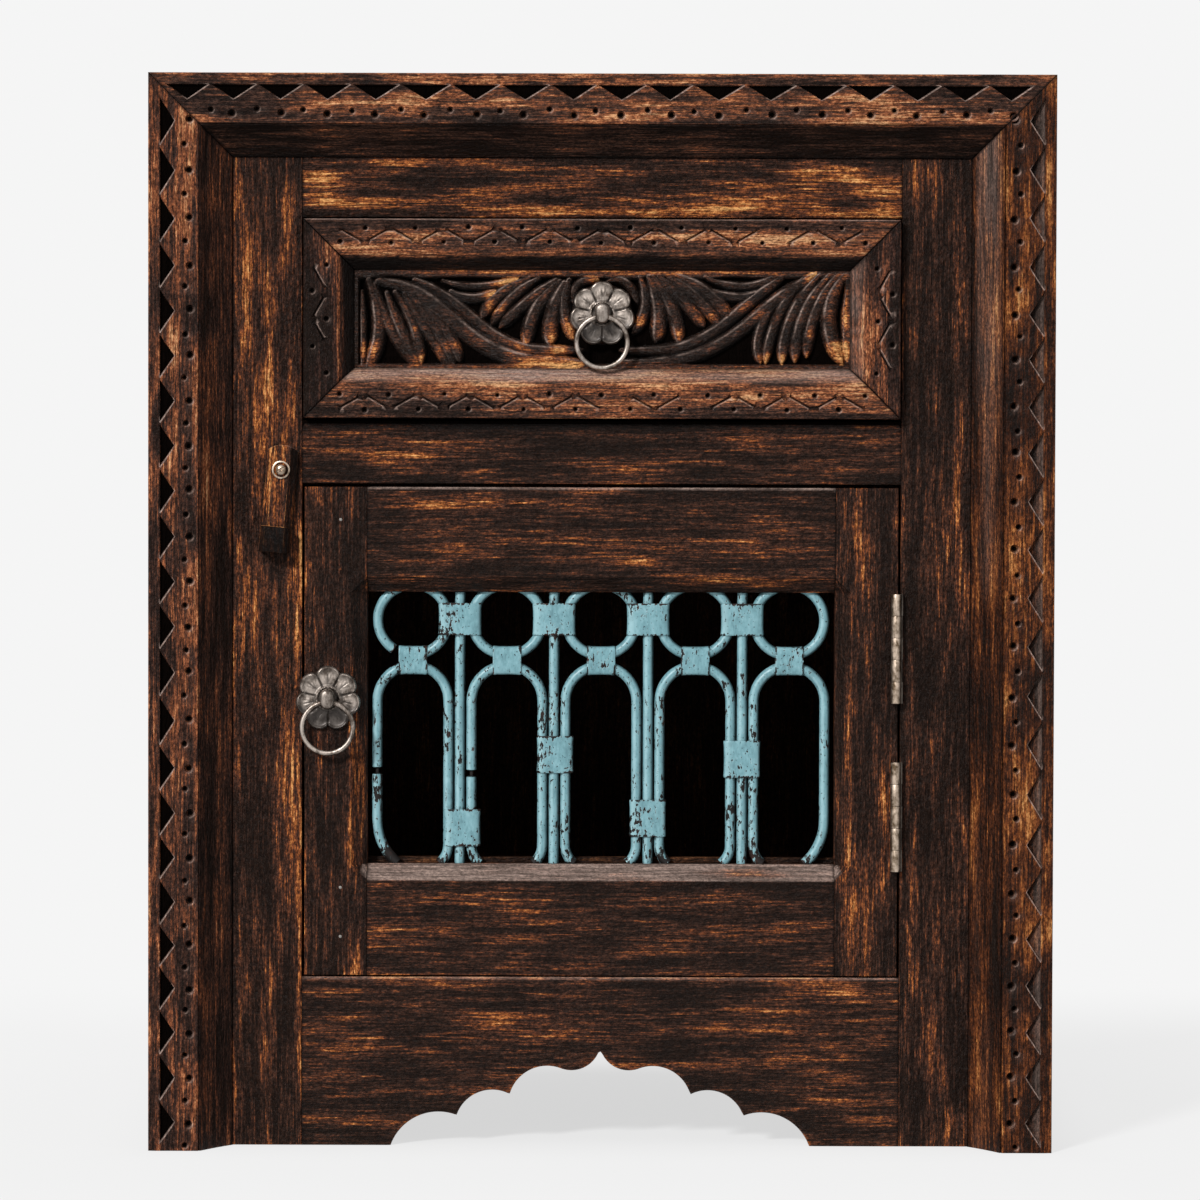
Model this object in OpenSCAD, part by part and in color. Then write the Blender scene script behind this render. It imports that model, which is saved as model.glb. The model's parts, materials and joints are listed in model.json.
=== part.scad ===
// Nightstand: a face-framed cabinet with a carved moulding round its front, a drawer with a
// mitred frame over a carved field, and a framed door with an iron grille, hung on butt hinges
// and held by a wooden turn lever. X runs to the right, the front faces -Y, Z is up, and the
// origin is the middle of the footprint on the floor.

/* [Cabinet] */
// Width across the outer faces of the sides
width = 546; // [530:1:600]
// Depth from the front of the moulding to the back
depth = 400; // [380:1:460]
// Height from the floor to the top
height = 650; // [635:1:720]
// Thickness of a side panel
side_t = 18; // [14:1:24]
// Thickness of the top board
top_t = 18; // [14:1:24]
// Thickness of the back boards
back_t = 12; // [8:1:16]
// Number of back boards
back_count = 4; // [2:1:6]
// Joint between two back boards
back_joint = 0.4; // [0.2:0.1:1]
// Depth of the rabbet in each side that holds the back boards
rabbet_d = 8; // [4:1:10]
// Thickness of the bottom shelf
shelf_t = 16; // [12:1:20]
// Thickness of the divider board under the drawer
divider_t = 16; // [12:1:20]
// Depth of the groove in each side that holds the divider board
dado_d = 6; // [4:1:8]
// Height of the arch cut into the bottom of each side
side_arch_h = 45; // [20:1:60]
// Length of a side's front foot behind the face frame
front_foot = 50; // [40:1:80]
// Length of a side's back foot
back_foot = 60; // [40:1:80]
// Width and height of the cleats that carry the shelf
cleat = 20; // [12:1:24]

/* [Face frame] */
// Thickness of the stiles and rails
face_t = 20; // [18:1:24]
// Width of a stile between the moulding and the opening
stile_w = 42; // [36:1:48]
// Height of the apron
apron_h = 103; // [95:1:110]
// Height of the rail between the door and the drawer
rail_mid_h = 38.5; // [34:0.5:45]
// Height of the drawer opening
drawer_open_h = 123; // [115:1:135]
// Height of the top rail, with the part behind the moulding
rail_top_h = 85; // [76:1:95]
// Length of a tenon
tenon_l = 25; // [15:1:30]
// Thickness of a tenon
tenon_t = 7; // [5:1:8]
// Shoulder above and below a tenon
shoulder = 6; // [4:1:8]
// Clearance round a tenon or a board in its groove
fit = 0.15; // [0.1:0.05:0.2]

/* [Apron arch] */
// Distance of each lobe's centre from the middle
lobe_x = [98.5, 65.7, 32.2]; // [20:0.1:110]
// Height of each lobe's centre
lobe_z = [-10.5, 11, 24.9]; // [-20:0.1:30]
// Radius of each lobe
lobe_r = [31, 23, 23.8]; // [15:0.1:35]
// Radius of the two curves that draw the point of the arch
ogee_r = 18; // [17.8:0.1:18.6]
// Distance of those curves' centres from the middle
ogee_x = 17.5; // [17:0.1:17.6]
// Height of the point of the arch
arch_h = 57.5; // [54:0.5:59]

/* [Moulding] */
// Thickness of the moulding in front of the face frame
moulding_t = 26; // [20:1:30]
// Width of the plain rim at the outer edge
rim_w = 7; // [5:0.5:10]
// Width of the row of carved pits
pit_w = 9; // [6:0.5:11]
// Depth of the carved pits
pit_depth = 3; // [1:0.5:5]
// Width left between two pits at the rim
tooth_w = 1.2; // [0.8:0.1:3]
// Width from the outer edge to where the cove starts
band_w = 31; // [28:0.5:34]
// Width of the sloping cove
cove_w = 18; // [12:0.5:22]
// Spacing of the pits along the top
pitch_top = 29.5; // [26:0.5:34]
// Spacing of the pits down the left side
pitch_left = 28; // [26:0.5:34]
// Spacing of the pits down the right side
pitch_right = 29; // [26:0.5:34]

/* [Drawer] */
// Gap at each side of the drawer
drawer_gap_x = 1; // [0.5:0.1:2]
// Gap above and below the drawer front
drawer_gap_z = 1.2; // [0.8:0.1:2]
// Clearance under the drawer sides and behind the drawer
slide_gap = 0.3; // [0.2:0.1:0.5]
// How far the drawer frame stands out from the face frame
drawer_proud = 8; // [5:0.5:12]
// Thickness of the mitred drawer frame
drawer_frame_t = 16; // [14:0.5:20]
// Width of the flat face of the drawer frame
drawer_band_w = 21; // [16:0.5:26]
// Width of the slope inside that face
drawer_bevel_w = 9.5; // [6:0.5:12]
// Height of the carved field above the drawer front board
field_t = 4; // [3:0.5:6]
// Thickness of the drawer front board
drawer_front_t = 16; // [14:1:20]
// Thickness of the drawer sides and back
drawer_side_t = 12; // [10:1:15]
// Space left above the drawer sides
drawer_headroom = 3; // [2:0.5:6]
// Space between the drawer's stop blocks and the back
drawer_behind = 22.7; // [5:0.1:60]
// Thickness of the drawer bottom
drawer_bottom_t = 6; // [4:0.5:8]
// Height of the drawer bottom above the lower edge of the sides
drawer_bottom_up = 7; // [5:0.5:12]
// Depth of the grooves that hold the drawer bottom
groove_d = 5; // [3:0.5:6]
// Length of a dovetail
tail_l = 10; // [7:0.5:12]
// Height of a dovetail at its root
tail_h = 16; // [10:1:22]
// How much wider a dovetail is at its end, above and below
tail_flare = 3; // [1:0.5:4]
// Number of dovetails at each corner
tail_count = 3; // [2:1:4]
// Width and height of the drawer guides
guide = 20; // [15:1:25]
// Thickness of the kickers above the drawer sides
kicker_t = 15; // [10:1:20]
// How far a kicker reaches in over the drawer
kicker_in = 17; // [14:1:40]
// Length of the stop blocks behind the drawer
stop_l = 15; // [10:1:20]

/* [Door] */
// Gap at each side of the door
door_gap_x = 1.5; // [1.4:0.1:2]
// Gap above the door
door_gap_top = 2; // [1:0.1:3]
// Gap under the door
door_gap_bottom = 1; // [0.8:0.1:3]
// Clearance between the door and its stop
door_seat = 0.3; // [0.2:0.1:0.5]
// Width of a door stile
door_stile_w = 38; // [35:0.5:42]
// Height of the top door rail
door_rail_top_h = 64; // [56:0.5:70]
// Height of the bottom door rail
door_rail_bottom_h = 67.5; // [56:0.5:75]
// Width of the chamfer round the window
chamfer_w = 9.5; // [6:0.5:10]
// Depth of the chamfer round the window
chamfer_d = 9; // [5:0.5:9]
// Thickness of the battens that back the grille
batten_t = 6; // [4:0.5:8]
// Height of the battens
batten_h = 15; // [10:0.5:20]
// How far the lower batten rises behind the sill
batten_rise = 3.3; // [0:0.1:6]
// How far a batten's end lies over the stile
batten_lap = 7.5; // [4:0.5:12]
// Length of the block that stops the door
door_stop_l = 120; // [60:1:160]
// Depth of the block that stops the door
door_stop_d = 14; // [10:1:18]
// How far the stop block hangs behind the door's top edge
door_stop_lap = 10; // [6:1:14]
// Radius of the pins through the door's joints
pin_r = 1.2; // [1:0.1:1.6]
// Length of those pins
pin_l = 16; // [12:0.5:17]
// Length of a door tenon
door_tenon_l = 30; // [22:1:33]
// Distance of those pins from the window's corner, up or down
pin_up = [14, 44]; // [10:1:50]
// Distance of those pins from the door stile's inner edge
pin_in = 16; // [12:1:20]

/* [Grille] */
// Diameter of the iron rods
rod_d = 6.3; // [5:0.1:6.5]
// Distance from the door's back to the middle of the rods
grille_back = 5; // [4.8:0.1:6]
// Least distance between the middles of two rings
ring_pitch_min = 56.5; // [52:0.1:60]
// Space between the grille and the window's edge
grille_edge = 2.65; // [1:0.05:6]
// Radius of a ring at the middle of its rod
ring_r = 21.4; // [20:0.1:21.6]
// Distance from the window's top edge down to the rings' centres
ring_drop = 17.2; // [15:0.1:18]
// Radius of an arch at the middle of its rod
arch_r = 21.7; // [20:0.1:21.8]
// Gap where two rods lie against each other
rod_gap = 0.2; // [0.1:0.05:0.3]
// Radius of the curl of a foot under a collar
foot_r = 15; // [12:0.5:18]
// Radius of the curl of the outermost feet
end_foot_r = 36; // [30:0.5:40]
// Angle that a foot turns through
foot_turn = 48; // [40:1:52]
// Thickness of the iron strap that makes a collar
strap_t = 1; // [0.8:0.1:1.2]
// Clearance between a collar and its rods
strap_fit = 0.15; // [0.1:0.05:0.2]
// Height of the collars between two rings
side_collar_h = 16.5; // [12:0.5:18]
// Width of the collars between a ring and its arch
top_collar_w = 15; // [10:0.5:17]
// Height of the collars round the bars
bar_collar_h = 22.5; // [16:0.5:24]
// Rise of each bar's collar above the sill, as a share of the room that the arches' legs leave it
bar_collar_up = [0.136, 0.723, 0.216, 0.689]; // [0.05:0.001:0.95]

/* [Hinges] */
// Length of a hinge
hinge_l = 66.6; // [60:0.1:76]
// Space between the two hinges
hinge_apart = 35.7; // [20:0.1:60]
// Number of knuckles
knuckles = 5; // [3:2:5]
// Gap between two knuckles
knuckle_gap = 0.3; // [0.2:0.1:0.5]
// Outer radius of a knuckle
knuckle_r = 3.2; // [2.8:0.1:3.4]
// Radius of the hinge pin
hinge_pin_r = 1.5; // [1.2:0.1:1.6]
// Running clearance of the hinge pin and of the latch screw
running_fit = 0.08; // [0.04:0.01:0.1]
// Clearance between a knuckle and the face of the door
knuckle_clear = 0.4; // [0.3:0.1:0.6]
// How far the hinge pin stands to the door's side of the gap
pin_shift = 2; // [1.8:0.1:2.2]
// Thickness of a hinge leaf
leaf_t = 1.2; // [1:0.1:1.4]
// Width of a hinge leaf
leaf_w = 16; // [14:0.5:17]
// Number of screws in a leaf
leaf_screws = 3; // [2:1:4]
// Radius of a hinge screw's shank
screw_r = 1.4; // [1:0.1:1.6]
// Radius of a hinge screw's head
screw_head_r = 2.5; // [2:0.1:3]
// Length of a hinge screw
screw_l = 14; // [10:0.5:16]

/* [Pulls] */
// Radius of the rosette's seat on the wood
seat_r = 12; // [9:0.5:13]
// Thickness of the rosette
rosette_t = 4; // [3:0.5:5]
// Space behind the petals
petal_lift = 0.6; // [0.3:0.1:1]
// Number of petals
petals = 7; // [5:1:9]
// Distance of a petal's centre from the rosette's centre
petal_c = 12; // [10:0.5:13]
// Radius of a petal
petal_r = 8; // [6:0.5:9]
// Radius of the threaded post
post_r = 2; // [1.5:0.1:2.2]
// Clearance of the post in its hole
post_fit = 0.1; // [0.05:0.05:0.2]
// Width of the knob
knob_w = 8.7; // [7:0.1:10]
// Height of the knob
knob_h = 12.4; // [12:0.1:14]
// Distance from the wood to the front of the knob
knob_out = 12.6; // [12:0.1:15]
// Radius of the hole that the ring hangs in
eye_r = 2.4; // [2.3:0.1:2.6]
// Distance of that hole below the knob's middle
eye_drop = 2; // [1:0.1:2.2]
// Distance from the wood to the ring
ring_out = 8; // [7.6:0.1:8.5]
// Radius of the pull ring at the middle of its wire
pull_r = 15.5; // [14.5:0.1:18]
// Radius of the ring's wire
wire_r = 1.5; // [1.2:0.1:1.6]
// Radius of the nut
nut_r = 4.5; // [3.5:0.1:6]
// Height of the nut
nut_h = 3.5; // [2.5:0.1:5]
// Distance of the door pull from the door's left edge
door_pull_in = 14.5; // [12:0.5:20]
// Height of the door pull above the door's bottom edge
door_pull_up = 168.8; // [140:0.1:190]
// Height of the drawer pull above the middle of the drawer front
drawer_pull_up = 3.5; // [-4:0.1:6]

/* [Turn lever] */
// Distance of the lever's screw from the edge of the opening
latch_in = 12.2; // [11:0.1:14]
// Height of the lever's screw above the door opening
latch_up = 8.1; // [6:0.1:12]
// Angle that the lever leans at when it hangs
latch_lean = 5.5; // [0:0.5:8]
// Width of the lever
latch_w = 18.5; // [16:0.5:20]
// Width of the lever's raised strip
latch_strip_w = 10; // [8:0.5:12]
// Thickness of the lever's edge
latch_edge_t = 3; // [2:0.5:5]
// Thickness of the lever
latch_t = 8; // [6:0.5:10]
// Clearance between the lever and the stile
latch_gap = 0.5; // [0.3:0.1:0.8]
// Length of the lever above its screw
latch_top = 15; // [12:0.5:17]
// Length of the lever below its screw
latch_bottom = 50; // [45:0.5:55]
// Width of the foot block at the lever's end
foot_block_w = 17; // [14:0.5:18]
// Height of the foot block
foot_block_h = 15.5; // [12:0.5:18]
// Thickness of the foot block
foot_block_t = 13.5; // [10:0.5:15]
// Chamfer at the front edges of the foot block
foot_block_cut = 2.5; // [1:0.5:4]
// Radius of the lever's screw
latch_screw_r = 2.4; // [1.8:0.1:2.6]
// Depth of that screw in the stile
latch_screw_l = 14; // [10:0.5:16]
// Radius of that screw's head
latch_head_r = 3.8; // [3:0.1:4.5]
// Height of that screw's head
latch_head_h = 2.2; // [1.5:0.1:3]
// Radius of the washer under that head
washer_r = 5.5; // [5:0.1:6]
// Thickness of the washer
washer_t = 1; // [0.5:0.1:1.5]

/* [Hidden] */

$fn = 48;
// Overshoot of a cutter past the face that it cuts
over = 1;

// Outer planes of the cabinet and of the face frame
half_w = width / 2;
front_y = -depth / 2;
back_y = depth / 2;
face_y = front_y + moulding_t;
frame_back = face_y + face_t;
inner_x = half_w - side_t;
open_x = half_w - band_w - cove_w - stile_w;
tenon_y = face_y + (face_t - tenon_t) / 2;

// The curves of the arch's point touch the innermost lobes
ogee_sum = lobe_r[2] + ogee_r;
ogee_z = lobe_z[2] + sqrt(pow(ogee_sum, 2) - pow(lobe_x[2] - ogee_x, 2));
ogee_end = lobe_x[2] - (lobe_x[2] - ogee_x) * lobe_r[2] / ogee_sum;

// Levels of the openings
drawer_ceiling = height - rail_top_h;
drawer_floor = drawer_ceiling - drawer_open_h;
door_top_z = drawer_floor - rail_mid_h;
divider_z = drawer_floor - divider_t;
shelf_z = apron_h - shelf_t;
top_z = height - top_t;
back_face = back_y - back_t;

// Planes of the drawer front, from the front to the back
drawer_x = open_x - drawer_gap_x;
drawer_z0 = drawer_floor + drawer_gap_z;
drawer_z1 = drawer_ceiling - drawer_gap_z;
drawer_mid = (drawer_z0 + drawer_z1) / 2;
drawer_front = face_y - drawer_proud;
board_front = drawer_front + drawer_frame_t;
field_front = board_front - field_t;
board_back = board_front + drawer_front_t;
drawer_member = drawer_band_w + drawer_bevel_w;
drawer_side_z0 = drawer_floor + slide_gap;
drawer_side_z1 = drawer_ceiling - drawer_headroom;
drawer_end = back_face - drawer_behind - stop_l - slide_gap;
drawer_inner = drawer_x - drawer_side_t;
drawer_bottom_z = drawer_side_z0 + drawer_bottom_up;

// Planes of the door and its window
door_t = face_t - door_seat;
door_x = open_x - door_gap_x;
door_z0 = apron_h + door_gap_bottom;
door_z1 = door_top_z - door_gap_top;
door_back = face_y + door_t;
door_tenon_y = face_y + (door_t - tenon_t) / 2;
win_x = door_x - door_stile_w;
win_z0 = door_z0 + door_rail_bottom_h;
win_z1 = door_z1 - door_rail_top_h;

// Places of the grille's rods and collars
rod_r = rod_d / 2;
grille_y = door_back - grille_back;
ring_z = win_z1 - ring_drop;
arch_z = ring_z - ring_r - rod_d - rod_gap - arch_r;
grille_span = 2 * (win_x - grille_edge - rod_r - arch_r);
ring_count = floor(grille_span / ring_pitch_min) + 1;
ring_pitch = grille_span / (ring_count - 1);
strap_in = rod_r + strap_fit;

// Axis of the door hinges
hinge_x = open_x - door_gap_x / 2 - pin_shift;
hinge_y = face_y - knuckle_r - knuckle_clear;
knuckle_pitch = hinge_l / knuckles;
hinge_middle = (door_z0 + door_z1) / 2;
hinge_levels = [hinge_middle + hinge_apart / 2, hinge_middle - hinge_apart / 2 - hinge_l];

// Places of the pulls and the lever
door_pull = [-door_x + door_pull_in, face_y, door_z0 + door_pull_up];
drawer_pull = [0, field_front, drawer_mid + drawer_pull_up];
latch_pivot = [-open_x - latch_in, face_y, door_top_z + latch_up];

// Rounded to a thousandth, so that two pieces of a rod share one plane
function near(v) = round(v * 1000) / 1000;

function ring_x(i, count) = (i - (count - 1) / 2) * ring_pitch;

// Reach of a curved rod from its crown, over a strap's half length
function reach(r, half) = r - sqrt(r * r - half * half) + rod_r / sqrt(1 - half * half / (r * r));

// Corners of one carved pit, along the rim and in from it
function pit(k, pitch) = [
    [k * pitch + tooth_w / 2, 0], [(k + 1) * pitch - tooth_w / 2, 0], [(k + 0.5) * pitch, pit_w]
];

module block(low, high) {
    translate(low) cube(high - low);
}

// Puts a shape drawn upright on a plane that faces the front
module facing(place) {
    translate(place) rotate([90, 0, 0]) children();
}

// Runs a (y, z) outline along X
module along_x(x0, x1) {
    translate([x0, 0, 0]) rotate([90, 0, 90]) linear_extrude(x1 - x0) children();
}

// Extrudes an (x, z) outline from one y to another
module along_y(y0, y1) {
    translate([0, y1, 0]) rotate([90, 0, 0]) linear_extrude(y1 - y0) children();
}

module obround(w, h) {
    r = min(w, h) / 2;
    for (s = [-1, 1]) translate([s * (w / 2 - r), s * (h / 2 - r)]) circle(r);
    square([w > h ? w - h : w, w > h ? h : h - w], center = true);
}

module flip_z(middle) {
    translate([0, 0, 2 * middle]) mirror([0, 0, 1]) children();
}

// Carcass

module side_panel() {
    difference() {
        block([-half_w, frame_back, 0], [-inner_x, back_y, top_z]);
        block([-inner_x - rabbet_d, back_face, shelf_z], [over - inner_x, back_y + over, top_z + over]);
        block([-inner_x - dado_d - fit, frame_back - over, divider_z - fit],
              [over - inner_x, back_face + over, drawer_floor + fit]);
        side_arch();
    }
}

module side_arch() {
    y0 = frame_back + front_foot + side_arch_h;
    y1 = back_y - back_foot - side_arch_h;
    for (y = [y0, y1])
        translate([-half_w - over, y, 0]) rotate([0, 90, 0]) cylinder(r = side_arch_h, h = side_t + 2 * over);
    block([-half_w - over, y0, -over], [over - inner_x, y1, side_arch_h]);
}

module side_panel_left() {
    color("#4a3226") side_panel();
}

module side_panel_right() {
    color("#4a3226") mirror([1, 0, 0]) side_panel();
}

module top_board() {
    color("#54382a") block([-half_w, frame_back, top_z], [half_w, back_y, height]);
}

module back_boards() {
    span = inner_x + rabbet_d;
    board = 2 * span / back_count;
    color("#6b4a35")
        for (i = [0 : back_count - 1])
            block([-span + i * board + back_joint / 2, back_face, shelf_z],
                  [-span + (i + 1) * board - back_joint / 2, back_y, top_z]);
}

module bottom_shelf() {
    color("#6b4a35") block([-inner_x, frame_back, shelf_z], [inner_x, back_face, apron_h]);
}

module divider_board() {
    color("#6b4a35")
        block([-inner_x - dado_d, frame_back, divider_z], [inner_x + dado_d, back_face, drawer_floor]);
}

module shelf_cleat() {
    block([-inner_x, frame_back, shelf_z - cleat], [-inner_x + cleat, back_face, shelf_z]);
}

module shelf_cleat_left() {
    color("#7a573d") shelf_cleat();
}

module shelf_cleat_right() {
    color("#7a573d") mirror([1, 0, 0]) shelf_cleat();
}

module drawer_guide() {
    block([-open_x - guide, frame_back, drawer_floor], [-open_x, back_face, drawer_floor + guide]);
}

module drawer_guide_left() {
    color("#7a573d") drawer_guide();
}

module drawer_guide_right() {
    color("#7a573d") mirror([1, 0, 0]) drawer_guide();
}

module drawer_kicker() {
    block([-inner_x, frame_back, drawer_ceiling],
          [-open_x + kicker_in, back_face, drawer_ceiling + kicker_t]);
}

module drawer_kicker_left() {
    color("#7a573d") drawer_kicker();
}

module drawer_kicker_right() {
    color("#7a573d") mirror([1, 0, 0]) drawer_kicker();
}

module drawer_stops() {
    y0 = drawer_end + slide_gap;
    color("#7a573d")
        for (s = [-1, 1])
            block([s * drawer_inner / 2 - guide / 2, y0, drawer_floor],
                  [s * drawer_inner / 2 + guide / 2, y0 + stop_l, drawer_floor + guide]);
}

module door_stop() {
    color("#7a573d")
        block([-door_stop_l / 2, frame_back, door_z1 - door_stop_lap],
              [door_stop_l / 2, frame_back + door_stop_d, divider_z]);
}

// Face frame

module face_tenon(z0, z1, grow = 0) {
    block([-open_x - tenon_l - grow, tenon_y - grow, z0 + shoulder - grow],
          [open_x + tenon_l + grow, tenon_y + tenon_t + grow, z1 - shoulder + grow]);
}

module face_rail(z0, z1) {
    block([-open_x, face_y, z0], [open_x, frame_back, z1]);
    face_tenon(z0, z1);
}

module face_stile() {
    difference() {
        block([-half_w, face_y, 0], [-open_x, frame_back, height]);
        face_tenon(0, apron_h, fit);
        face_tenon(door_top_z, drawer_floor, fit);
        face_tenon(drawer_ceiling, height, fit);
    }
}

module stile_left() {
    color("#4d372b")
        difference() {
            face_stile();
            latch_pilot();
        }
}

// Hole for the lever's screw, through the stile and the tenon in it
module latch_pilot() {
    facing(latch_pivot) translate([0, 0, -latch_screw_l])
        cylinder(r = latch_screw_r + fit, h = latch_screw_l + over);
}

module stile_right() {
    color("#3a2820")
        difference() {
            mirror([1, 0, 0]) face_stile();
            for (z = hinge_levels) {
                block([open_x - over, face_y - over, z - fit],
                      [open_x + leaf_t, face_y + leaf_w, z + hinge_l + fit]);
                leaf_screw_holes(z, open_x, 1);
            }
        }
}

module rail_top() {
    color("#5a3a2a") face_rail(drawer_ceiling, height);
}

module rail_middle() {
    color("#3f2a20")
        difference() {
            face_rail(door_top_z, drawer_floor);
            latch_pilot();
        }
}

module arch_outline() {
    for (s = [-1, 1]) {
        for (i = [0 : len(lobe_x) - 1])
            translate([s * lobe_x[i], lobe_z[i]]) circle(lobe_r[i]);
        translate([s * (lobe_x[0] + lobe_x[1]) / 2, 0])
            square([lobe_x[0] - lobe_x[1], lobe_r[1]], center = true);
    }
    translate([0, lobe_z[2] / 2]) square([2 * lobe_x[1], lobe_z[2]], center = true);
    difference() {
        translate([-ogee_end, lobe_z[2]]) square([2 * ogee_end, arch_h - lobe_z[2]]);
        for (s = [-1, 1]) translate([s * ogee_x, ogee_z]) circle(ogee_r);
    }
}

module apron() {
    color("#3d2b22")
        difference() {
            face_rail(0, apron_h);
            intersection() {
                along_y(face_y - over, frame_back + over) arch_outline();
                block([-open_x, face_y - over, -over], [open_x, frame_back + over, apron_h]);
            }
        }
}

// Moulding

module pit_cut(points) {
    along_y(front_y - over, front_y + pit_depth) polygon(points);
}

module moulding_side(pitch) {
    member = band_w + cove_w;
    run = height - rim_w;
    count = round(run / pitch);
    difference() {
        intersection() {
            linear_extrude(height)
                polygon([[-half_w, face_y], [-half_w, front_y], [band_w - half_w, front_y],
                         [member - half_w, face_y]]);
            along_y(front_y, face_y)
                polygon([[-half_w, 0], [member - half_w, 0], [member - half_w, height - member],
                         [-half_w, height]]);
        }
        for (k = [0 : count - 1])
            pit_cut([for (p = pit(k, run / count)) [rim_w - half_w + p[1], p[0]]]);
    }
}

module moulding_left() {
    color("#5b3f31") moulding_side(pitch_left);
}

module moulding_right() {
    color("#4a2f20") mirror([1, 0, 0]) moulding_side(pitch_right);
}

module moulding_top() {
    member = band_w + cove_w;
    run = width - 2 * rim_w;
    count = round(run / pitch_top);
    color("#5a4034")
        difference() {
            intersection() {
                along_x(-half_w, half_w)
                    polygon([[face_y, height], [front_y, height], [front_y, height - band_w],
                             [face_y, height - member]]);
                along_y(front_y, face_y)
                    polygon([[-half_w, height], [half_w, height], [half_w - member, height - member],
                             [member - half_w, height - member]]);
            }
            for (k = [0 : count - 1])
                pit_cut([for (p = pit(k, run / count)) [rim_w - half_w + p[0], height - rim_w - p[1]]]);
        }
}

// Drawer

module tail(k, grow = 0) {
    room = drawer_side_z1 - drawer_z0;
    middle = drawer_z0 + (k + 0.5) * room / tail_count;
    root = tail_h / 2 + grow;
    tip = root + tail_flare;
    polygon([[board_back, middle - root], [board_back, middle + root],
             [board_back - tail_l - grow, middle + tip], [board_back - tail_l - grow, middle - tip]]);
}

module drawer_side() {
    difference() {
        union() {
            block([-drawer_x, board_back, drawer_side_z0], [-drawer_inner, drawer_end, drawer_side_z1]);
            for (k = [0 : tail_count - 1]) along_x(-drawer_x, -drawer_inner) tail(k);
        }
        block([-drawer_inner - groove_d, board_back - tail_l - over, drawer_bottom_z - fit],
              [over - drawer_inner, drawer_end + over, drawer_bottom_z + drawer_bottom_t + fit]);
    }
}

module drawer_side_left() {
    color("#7a573d") drawer_side();
}

module drawer_side_right() {
    color("#7a573d") mirror([1, 0, 0]) drawer_side();
}

module drawer_back() {
    color("#7a573d")
        block([-drawer_inner, drawer_end - drawer_side_t, drawer_bottom_z + drawer_bottom_t],
              [drawer_inner, drawer_end, drawer_side_z1]);
}

module drawer_bottom() {
    edge = drawer_inner + groove_d - fit;
    color("#8a6546")
        block([-edge, board_back - groove_d + fit, drawer_bottom_z],
              [edge, drawer_end, drawer_bottom_z + drawer_bottom_t]);
}

module drawer_front_board() {
    color("#35251d")
        difference() {
            union() {
                block([-drawer_x, board_front, drawer_z0], [drawer_x, board_back, drawer_z1]);
                block([drawer_member - drawer_x, field_front, drawer_z0 + drawer_member],
                      [drawer_x - drawer_member, board_front + over, drawer_z1 - drawer_member]);
            }
            for (s = [0, 1], k = [0 : tail_count - 1])
                mirror([s, 0, 0]) along_x(-drawer_x - over, fit - drawer_inner) tail(k, fit);
            block([-drawer_inner - groove_d, board_back - groove_d, drawer_bottom_z - fit],
                  [drawer_inner + groove_d, board_back + over, drawer_bottom_z + drawer_bottom_t + fit]);
            pull_hole(drawer_pull, board_back - field_front);
        }
}

module drawer_frame_rail() {
    m = drawer_member;
    intersection() {
        along_x(-drawer_x, drawer_x)
            polygon([[board_front, drawer_z1], [drawer_front, drawer_z1],
                     [drawer_front, drawer_z1 - drawer_band_w], [field_front, drawer_z1 - m],
                     [board_front, drawer_z1 - m]]);
        along_y(drawer_front, board_front)
            polygon([[-drawer_x, drawer_z1], [drawer_x, drawer_z1], [drawer_x - m, drawer_z1 - m],
                     [m - drawer_x, drawer_z1 - m]]);
    }
}

module drawer_frame_stile() {
    m = drawer_member;
    intersection() {
        translate([0, 0, drawer_z0]) linear_extrude(drawer_z1 - drawer_z0)
            polygon([[-drawer_x, board_front], [-drawer_x, drawer_front],
                     [drawer_band_w - drawer_x, drawer_front], [m - drawer_x, field_front],
                     [m - drawer_x, board_front]]);
        along_y(drawer_front, board_front)
            polygon([[-drawer_x, drawer_z0], [m - drawer_x, drawer_z0 + m], [m - drawer_x, drawer_z1 - m],
                     [-drawer_x, drawer_z1]]);
    }
}

module drawer_frame_top() {
    color("#5f4032") drawer_frame_rail();
}

module drawer_frame_bottom() {
    color("#5f4032") flip_z(drawer_mid) drawer_frame_rail();
}

module drawer_frame_left() {
    color("#5f4032") drawer_frame_stile();
}

module drawer_frame_right() {
    color("#5f4032") mirror([1, 0, 0]) drawer_frame_stile();
}

// Pulls, drawn looking at the front: X to the right, Y up and Z out of the wood

module pull_hole(place, wood) {
    facing(place) translate([0, 0, -wood - over]) cylinder(r = post_r + post_fit, h = wood + 2 * over);
}

module petal_outline() {
    circle(r = seat_r);
    for (i = [0 : petals - 1]) rotate(i * 360 / petals) translate([0, petal_c]) circle(r = petal_r);
}

module rosette() {
    difference() {
        union() {
            cylinder(r = seat_r, h = petal_lift + over);
            translate([0, 0, petal_lift]) linear_extrude(rosette_t - petal_lift) petal_outline();
        }
        translate([0, 0, -over]) cylinder(r = post_r + post_fit, h = rosette_t + 2 * over);
    }
}

module knob(wood) {
    difference() {
        union() {
            translate([0, 0, -wood - nut_h]) cylinder(r = post_r, h = wood + nut_h + rosette_t + over);
            translate([0, 0, rosette_t]) linear_extrude(knob_out - rosette_t) obround(knob_w, knob_h);
        }
        translate([-knob_w, -eye_drop, ring_out]) rotate([0, 90, 0]) cylinder(r = eye_r, h = 2 * knob_w);
    }
}

module knob_nut(wood) {
    translate([0, 0, -wood - nut_h])
        difference() {
            cylinder(r = nut_r, h = nut_h, $fn = 6);
            translate([0, 0, -over]) cylinder(r = post_r + post_fit, h = nut_h + 2 * over);
        }
}

module pull_ring() {
    translate([0, -eye_drop - pull_r, ring_out]) rotate_extrude() translate([pull_r, 0]) circle(wire_r);
}

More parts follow.
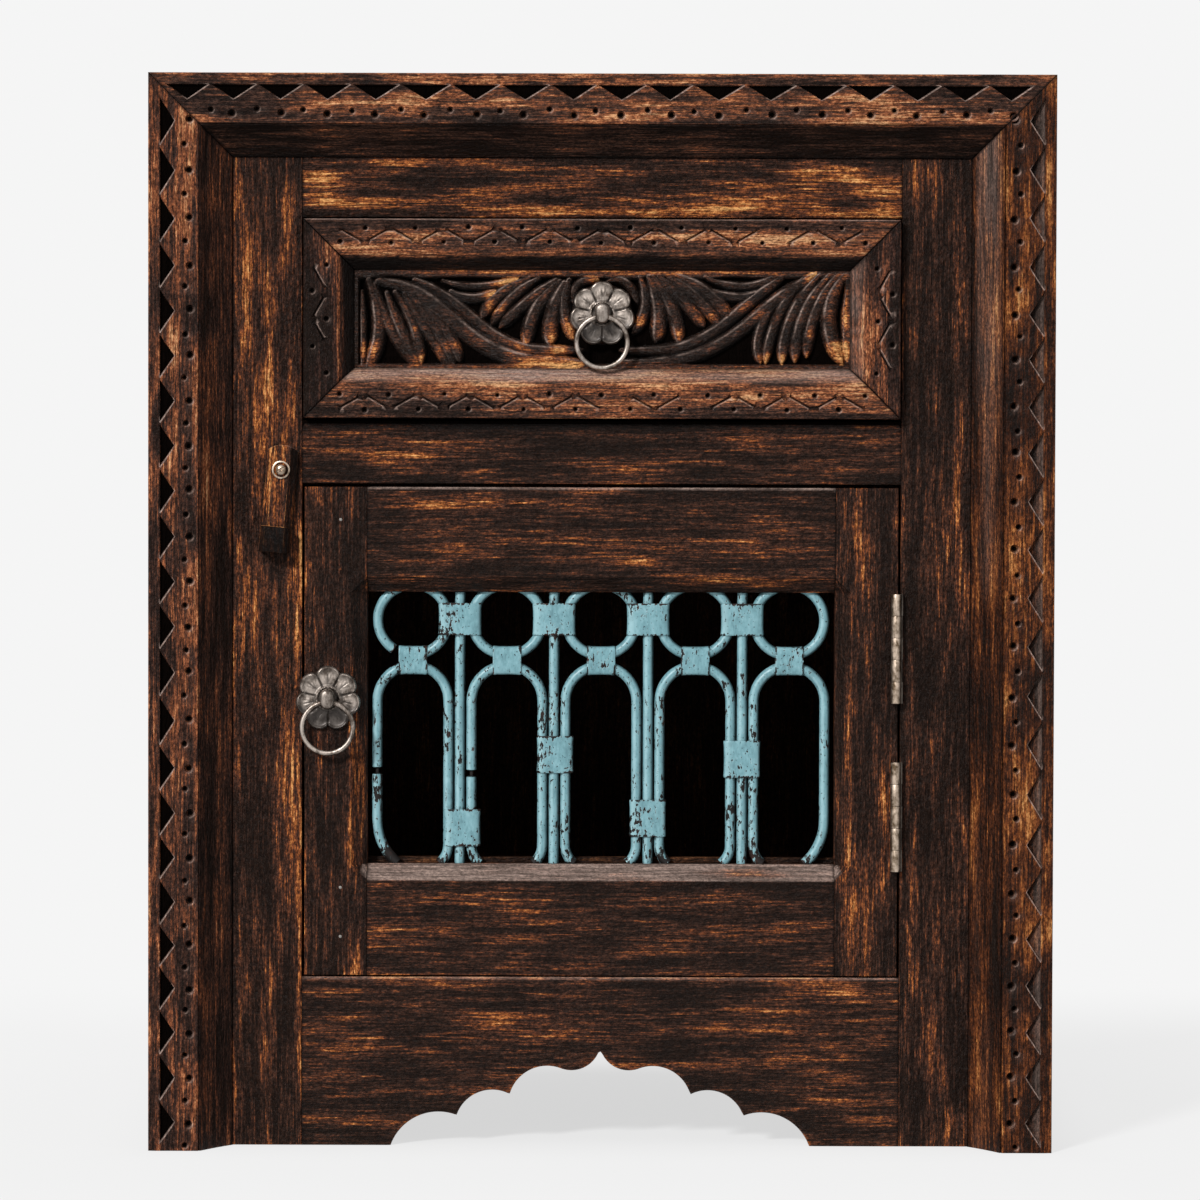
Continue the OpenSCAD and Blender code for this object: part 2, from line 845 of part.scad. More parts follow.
module drawer_rosette() {
    color("#8a8378") facing(drawer_pull) rosette();
}

module drawer_knob() {
    color("#9a9388") facing(drawer_pull) knob(board_back - field_front);
}

module drawer_knob_nut() {
    color("#8a8378") facing(drawer_pull) knob_nut(board_back - field_front);
}

module drawer_ring() {
    color("#9a9388") facing(drawer_pull) pull_ring();
}

module door_rosette() {
    color("#8a8378") facing(door_pull) rosette();
}

module door_knob() {
    color("#9a9388") facing(door_pull) knob(door_t);
}

module door_knob_nut() {
    color("#8a8378") facing(door_pull) knob_nut(door_t);
}

module door_ring() {
    color("#9a9388") facing(door_pull) pull_ring();
}

// Door frame

module door_tenon(z0, z1, grow = 0) {
    block([-win_x - door_tenon_l - grow, door_tenon_y - grow, z0 + shoulder - grow],
          [win_x + door_tenon_l + grow, door_tenon_y + tenon_t + grow, z1 - shoulder + grow]);
}

module joint_pins(grow = 0) {
    for (s = [-1, 1], up = pin_up, z = [win_z0 - up, win_z1 + up])
        facing([s * (win_x + pin_in), face_y, z]) translate([0, 0, -pin_l - grow])
            cylinder(r = pin_r + grow, h = pin_l + grow, $fn = 24);
}

module joint_pin_holes() {
    joint_pins(fit);
    translate([0, -over, 0]) joint_pins(fit);
}

// Cuts the slanted facet where the stile's chamfer stops at the window's corner
module corner_facet(z, up) {
    polyhedron(
        points = [[-win_x - chamfer_w, face_y, z], [-win_x, face_y, z + up * chamfer_w],
                  [-win_x, face_y + chamfer_d, z], [over - win_x, face_y - over, z - up * over]],
        faces = up > 0 ? [[0, 2, 1], [0, 1, 3], [1, 2, 3], [2, 0, 3]]
                       : [[0, 1, 2], [0, 3, 1], [1, 3, 2], [2, 3, 0]]);
}

module door_stile() {
    difference() {
        block([-door_x, face_y, door_z0], [-win_x, door_back, door_z1]);
        door_tenon(door_z0, win_z0, fit);
        door_tenon(win_z1, door_z1, fit);
        translate([0, 0, win_z0]) linear_extrude(win_z1 - win_z0)
            polygon([[-win_x - chamfer_w, face_y], [-win_x, face_y + chamfer_d],
                     [over - win_x, face_y + chamfer_d], [over - win_x, face_y - over],
                     [-win_x - chamfer_w, face_y - over]]);
        corner_facet(win_z1, 1);
        corner_facet(win_z0, -1);
        joint_pin_holes();
    }
}

module door_stile_left() {
    color("#3d2a20")
        difference() {
            door_stile();
            pull_hole(door_pull, door_t);
        }
}

module door_stile_right() {
    color("#3d2a20")
        difference() {
            mirror([1, 0, 0]) door_stile();
            for (z = hinge_levels)
                block([door_x - leaf_t, face_y - over, z - fit],
                      [door_x + over, face_y + leaf_w, z + hinge_l + fit]);
            door_screw_holes();
        }
}

module door_rail(z0, z1, edge, up) {
    difference() {
        union() {
            block([-win_x, face_y, z0], [win_x, door_back, z1]);
            door_tenon(z0, z1);
        }
        along_x(-win_x, win_x)
            polygon([[face_y - over, edge - up * over], [face_y - over, edge + up * chamfer_w],
                     [face_y, edge + up * chamfer_w], [face_y + chamfer_d, edge],
                     [face_y + chamfer_d, edge - up * over]]);
        joint_pin_holes();
        door_screw_holes();
    }
}

module door_rail_top() {
    groove = ring_r + rod_r - ring_drop + 2 * fit;
    color("#3a271e")
        difference() {
            door_rail(win_z1, door_z1, win_z1, 1);
            block([-win_x, grille_y - strap_in, win_z1 - over],
                  [win_x, grille_y + strap_in, win_z1 + groove]);
        }
}

module door_rail_bottom() {
    color("#35251c") door_rail(door_z0, win_z0, win_z0, -1);
}

module door_joint_pins() {
    color("#6e6459") joint_pins();
}

module grille_battens() {
    half = win_x + batten_lap;
    color("#4a3427")
        for (z = [win_z0 + batten_rise - batten_h, win_z1])
            block([-half, door_back, z], [half, door_back + batten_t, z + batten_h]);
}

// Grille, drawn on the rods' own plane: X to the right and Y up

module grille_plane() {
    translate([0, grille_y, 0]) rotate([90, 0, 0]) children();
}

module grille_rings() {
    color("#84b3bb")
        grille_plane()
            for (i = [0 : ring_count - 1])
                translate([ring_x(i, ring_count), ring_z, 0])
                    rotate_extrude() translate([ring_r, 0]) circle(rod_r);
}

// One leg of an arch with the curled foot that it stands on
module arch_leg(curl_r) {
    knee = near(win_z0 + curl_r * sin(foot_turn));
    translate([-arch_r, knee, 0]) rotate([-90, 0, 0]) cylinder(r = rod_r, h = arch_z - knee);
    translate([curl_r - arch_r, knee, 0]) rotate([0, 0, 180])
        rotate_extrude(angle = foot_turn + asin(rod_r / curl_r)) translate([curl_r, 0]) circle(rod_r);
}

module arch_rod(left_r, right_r) {
    difference() {
        union() {
            translate([0, arch_z, 0]) rotate_extrude(angle = 180) translate([arch_r, 0]) circle(rod_r);
            arch_leg(left_r);
            mirror([1, 0, 0]) arch_leg(right_r);
        }
        translate([-ring_pitch / 2, win_z0 - ring_pitch / 2, -ring_pitch / 2])
            cube([ring_pitch, ring_pitch / 2, ring_pitch]);
    }
}

module grille_arches() {
    color("#84b3bb")
        grille_plane()
            for (i = [0 : ring_count - 1])
                translate([ring_x(i, ring_count), 0, 0])
                    arch_rod(i == 0 ? end_foot_r : foot_r, i == ring_count - 1 ? end_foot_r : foot_r);
}

module grille_bars() {
    top = ring_z + side_collar_h / 2;
    color("#84b3bb")
        grille_plane()
            for (i = [0 : ring_count - 2])
                translate([ring_x(i, ring_count - 1), win_z0, 0]) rotate([-90, 0, 0])
                    cylinder(r = rod_r, h = top - win_z0);
}

// A strap bent round rods that lie side by side, standing along its own Z
module collar(half_span, height_z) {
    inner = 2 * (half_span + strap_fit);
    difference() {
        linear_extrude(height_z, center = true) obround(inner + 2 * strap_t, 2 * (strap_in + strap_t));
        linear_extrude(height_z + over, center = true) obround(inner, 2 * strap_in);
    }
}

module grille_collars() {
    between = ring_pitch / 2 - ring_r;
    touch = (rod_d + rod_gap) / 2;
    color("#7aa9b1")
        grille_plane() {
            for (i = [0 : ring_count - 2]) {
                x = ring_x(i, ring_count - 1);
                translate([x, ring_z, 0]) rotate([90, 0, 0])
                    collar(between + reach(ring_r, side_collar_h / 2), side_collar_h);
                up = bar_collar_up[i % len(bar_collar_up)] * (arch_z - win_z0 - bar_collar_h);
                translate([x, win_z0 + bar_collar_h / 2 + up, 0]) rotate([90, 0, 0])
                    collar(ring_pitch / 2 - arch_r + rod_r, bar_collar_h);
            }
            for (i = [0 : ring_count - 1])
                translate([ring_x(i, ring_count), ring_z - ring_r - touch, 0])
                    rotate([0, 0, 90]) rotate([90, 0, 0])
                        collar(touch + reach(min(ring_r, arch_r), top_collar_w / 2), top_collar_w);
        }
}

// Hinges

module barrel(z, first) {
    for (k = [first : 2 : knuckles - 1])
        translate([hinge_x, hinge_y, z + k * knuckle_pitch + knuckle_gap / 2])
            cylinder(r = knuckle_r, h = knuckle_pitch - knuckle_gap);
}

// Joins a leaf to each of its knuckles
module leaf_bends(z, first, x0, x1, y0) {
    for (k = [first : 2 : knuckles - 1])
        block([x0, y0, z + k * knuckle_pitch + knuckle_gap / 2],
              [x1, face_y + over, z + (k + 1) * knuckle_pitch - knuckle_gap / 2]);
}

module pin_bore(z) {
    translate([hinge_x, hinge_y, z - over]) cylinder(r = hinge_pin_r + running_fit, h = hinge_l + 2 * over);
}

module screw_head(x, y, z, side, grow = 0) {
    translate([x, y, z]) rotate([0, -side * 90, 0])
        translate([0, 0, -leaf_t]) cylinder(r1 = screw_r + grow, r2 = screw_head_r + grow, h = leaf_t);
}

function screw_z(z, i) = z + (i + 0.5) * hinge_l / leaf_screws;
screw_y = face_y + leaf_w / 2;

// The shanks run into the wood from the leaf: side is 1 towards +X and -1 towards -X
module leaf_screw_holes(z, edge, side) {
    for (i = [0 : leaf_screws - 1])
        translate([edge, screw_y, screw_z(z, i)]) rotate([0, side * 90, 0])
            cylinder(r = screw_r + fit, h = screw_l + fit, $fn = 24);
}

// Holes for the door leaves' screws, which also pass a rail's tenon that lies in their way
module door_screw_holes() {
    for (z = hinge_levels) leaf_screw_holes(z, door_x, -1);
}

module leaf_screws_at(z, edge, side) {
    for (i = [0 : leaf_screws - 1]) {
        screw_head(edge, screw_y, screw_z(z, i), side);
        translate([edge + side * leaf_t, screw_y, screw_z(z, i)]) rotate([0, side * 90, 0])
            cylinder(r = screw_r, h = screw_l - leaf_t);
    }
}

module frame_leaf(z) {
    difference() {
        union() {
            block([open_x, face_y, z], [open_x + leaf_t, face_y + leaf_w, z + hinge_l]);
            leaf_bends(z, 0, open_x, open_x + leaf_t, hinge_y);
            barrel(z, 0);
        }
        pin_bore(z);
        for (i = [0 : leaf_screws - 1]) screw_head(open_x, screw_y, screw_z(z, i), 1, fit);
    }
}

module door_leaf(z) {
    difference() {
        union() {
            block([door_x - leaf_t, face_y, z], [door_x, face_y + leaf_w, z + hinge_l]);
            leaf_bends(z, 1, door_x - leaf_t, door_x, hinge_y + (knuckle_r + hinge_pin_r) / 2);
            barrel(z, 1);
        }
        pin_bore(z);
        for (i = [0 : leaf_screws - 1]) screw_head(door_x, screw_y, screw_z(z, i), -1, fit);
    }
}

module hinge_upper_frame_leaf() {
    color("#a39a8c") frame_leaf(hinge_levels[0]);
}

module hinge_lower_frame_leaf() {
    color("#a39a8c") frame_leaf(hinge_levels[1]);
}

module hinge_upper_door_leaf() {
    color("#a39a8c") door_leaf(hinge_levels[0]);
}

module hinge_lower_door_leaf() {
    color("#a39a8c") door_leaf(hinge_levels[1]);
}

module hinge_pins() {
    color("#8a8378")
        for (z = hinge_levels) translate([hinge_x, hinge_y, z]) cylinder(r = hinge_pin_r, h = hinge_l);
}

module hinge_frame_screws() {
    color("#8a8378") for (z = hinge_levels) leaf_screws_at(z, open_x, 1);
}

module hinge_door_screws() {
    color("#8a8378") for (z = hinge_levels) leaf_screws_at(z, door_x, -1);
}

// Turn lever, drawn looking at the front like the pulls

module lever_bar() {
    half = latch_w / 2;
    strip = latch_strip_w / 2;
    outer = latch_gap + latch_t;
    translate([0, latch_top, 0]) rotate([90, 0, 0]) linear_extrude(latch_top + latch_bottom)
        polygon([[-half, latch_gap], [half, latch_gap], [half, latch_gap + latch_edge_t], [strip, outer],
                 [-strip, outer], [-half, latch_gap + latch_edge_t]]);
}

module lever_foot() {
    half = foot_block_w / 2;
    outer = latch_gap + foot_block_t;
    cut = foot_block_cut;
    translate([0, foot_block_h - latch_bottom, 0]) rotate([90, 0, 0]) linear_extrude(foot_block_h)
        polygon([[-half, latch_gap], [half, latch_gap], [half, outer - cut], [half - cut, outer],
                 [cut - half, outer], [-half, outer - cut]]);
}

module latch_lever() {
    color("#4a3021")
        facing(latch_pivot) rotate([0, 0, -latch_lean])
            difference() {
                union() {
                    intersection() {
                        lever_bar();
                        union() {
                            cylinder(r = latch_top, h = latch_gap + latch_t + over);
                            translate([-latch_w, -latch_bottom, 0])
                                cube([2 * latch_w, latch_bottom, latch_gap + latch_t + over]);
                        }
                    }
                    lever_foot();
                }
                cylinder(r = latch_screw_r + running_fit, h = latch_gap + latch_t + over);
            }
}

module latch_washer() {
    color("#b9b2a4")
        facing(latch_pivot) translate([0, 0, latch_gap + latch_t])
            difference() {
                cylinder(r = washer_r, h = washer_t);
                translate([0, 0, -over]) cylinder(r = latch_screw_r + running_fit, h = washer_t + 2 * over);
            }
}

module latch_screw() {
    head_z = latch_gap + latch_t + washer_t;
    color("#8a8378")
        facing(latch_pivot) {
            translate([0, 0, -latch_screw_l]) cylinder(r = latch_screw_r, h = latch_screw_l + head_z);
            translate([0, 0, head_z]) cylinder(r = latch_head_r, h = latch_head_h);
        }
}

side_panel_left();
side_panel_right();
top_board();
back_boards();
bottom_shelf();
divider_board();
stile_left();
stile_right();
rail_top();
rail_middle();
apron();
moulding_top();
moulding_left();
moulding_right();
drawer_guide_left();
drawer_guide_right();
drawer_kicker_left();
drawer_kicker_right();
drawer_stops();
shelf_cleat_left();
shelf_cleat_right();
door_stop();
hinge_upper_frame_leaf();
hinge_lower_frame_leaf();
hinge_pins();
hinge_frame_screws();
latch_screw();
latch_washer();
drawer_front_board();
drawer_frame_top();
drawer_frame_bottom();
drawer_frame_left();
drawer_frame_right();
drawer_side_left();
drawer_side_right();
drawer_back();
drawer_bottom();
drawer_rosette();
drawer_knob();
drawer_knob_nut();
drawer_ring();
door_stile_left();
door_stile_right();
door_rail_top();
door_rail_bottom();
door_joint_pins();
grille_rings();
grille_arches();
grille_bars();
grille_collars();
grille_battens();
hinge_upper_door_leaf();
hinge_lower_door_leaf();
hinge_door_screws();
door_rosette();
door_knob();
door_knob_nut();
door_ring();
latch_lever();
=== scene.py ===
"""Look of the nightstand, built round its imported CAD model.

Sizes are in millimetres in the cabinet's own frame: X to the right, the front faces -Y and Z is
up. Meshes are made in metres. A carved board is drawn on a plane as (u, v) with its height w out
of the wood, so w = 174 on the front is the plane y = -174.
"""

import json
import logging
import math
from collections.abc import Callable, Iterator, Sequence
from dataclasses import dataclass, field
from enum import Enum

import bmesh
import bpy
import numpy as np
from mathutils import Matrix, Vector
from mathutils.geometry import delaunay_2d_cdt

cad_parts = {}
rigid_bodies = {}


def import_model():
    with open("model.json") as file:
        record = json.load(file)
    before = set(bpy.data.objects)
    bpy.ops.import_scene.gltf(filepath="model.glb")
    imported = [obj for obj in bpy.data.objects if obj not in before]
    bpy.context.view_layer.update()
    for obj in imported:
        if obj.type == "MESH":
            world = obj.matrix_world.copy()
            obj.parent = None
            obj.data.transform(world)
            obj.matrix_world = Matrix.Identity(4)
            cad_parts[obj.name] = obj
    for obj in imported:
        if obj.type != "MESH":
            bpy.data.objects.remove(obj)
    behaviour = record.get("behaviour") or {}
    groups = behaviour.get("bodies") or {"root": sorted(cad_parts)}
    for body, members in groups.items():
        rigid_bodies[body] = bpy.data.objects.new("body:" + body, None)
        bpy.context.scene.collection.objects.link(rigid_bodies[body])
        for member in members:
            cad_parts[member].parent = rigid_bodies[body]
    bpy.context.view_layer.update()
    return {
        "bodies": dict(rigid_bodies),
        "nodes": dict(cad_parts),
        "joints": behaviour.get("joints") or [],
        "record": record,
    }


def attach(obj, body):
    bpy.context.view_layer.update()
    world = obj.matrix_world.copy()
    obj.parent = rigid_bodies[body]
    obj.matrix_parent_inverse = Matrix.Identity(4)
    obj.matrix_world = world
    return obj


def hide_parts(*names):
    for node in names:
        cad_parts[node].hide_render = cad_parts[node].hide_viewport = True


MM = 0.001
FULL_TURN = 2 * math.pi
LOG = logging.getLogger("nightstand")

Point = tuple[float, float]
Place = tuple[float, float, float]
Colour = tuple[float, float, float, float]
Field = Callable[[np.ndarray], np.ndarray]
Tree = bpy.types.NodeTree
Socket = bpy.types.NodeSocket
Piece = bpy.types.Object


# Numbers and drawing


def linear(code: str) -> Colour:
    """Turn an sRGB hex colour into linear RGBA.

    Args:
        code: The colour as "#rrggbb".

    Returns:
        Linear red, green, blue and an alpha of 1.
    """
    parts = [int(code[i : i + 2], 16) / 255 for i in (1, 3, 5)]
    flat = [c / 12.92 if c <= 0.04045 else ((c + 0.055) / 1.055) ** 2.4 for c in parts]
    return (flat[0], flat[1], flat[2], 1.0)


def ripple(uv: np.ndarray, size: Point, seed: int) -> np.ndarray:
    """Smooth noise that is the same on each run.

    Args:
        uv: Points, n by 2, in millimetres.
        size: Width of a feature along u and along v.
        seed: Which noise.

    Returns:
        One value from -1 to 1 for each point.
    """
    grid = uv / np.asarray(size, float)
    cell = np.floor(grid).astype(np.int64)
    part = grid - cell
    part = part * part * (3 - 2 * part)

    def corner(du: int, dv: int) -> np.ndarray:
        """Random value at one corner of each point's cell.

        Args:
            du: 1 for the corner further along u, else 0.
            dv: 1 for the corner further along v, else 0.

        Returns:
            One value from -1 to 1 for each point.
        """
        n = (cell[:, 0] + du) * 374761393 + (cell[:, 1] + dv) * 668265263 + seed * 982451653
        n = ((n ^ (n >> 13)) * 1274126177) & 0x7FFFFFFF
        return ((n ^ (n >> 16)) & 0xFFFF) / 32767.5 - 1

    low = corner(0, 0) * (1 - part[:, 0]) + corner(1, 0) * part[:, 0]
    high = corner(0, 1) * (1 - part[:, 0]) + corner(1, 1) * part[:, 0]
    return low * (1 - part[:, 1]) + high * part[:, 1]


def smooth(value: np.ndarray, low: float, high: float) -> np.ndarray:
    """Rise smoothly from 0 at low to 1 at high."""
    t = np.clip((value - low) / (high - low), 0, 1)
    return t * t * (3 - 2 * t)


def bell(value: np.ndarray | float, middle: float, width: float, power: int = 2) -> np.ndarray | float:
    """Swell to 1 at the middle and fall off to nothing about two widths away."""
    return np.exp(-(((value - middle) / width) ** power))


def looped(ring: np.ndarray) -> np.ndarray:
    """Line round a ring that ends on its first point."""
    return np.vstack([ring, ring[:1]])


def nothing(uv: np.ndarray) -> np.ndarray:
    """0 at each point."""
    return np.zeros(len(uv))


def to_segments(uv: np.ndarray, starts: np.ndarray, ends: np.ndarray) -> np.ndarray:
    """Distance of each point to each segment.

    Args:
        uv: Points, n by 2.
        starts: Segment starts, m by 2.
        ends: Segment ends, m by 2.

    Returns:
        Distances, n by m.
    """
    run = ends - starts
    length = np.maximum((run**2).sum(1), 1e-12)
    along = ((uv[:, None, :] - starts[None]) * run[None]).sum(2) / length
    near = starts[None] + np.clip(along, 0, 1)[..., None] * run[None]
    return np.sqrt(((uv[:, None, :] - near) ** 2).sum(2))


def is_inside(uv: np.ndarray, ring: np.ndarray) -> np.ndarray:
    """Whether each point lies inside a closed ring, by counting crossings.

    Args:
        uv: Points, n by 2.
        ring: Corners of the ring.

    Returns:
        True or False for each point.
    """
    found = np.zeros(len(uv), bool)
    for a, b in zip(ring, np.roll(ring, -1, 0)):
        if a[1] != b[1]:
            crosses = (a[1] > uv[:, 1]) != (b[1] > uv[:, 1])
            at = (b[0] - a[0]) * (uv[:, 1] - a[1]) / (b[1] - a[1]) + a[0]
            found ^= crosses & (uv[:, 0] < at)
    return found


def divided(line: np.ndarray, step: float, closed: bool) -> np.ndarray:
    """Add points to a line so that none are further apart than step.

    Args:
        line: Corners, n by 2.
        step: Greatest distance between two points.
        closed: Whether the last corner joins the first.

    Returns:
        The corners with the points between them.
    """
    ends = np.roll(line, -1, 0) if closed else line[1:]
    made = []
    for a, b in zip(line, ends):
        count = max(1, math.ceil(float(np.hypot(*(b - a))) / step))
        made.extend(a + (b - a) * k / count for k in range(count))
    if not closed:
        made.append(line[-1])
    return np.array(made)


def inset(ring: np.ndarray, amounts: np.ndarray) -> np.ndarray:
    """Move each edge of an anticlockwise ring inwards.

    Args:
        ring: Corners, n by 2.
        amounts: How far each edge moves. Edge i runs from corner i to the next.

    Returns:
        The corners of the smaller ring.
    """
    run = np.roll(ring, -1, 0) - ring
    normal = np.stack([-run[:, 1], run[:, 0]], 1) / np.hypot(run[:, 0], run[:, 1])[:, None]
    made = []
    for i, corner in enumerate(ring):
        n1, n2, a1, a2 = normal[i - 1], normal[i], amounts[i - 1], amounts[i]
        cross = n1[0] * n2[1] - n1[1] * n2[0]
        if abs(cross) < 0.05:
            made.append(corner + n2 * a2)
        else:
            made.append(corner + np.array([a1 * n2[1] - a2 * n1[1], a2 * n1[0] - a1 * n2[0]]) / cross)
    return np.array(made)


def circle(centre: Point, radius: float, count: int, start: float = 0.0) -> np.ndarray:
    """Points round a circle, anticlockwise."""
    turn = start + np.arange(count) * FULL_TURN / count
    return np.stack([centre[0] + radius * np.cos(turn), centre[1] + radius * np.sin(turn)], 1)


@dataclass(frozen=True)
class Plane:
    """A drawing plane: u and v lie in it, w comes out of it, and across x up = out."""

    across: Place = (1, 0, 0)
    up: Place = (0, 0, 1)
    out: Place = (0, -1, 0)

    def lift(self, uv: np.ndarray, w: np.ndarray) -> np.ndarray:
        """Place drawn points in the cabinet's frame.

        Args:
            uv: Points, n by 2, in millimetres.
            w: Height of each point.

        Returns:
            Points, n by 3, in metres.
        """
        axes = np.array([self.across, self.up, self.out], float)
        return np.column_stack([uv, w]) @ axes * MM


FRONT = Plane()


# Materials


# Wood from the full stain to where it is rubbed bare
FACE = ("#170d08", "#2b1b14", "#442a1f", "#6a3a23", "#a7602f", "#d49b60")
CARVED_UP = ("#170d08", "#32201a", "#4b2f23", "#6f3e28", "#9a5c3a", "#c08e64")
CARVED_ACROSS = ("#170d08", "#35231c", "#4e3428", "#70402a", "#9d5f3c", "#c49268")
CARVED_WARM = ("#170d08", "#341a0e", "#502b17", "#6e3b1d", "#90562b", "#b8824e")
THIN = ("#180f0b", "#271811", "#382418", "#4c2f1d", "#6b452b", "#8a623f")
THIN_PALE = ("#2b1a14", "#45291f", "#5e3c2b", "#754c36", "#906341", "#b08459")
# Near black of dirt and painted shade in the hollows
SHADED_SOOT = ("#060403", "#0b0705", "#120b08", "#1a100b", "#22150e", "#2a1a12")


def add(tree: Tree, kind: str, inputs: dict | None = None, **settings: object) -> bpy.types.Node:
    """Add a node, set its properties, and fill or link its inputs.

    Args:
        tree: The tree that gets the node.
        kind: The node's type.
        inputs: Socket name or number, and the value or output socket that it takes.
        **settings: Properties of the node.

    Returns:
        The new node.
    """
    node = tree.nodes.new(kind)
    for name, value in settings.items():
        setattr(node, name, value)
    for key, value in (inputs or {}).items():
        if isinstance(value, bpy.types.NodeSocket):
            tree.links.new(value, node.inputs[key])
        else:
            node.inputs[key].default_value = value
    return node


def shade(name: str) -> tuple[bpy.types.Material, Tree]:
    """Make an empty node material.

    Args:
        name: Name of the material.

    Returns:
        The material and its tree.
    """
    material = bpy.data.materials.new(name)
    material.use_nodes = True
    material.node_tree.nodes.clear()
    return material, material.node_tree


def ramp(tree: Tree, fac: Socket, stops: Sequence[tuple[float, str]]) -> Socket:
    """Colour a value through a ramp.

    Args:
        tree: The material's tree.
        fac: The value.
        stops: Position and sRGB hex colour of each stop.

    Returns:
        The colour's socket.
    """
    node = add(tree, "ShaderNodeValToRGB", {0: fac})
    elements = node.color_ramp.elements
    elements[0].position, elements[0].color = stops[0][0], linear(stops[0][1])
    elements[1].position, elements[1].color = stops[-1][0], linear(stops[-1][1])
    for position, code in stops[1:-1]:
        elements.new(position).color = linear(code)
    return node.outputs["Color"]


def stretched(tree: Tree, vector: Socket, sizes: Sequence[float], **noise: float) -> Socket:
    """Noise with a feature size in millimetres along each axis.

    Args:
        tree: The material's tree.
        vector: The coordinates, in metres.
        sizes: Size of a feature along x, y and z, in millimetres.
        **noise: Inputs of the noise texture, such as Detail.

    Returns:
        The noise's value socket.
    """
    mapped = add(tree, "ShaderNodeMapping", {"Vector": vector, "Scale": [1 / (s * MM) for s in sizes]})
    inputs = {"Vector": mapped.outputs[0], "Scale": 1.0, **noise}
    return add(tree, "ShaderNodeTexNoise", inputs).outputs["Fac"]


def calc(tree: Tree, operation: str, *values: Socket | float) -> Socket:
    """One sum on sockets or numbers, such as MULTIPLY_ADD."""
    return add(tree, "ShaderNodeMath", dict(enumerate(values)), operation=operation).outputs[0]


def weighed(tree: Tree, start: Socket | float, *terms: tuple[Socket, float]) -> Socket:
    """Add terms, each times its weight, to a start value.

    Args:
        tree: The material's tree.
        start: The value to start from.
        *terms: Sockets with their weights.

    Returns:
        The sum's socket.
    """
    for value, weight in terms:
        start = calc(tree, "MULTIPLY_ADD", value, weight, start)
    return start


def spread(tree: Tree, value: Socket, low: float, high: float, to: Point = (0, 1)) -> Socket:
    """Map a value smoothly from low and high to two new ends."""
    inputs = {"Value": value, "From Min": low, "From Max": high, "To Min": to[0], "To Max": to[1]}
    return add(tree, "ShaderNodeMapRange", inputs, interpolation_type="SMOOTHSTEP").outputs[0]


def blended(tree: Tree, fac: Socket | float, a: Socket, b: Socket | Colour, mode: str = "MIX") -> Socket:
    """Mix two colours.

    Args:
        tree: The material's tree.
        fac: How much of the second colour shows.
        a: The first colour.
        b: The second colour, a socket or linear RGBA.
        mode: Blend mode.

    Returns:
        The mixed colour's socket.
    """
    node = add(tree, "ShaderNodeMix", {0: fac, 6: a, 7: b}, data_type="RGBA", blend_type=mode)
    return node.outputs[2]


def bumped(tree: Tree, height: Socket, depth: float, strength: float) -> Socket:
    """Bump from a height of 0 to 1 that stands for a depth in millimetres."""
    inputs = {"Height": height, "Distance": depth * MM, "Strength": strength}
    return add(tree, "ShaderNodeBump", inputs).outputs[0]


class Grain(Enum):
    """Axis that the fibres of a board run along."""

    ACROSS = 0
    DEPTH = 1
    UP = 2


def painted(tree: Tree, name: str) -> Socket:
    """Number that a mesh carries under this name, 0 where it carries none."""
    return add(tree, "ShaderNodeAttribute", attribute_name=name).outputs["Fac"]


def centred(tree: Tree, colour: Socket) -> Socket:
    """Noise colour as a vector about zero."""
    return add(tree, "ShaderNodeVectorMath", {0: colour, 1: (0.5, 0.5, 0.5)}, operation="SUBTRACT").outputs[0]


class Finish:
    """What all finishes share: one material with one shader, built once and found again later."""

    name: str

    def surface(self, tree: Tree) -> dict[str, object]:
        """Inputs of the shader."""
        raise NotImplementedError

    def material(self) -> bpy.types.Material:
        """Build the material, or find it where it was built before.

        Returns:
            The material.
        """
        known = bpy.data.materials.get(self.name)
        if known:
            return known
        material, tree = shade(self.name)
        shader = add(tree, "ShaderNodeBsdfPrincipled", self.surface(tree))
        add(tree, "ShaderNodeOutputMaterial", {"Surface": shader.outputs[0]})
        return material


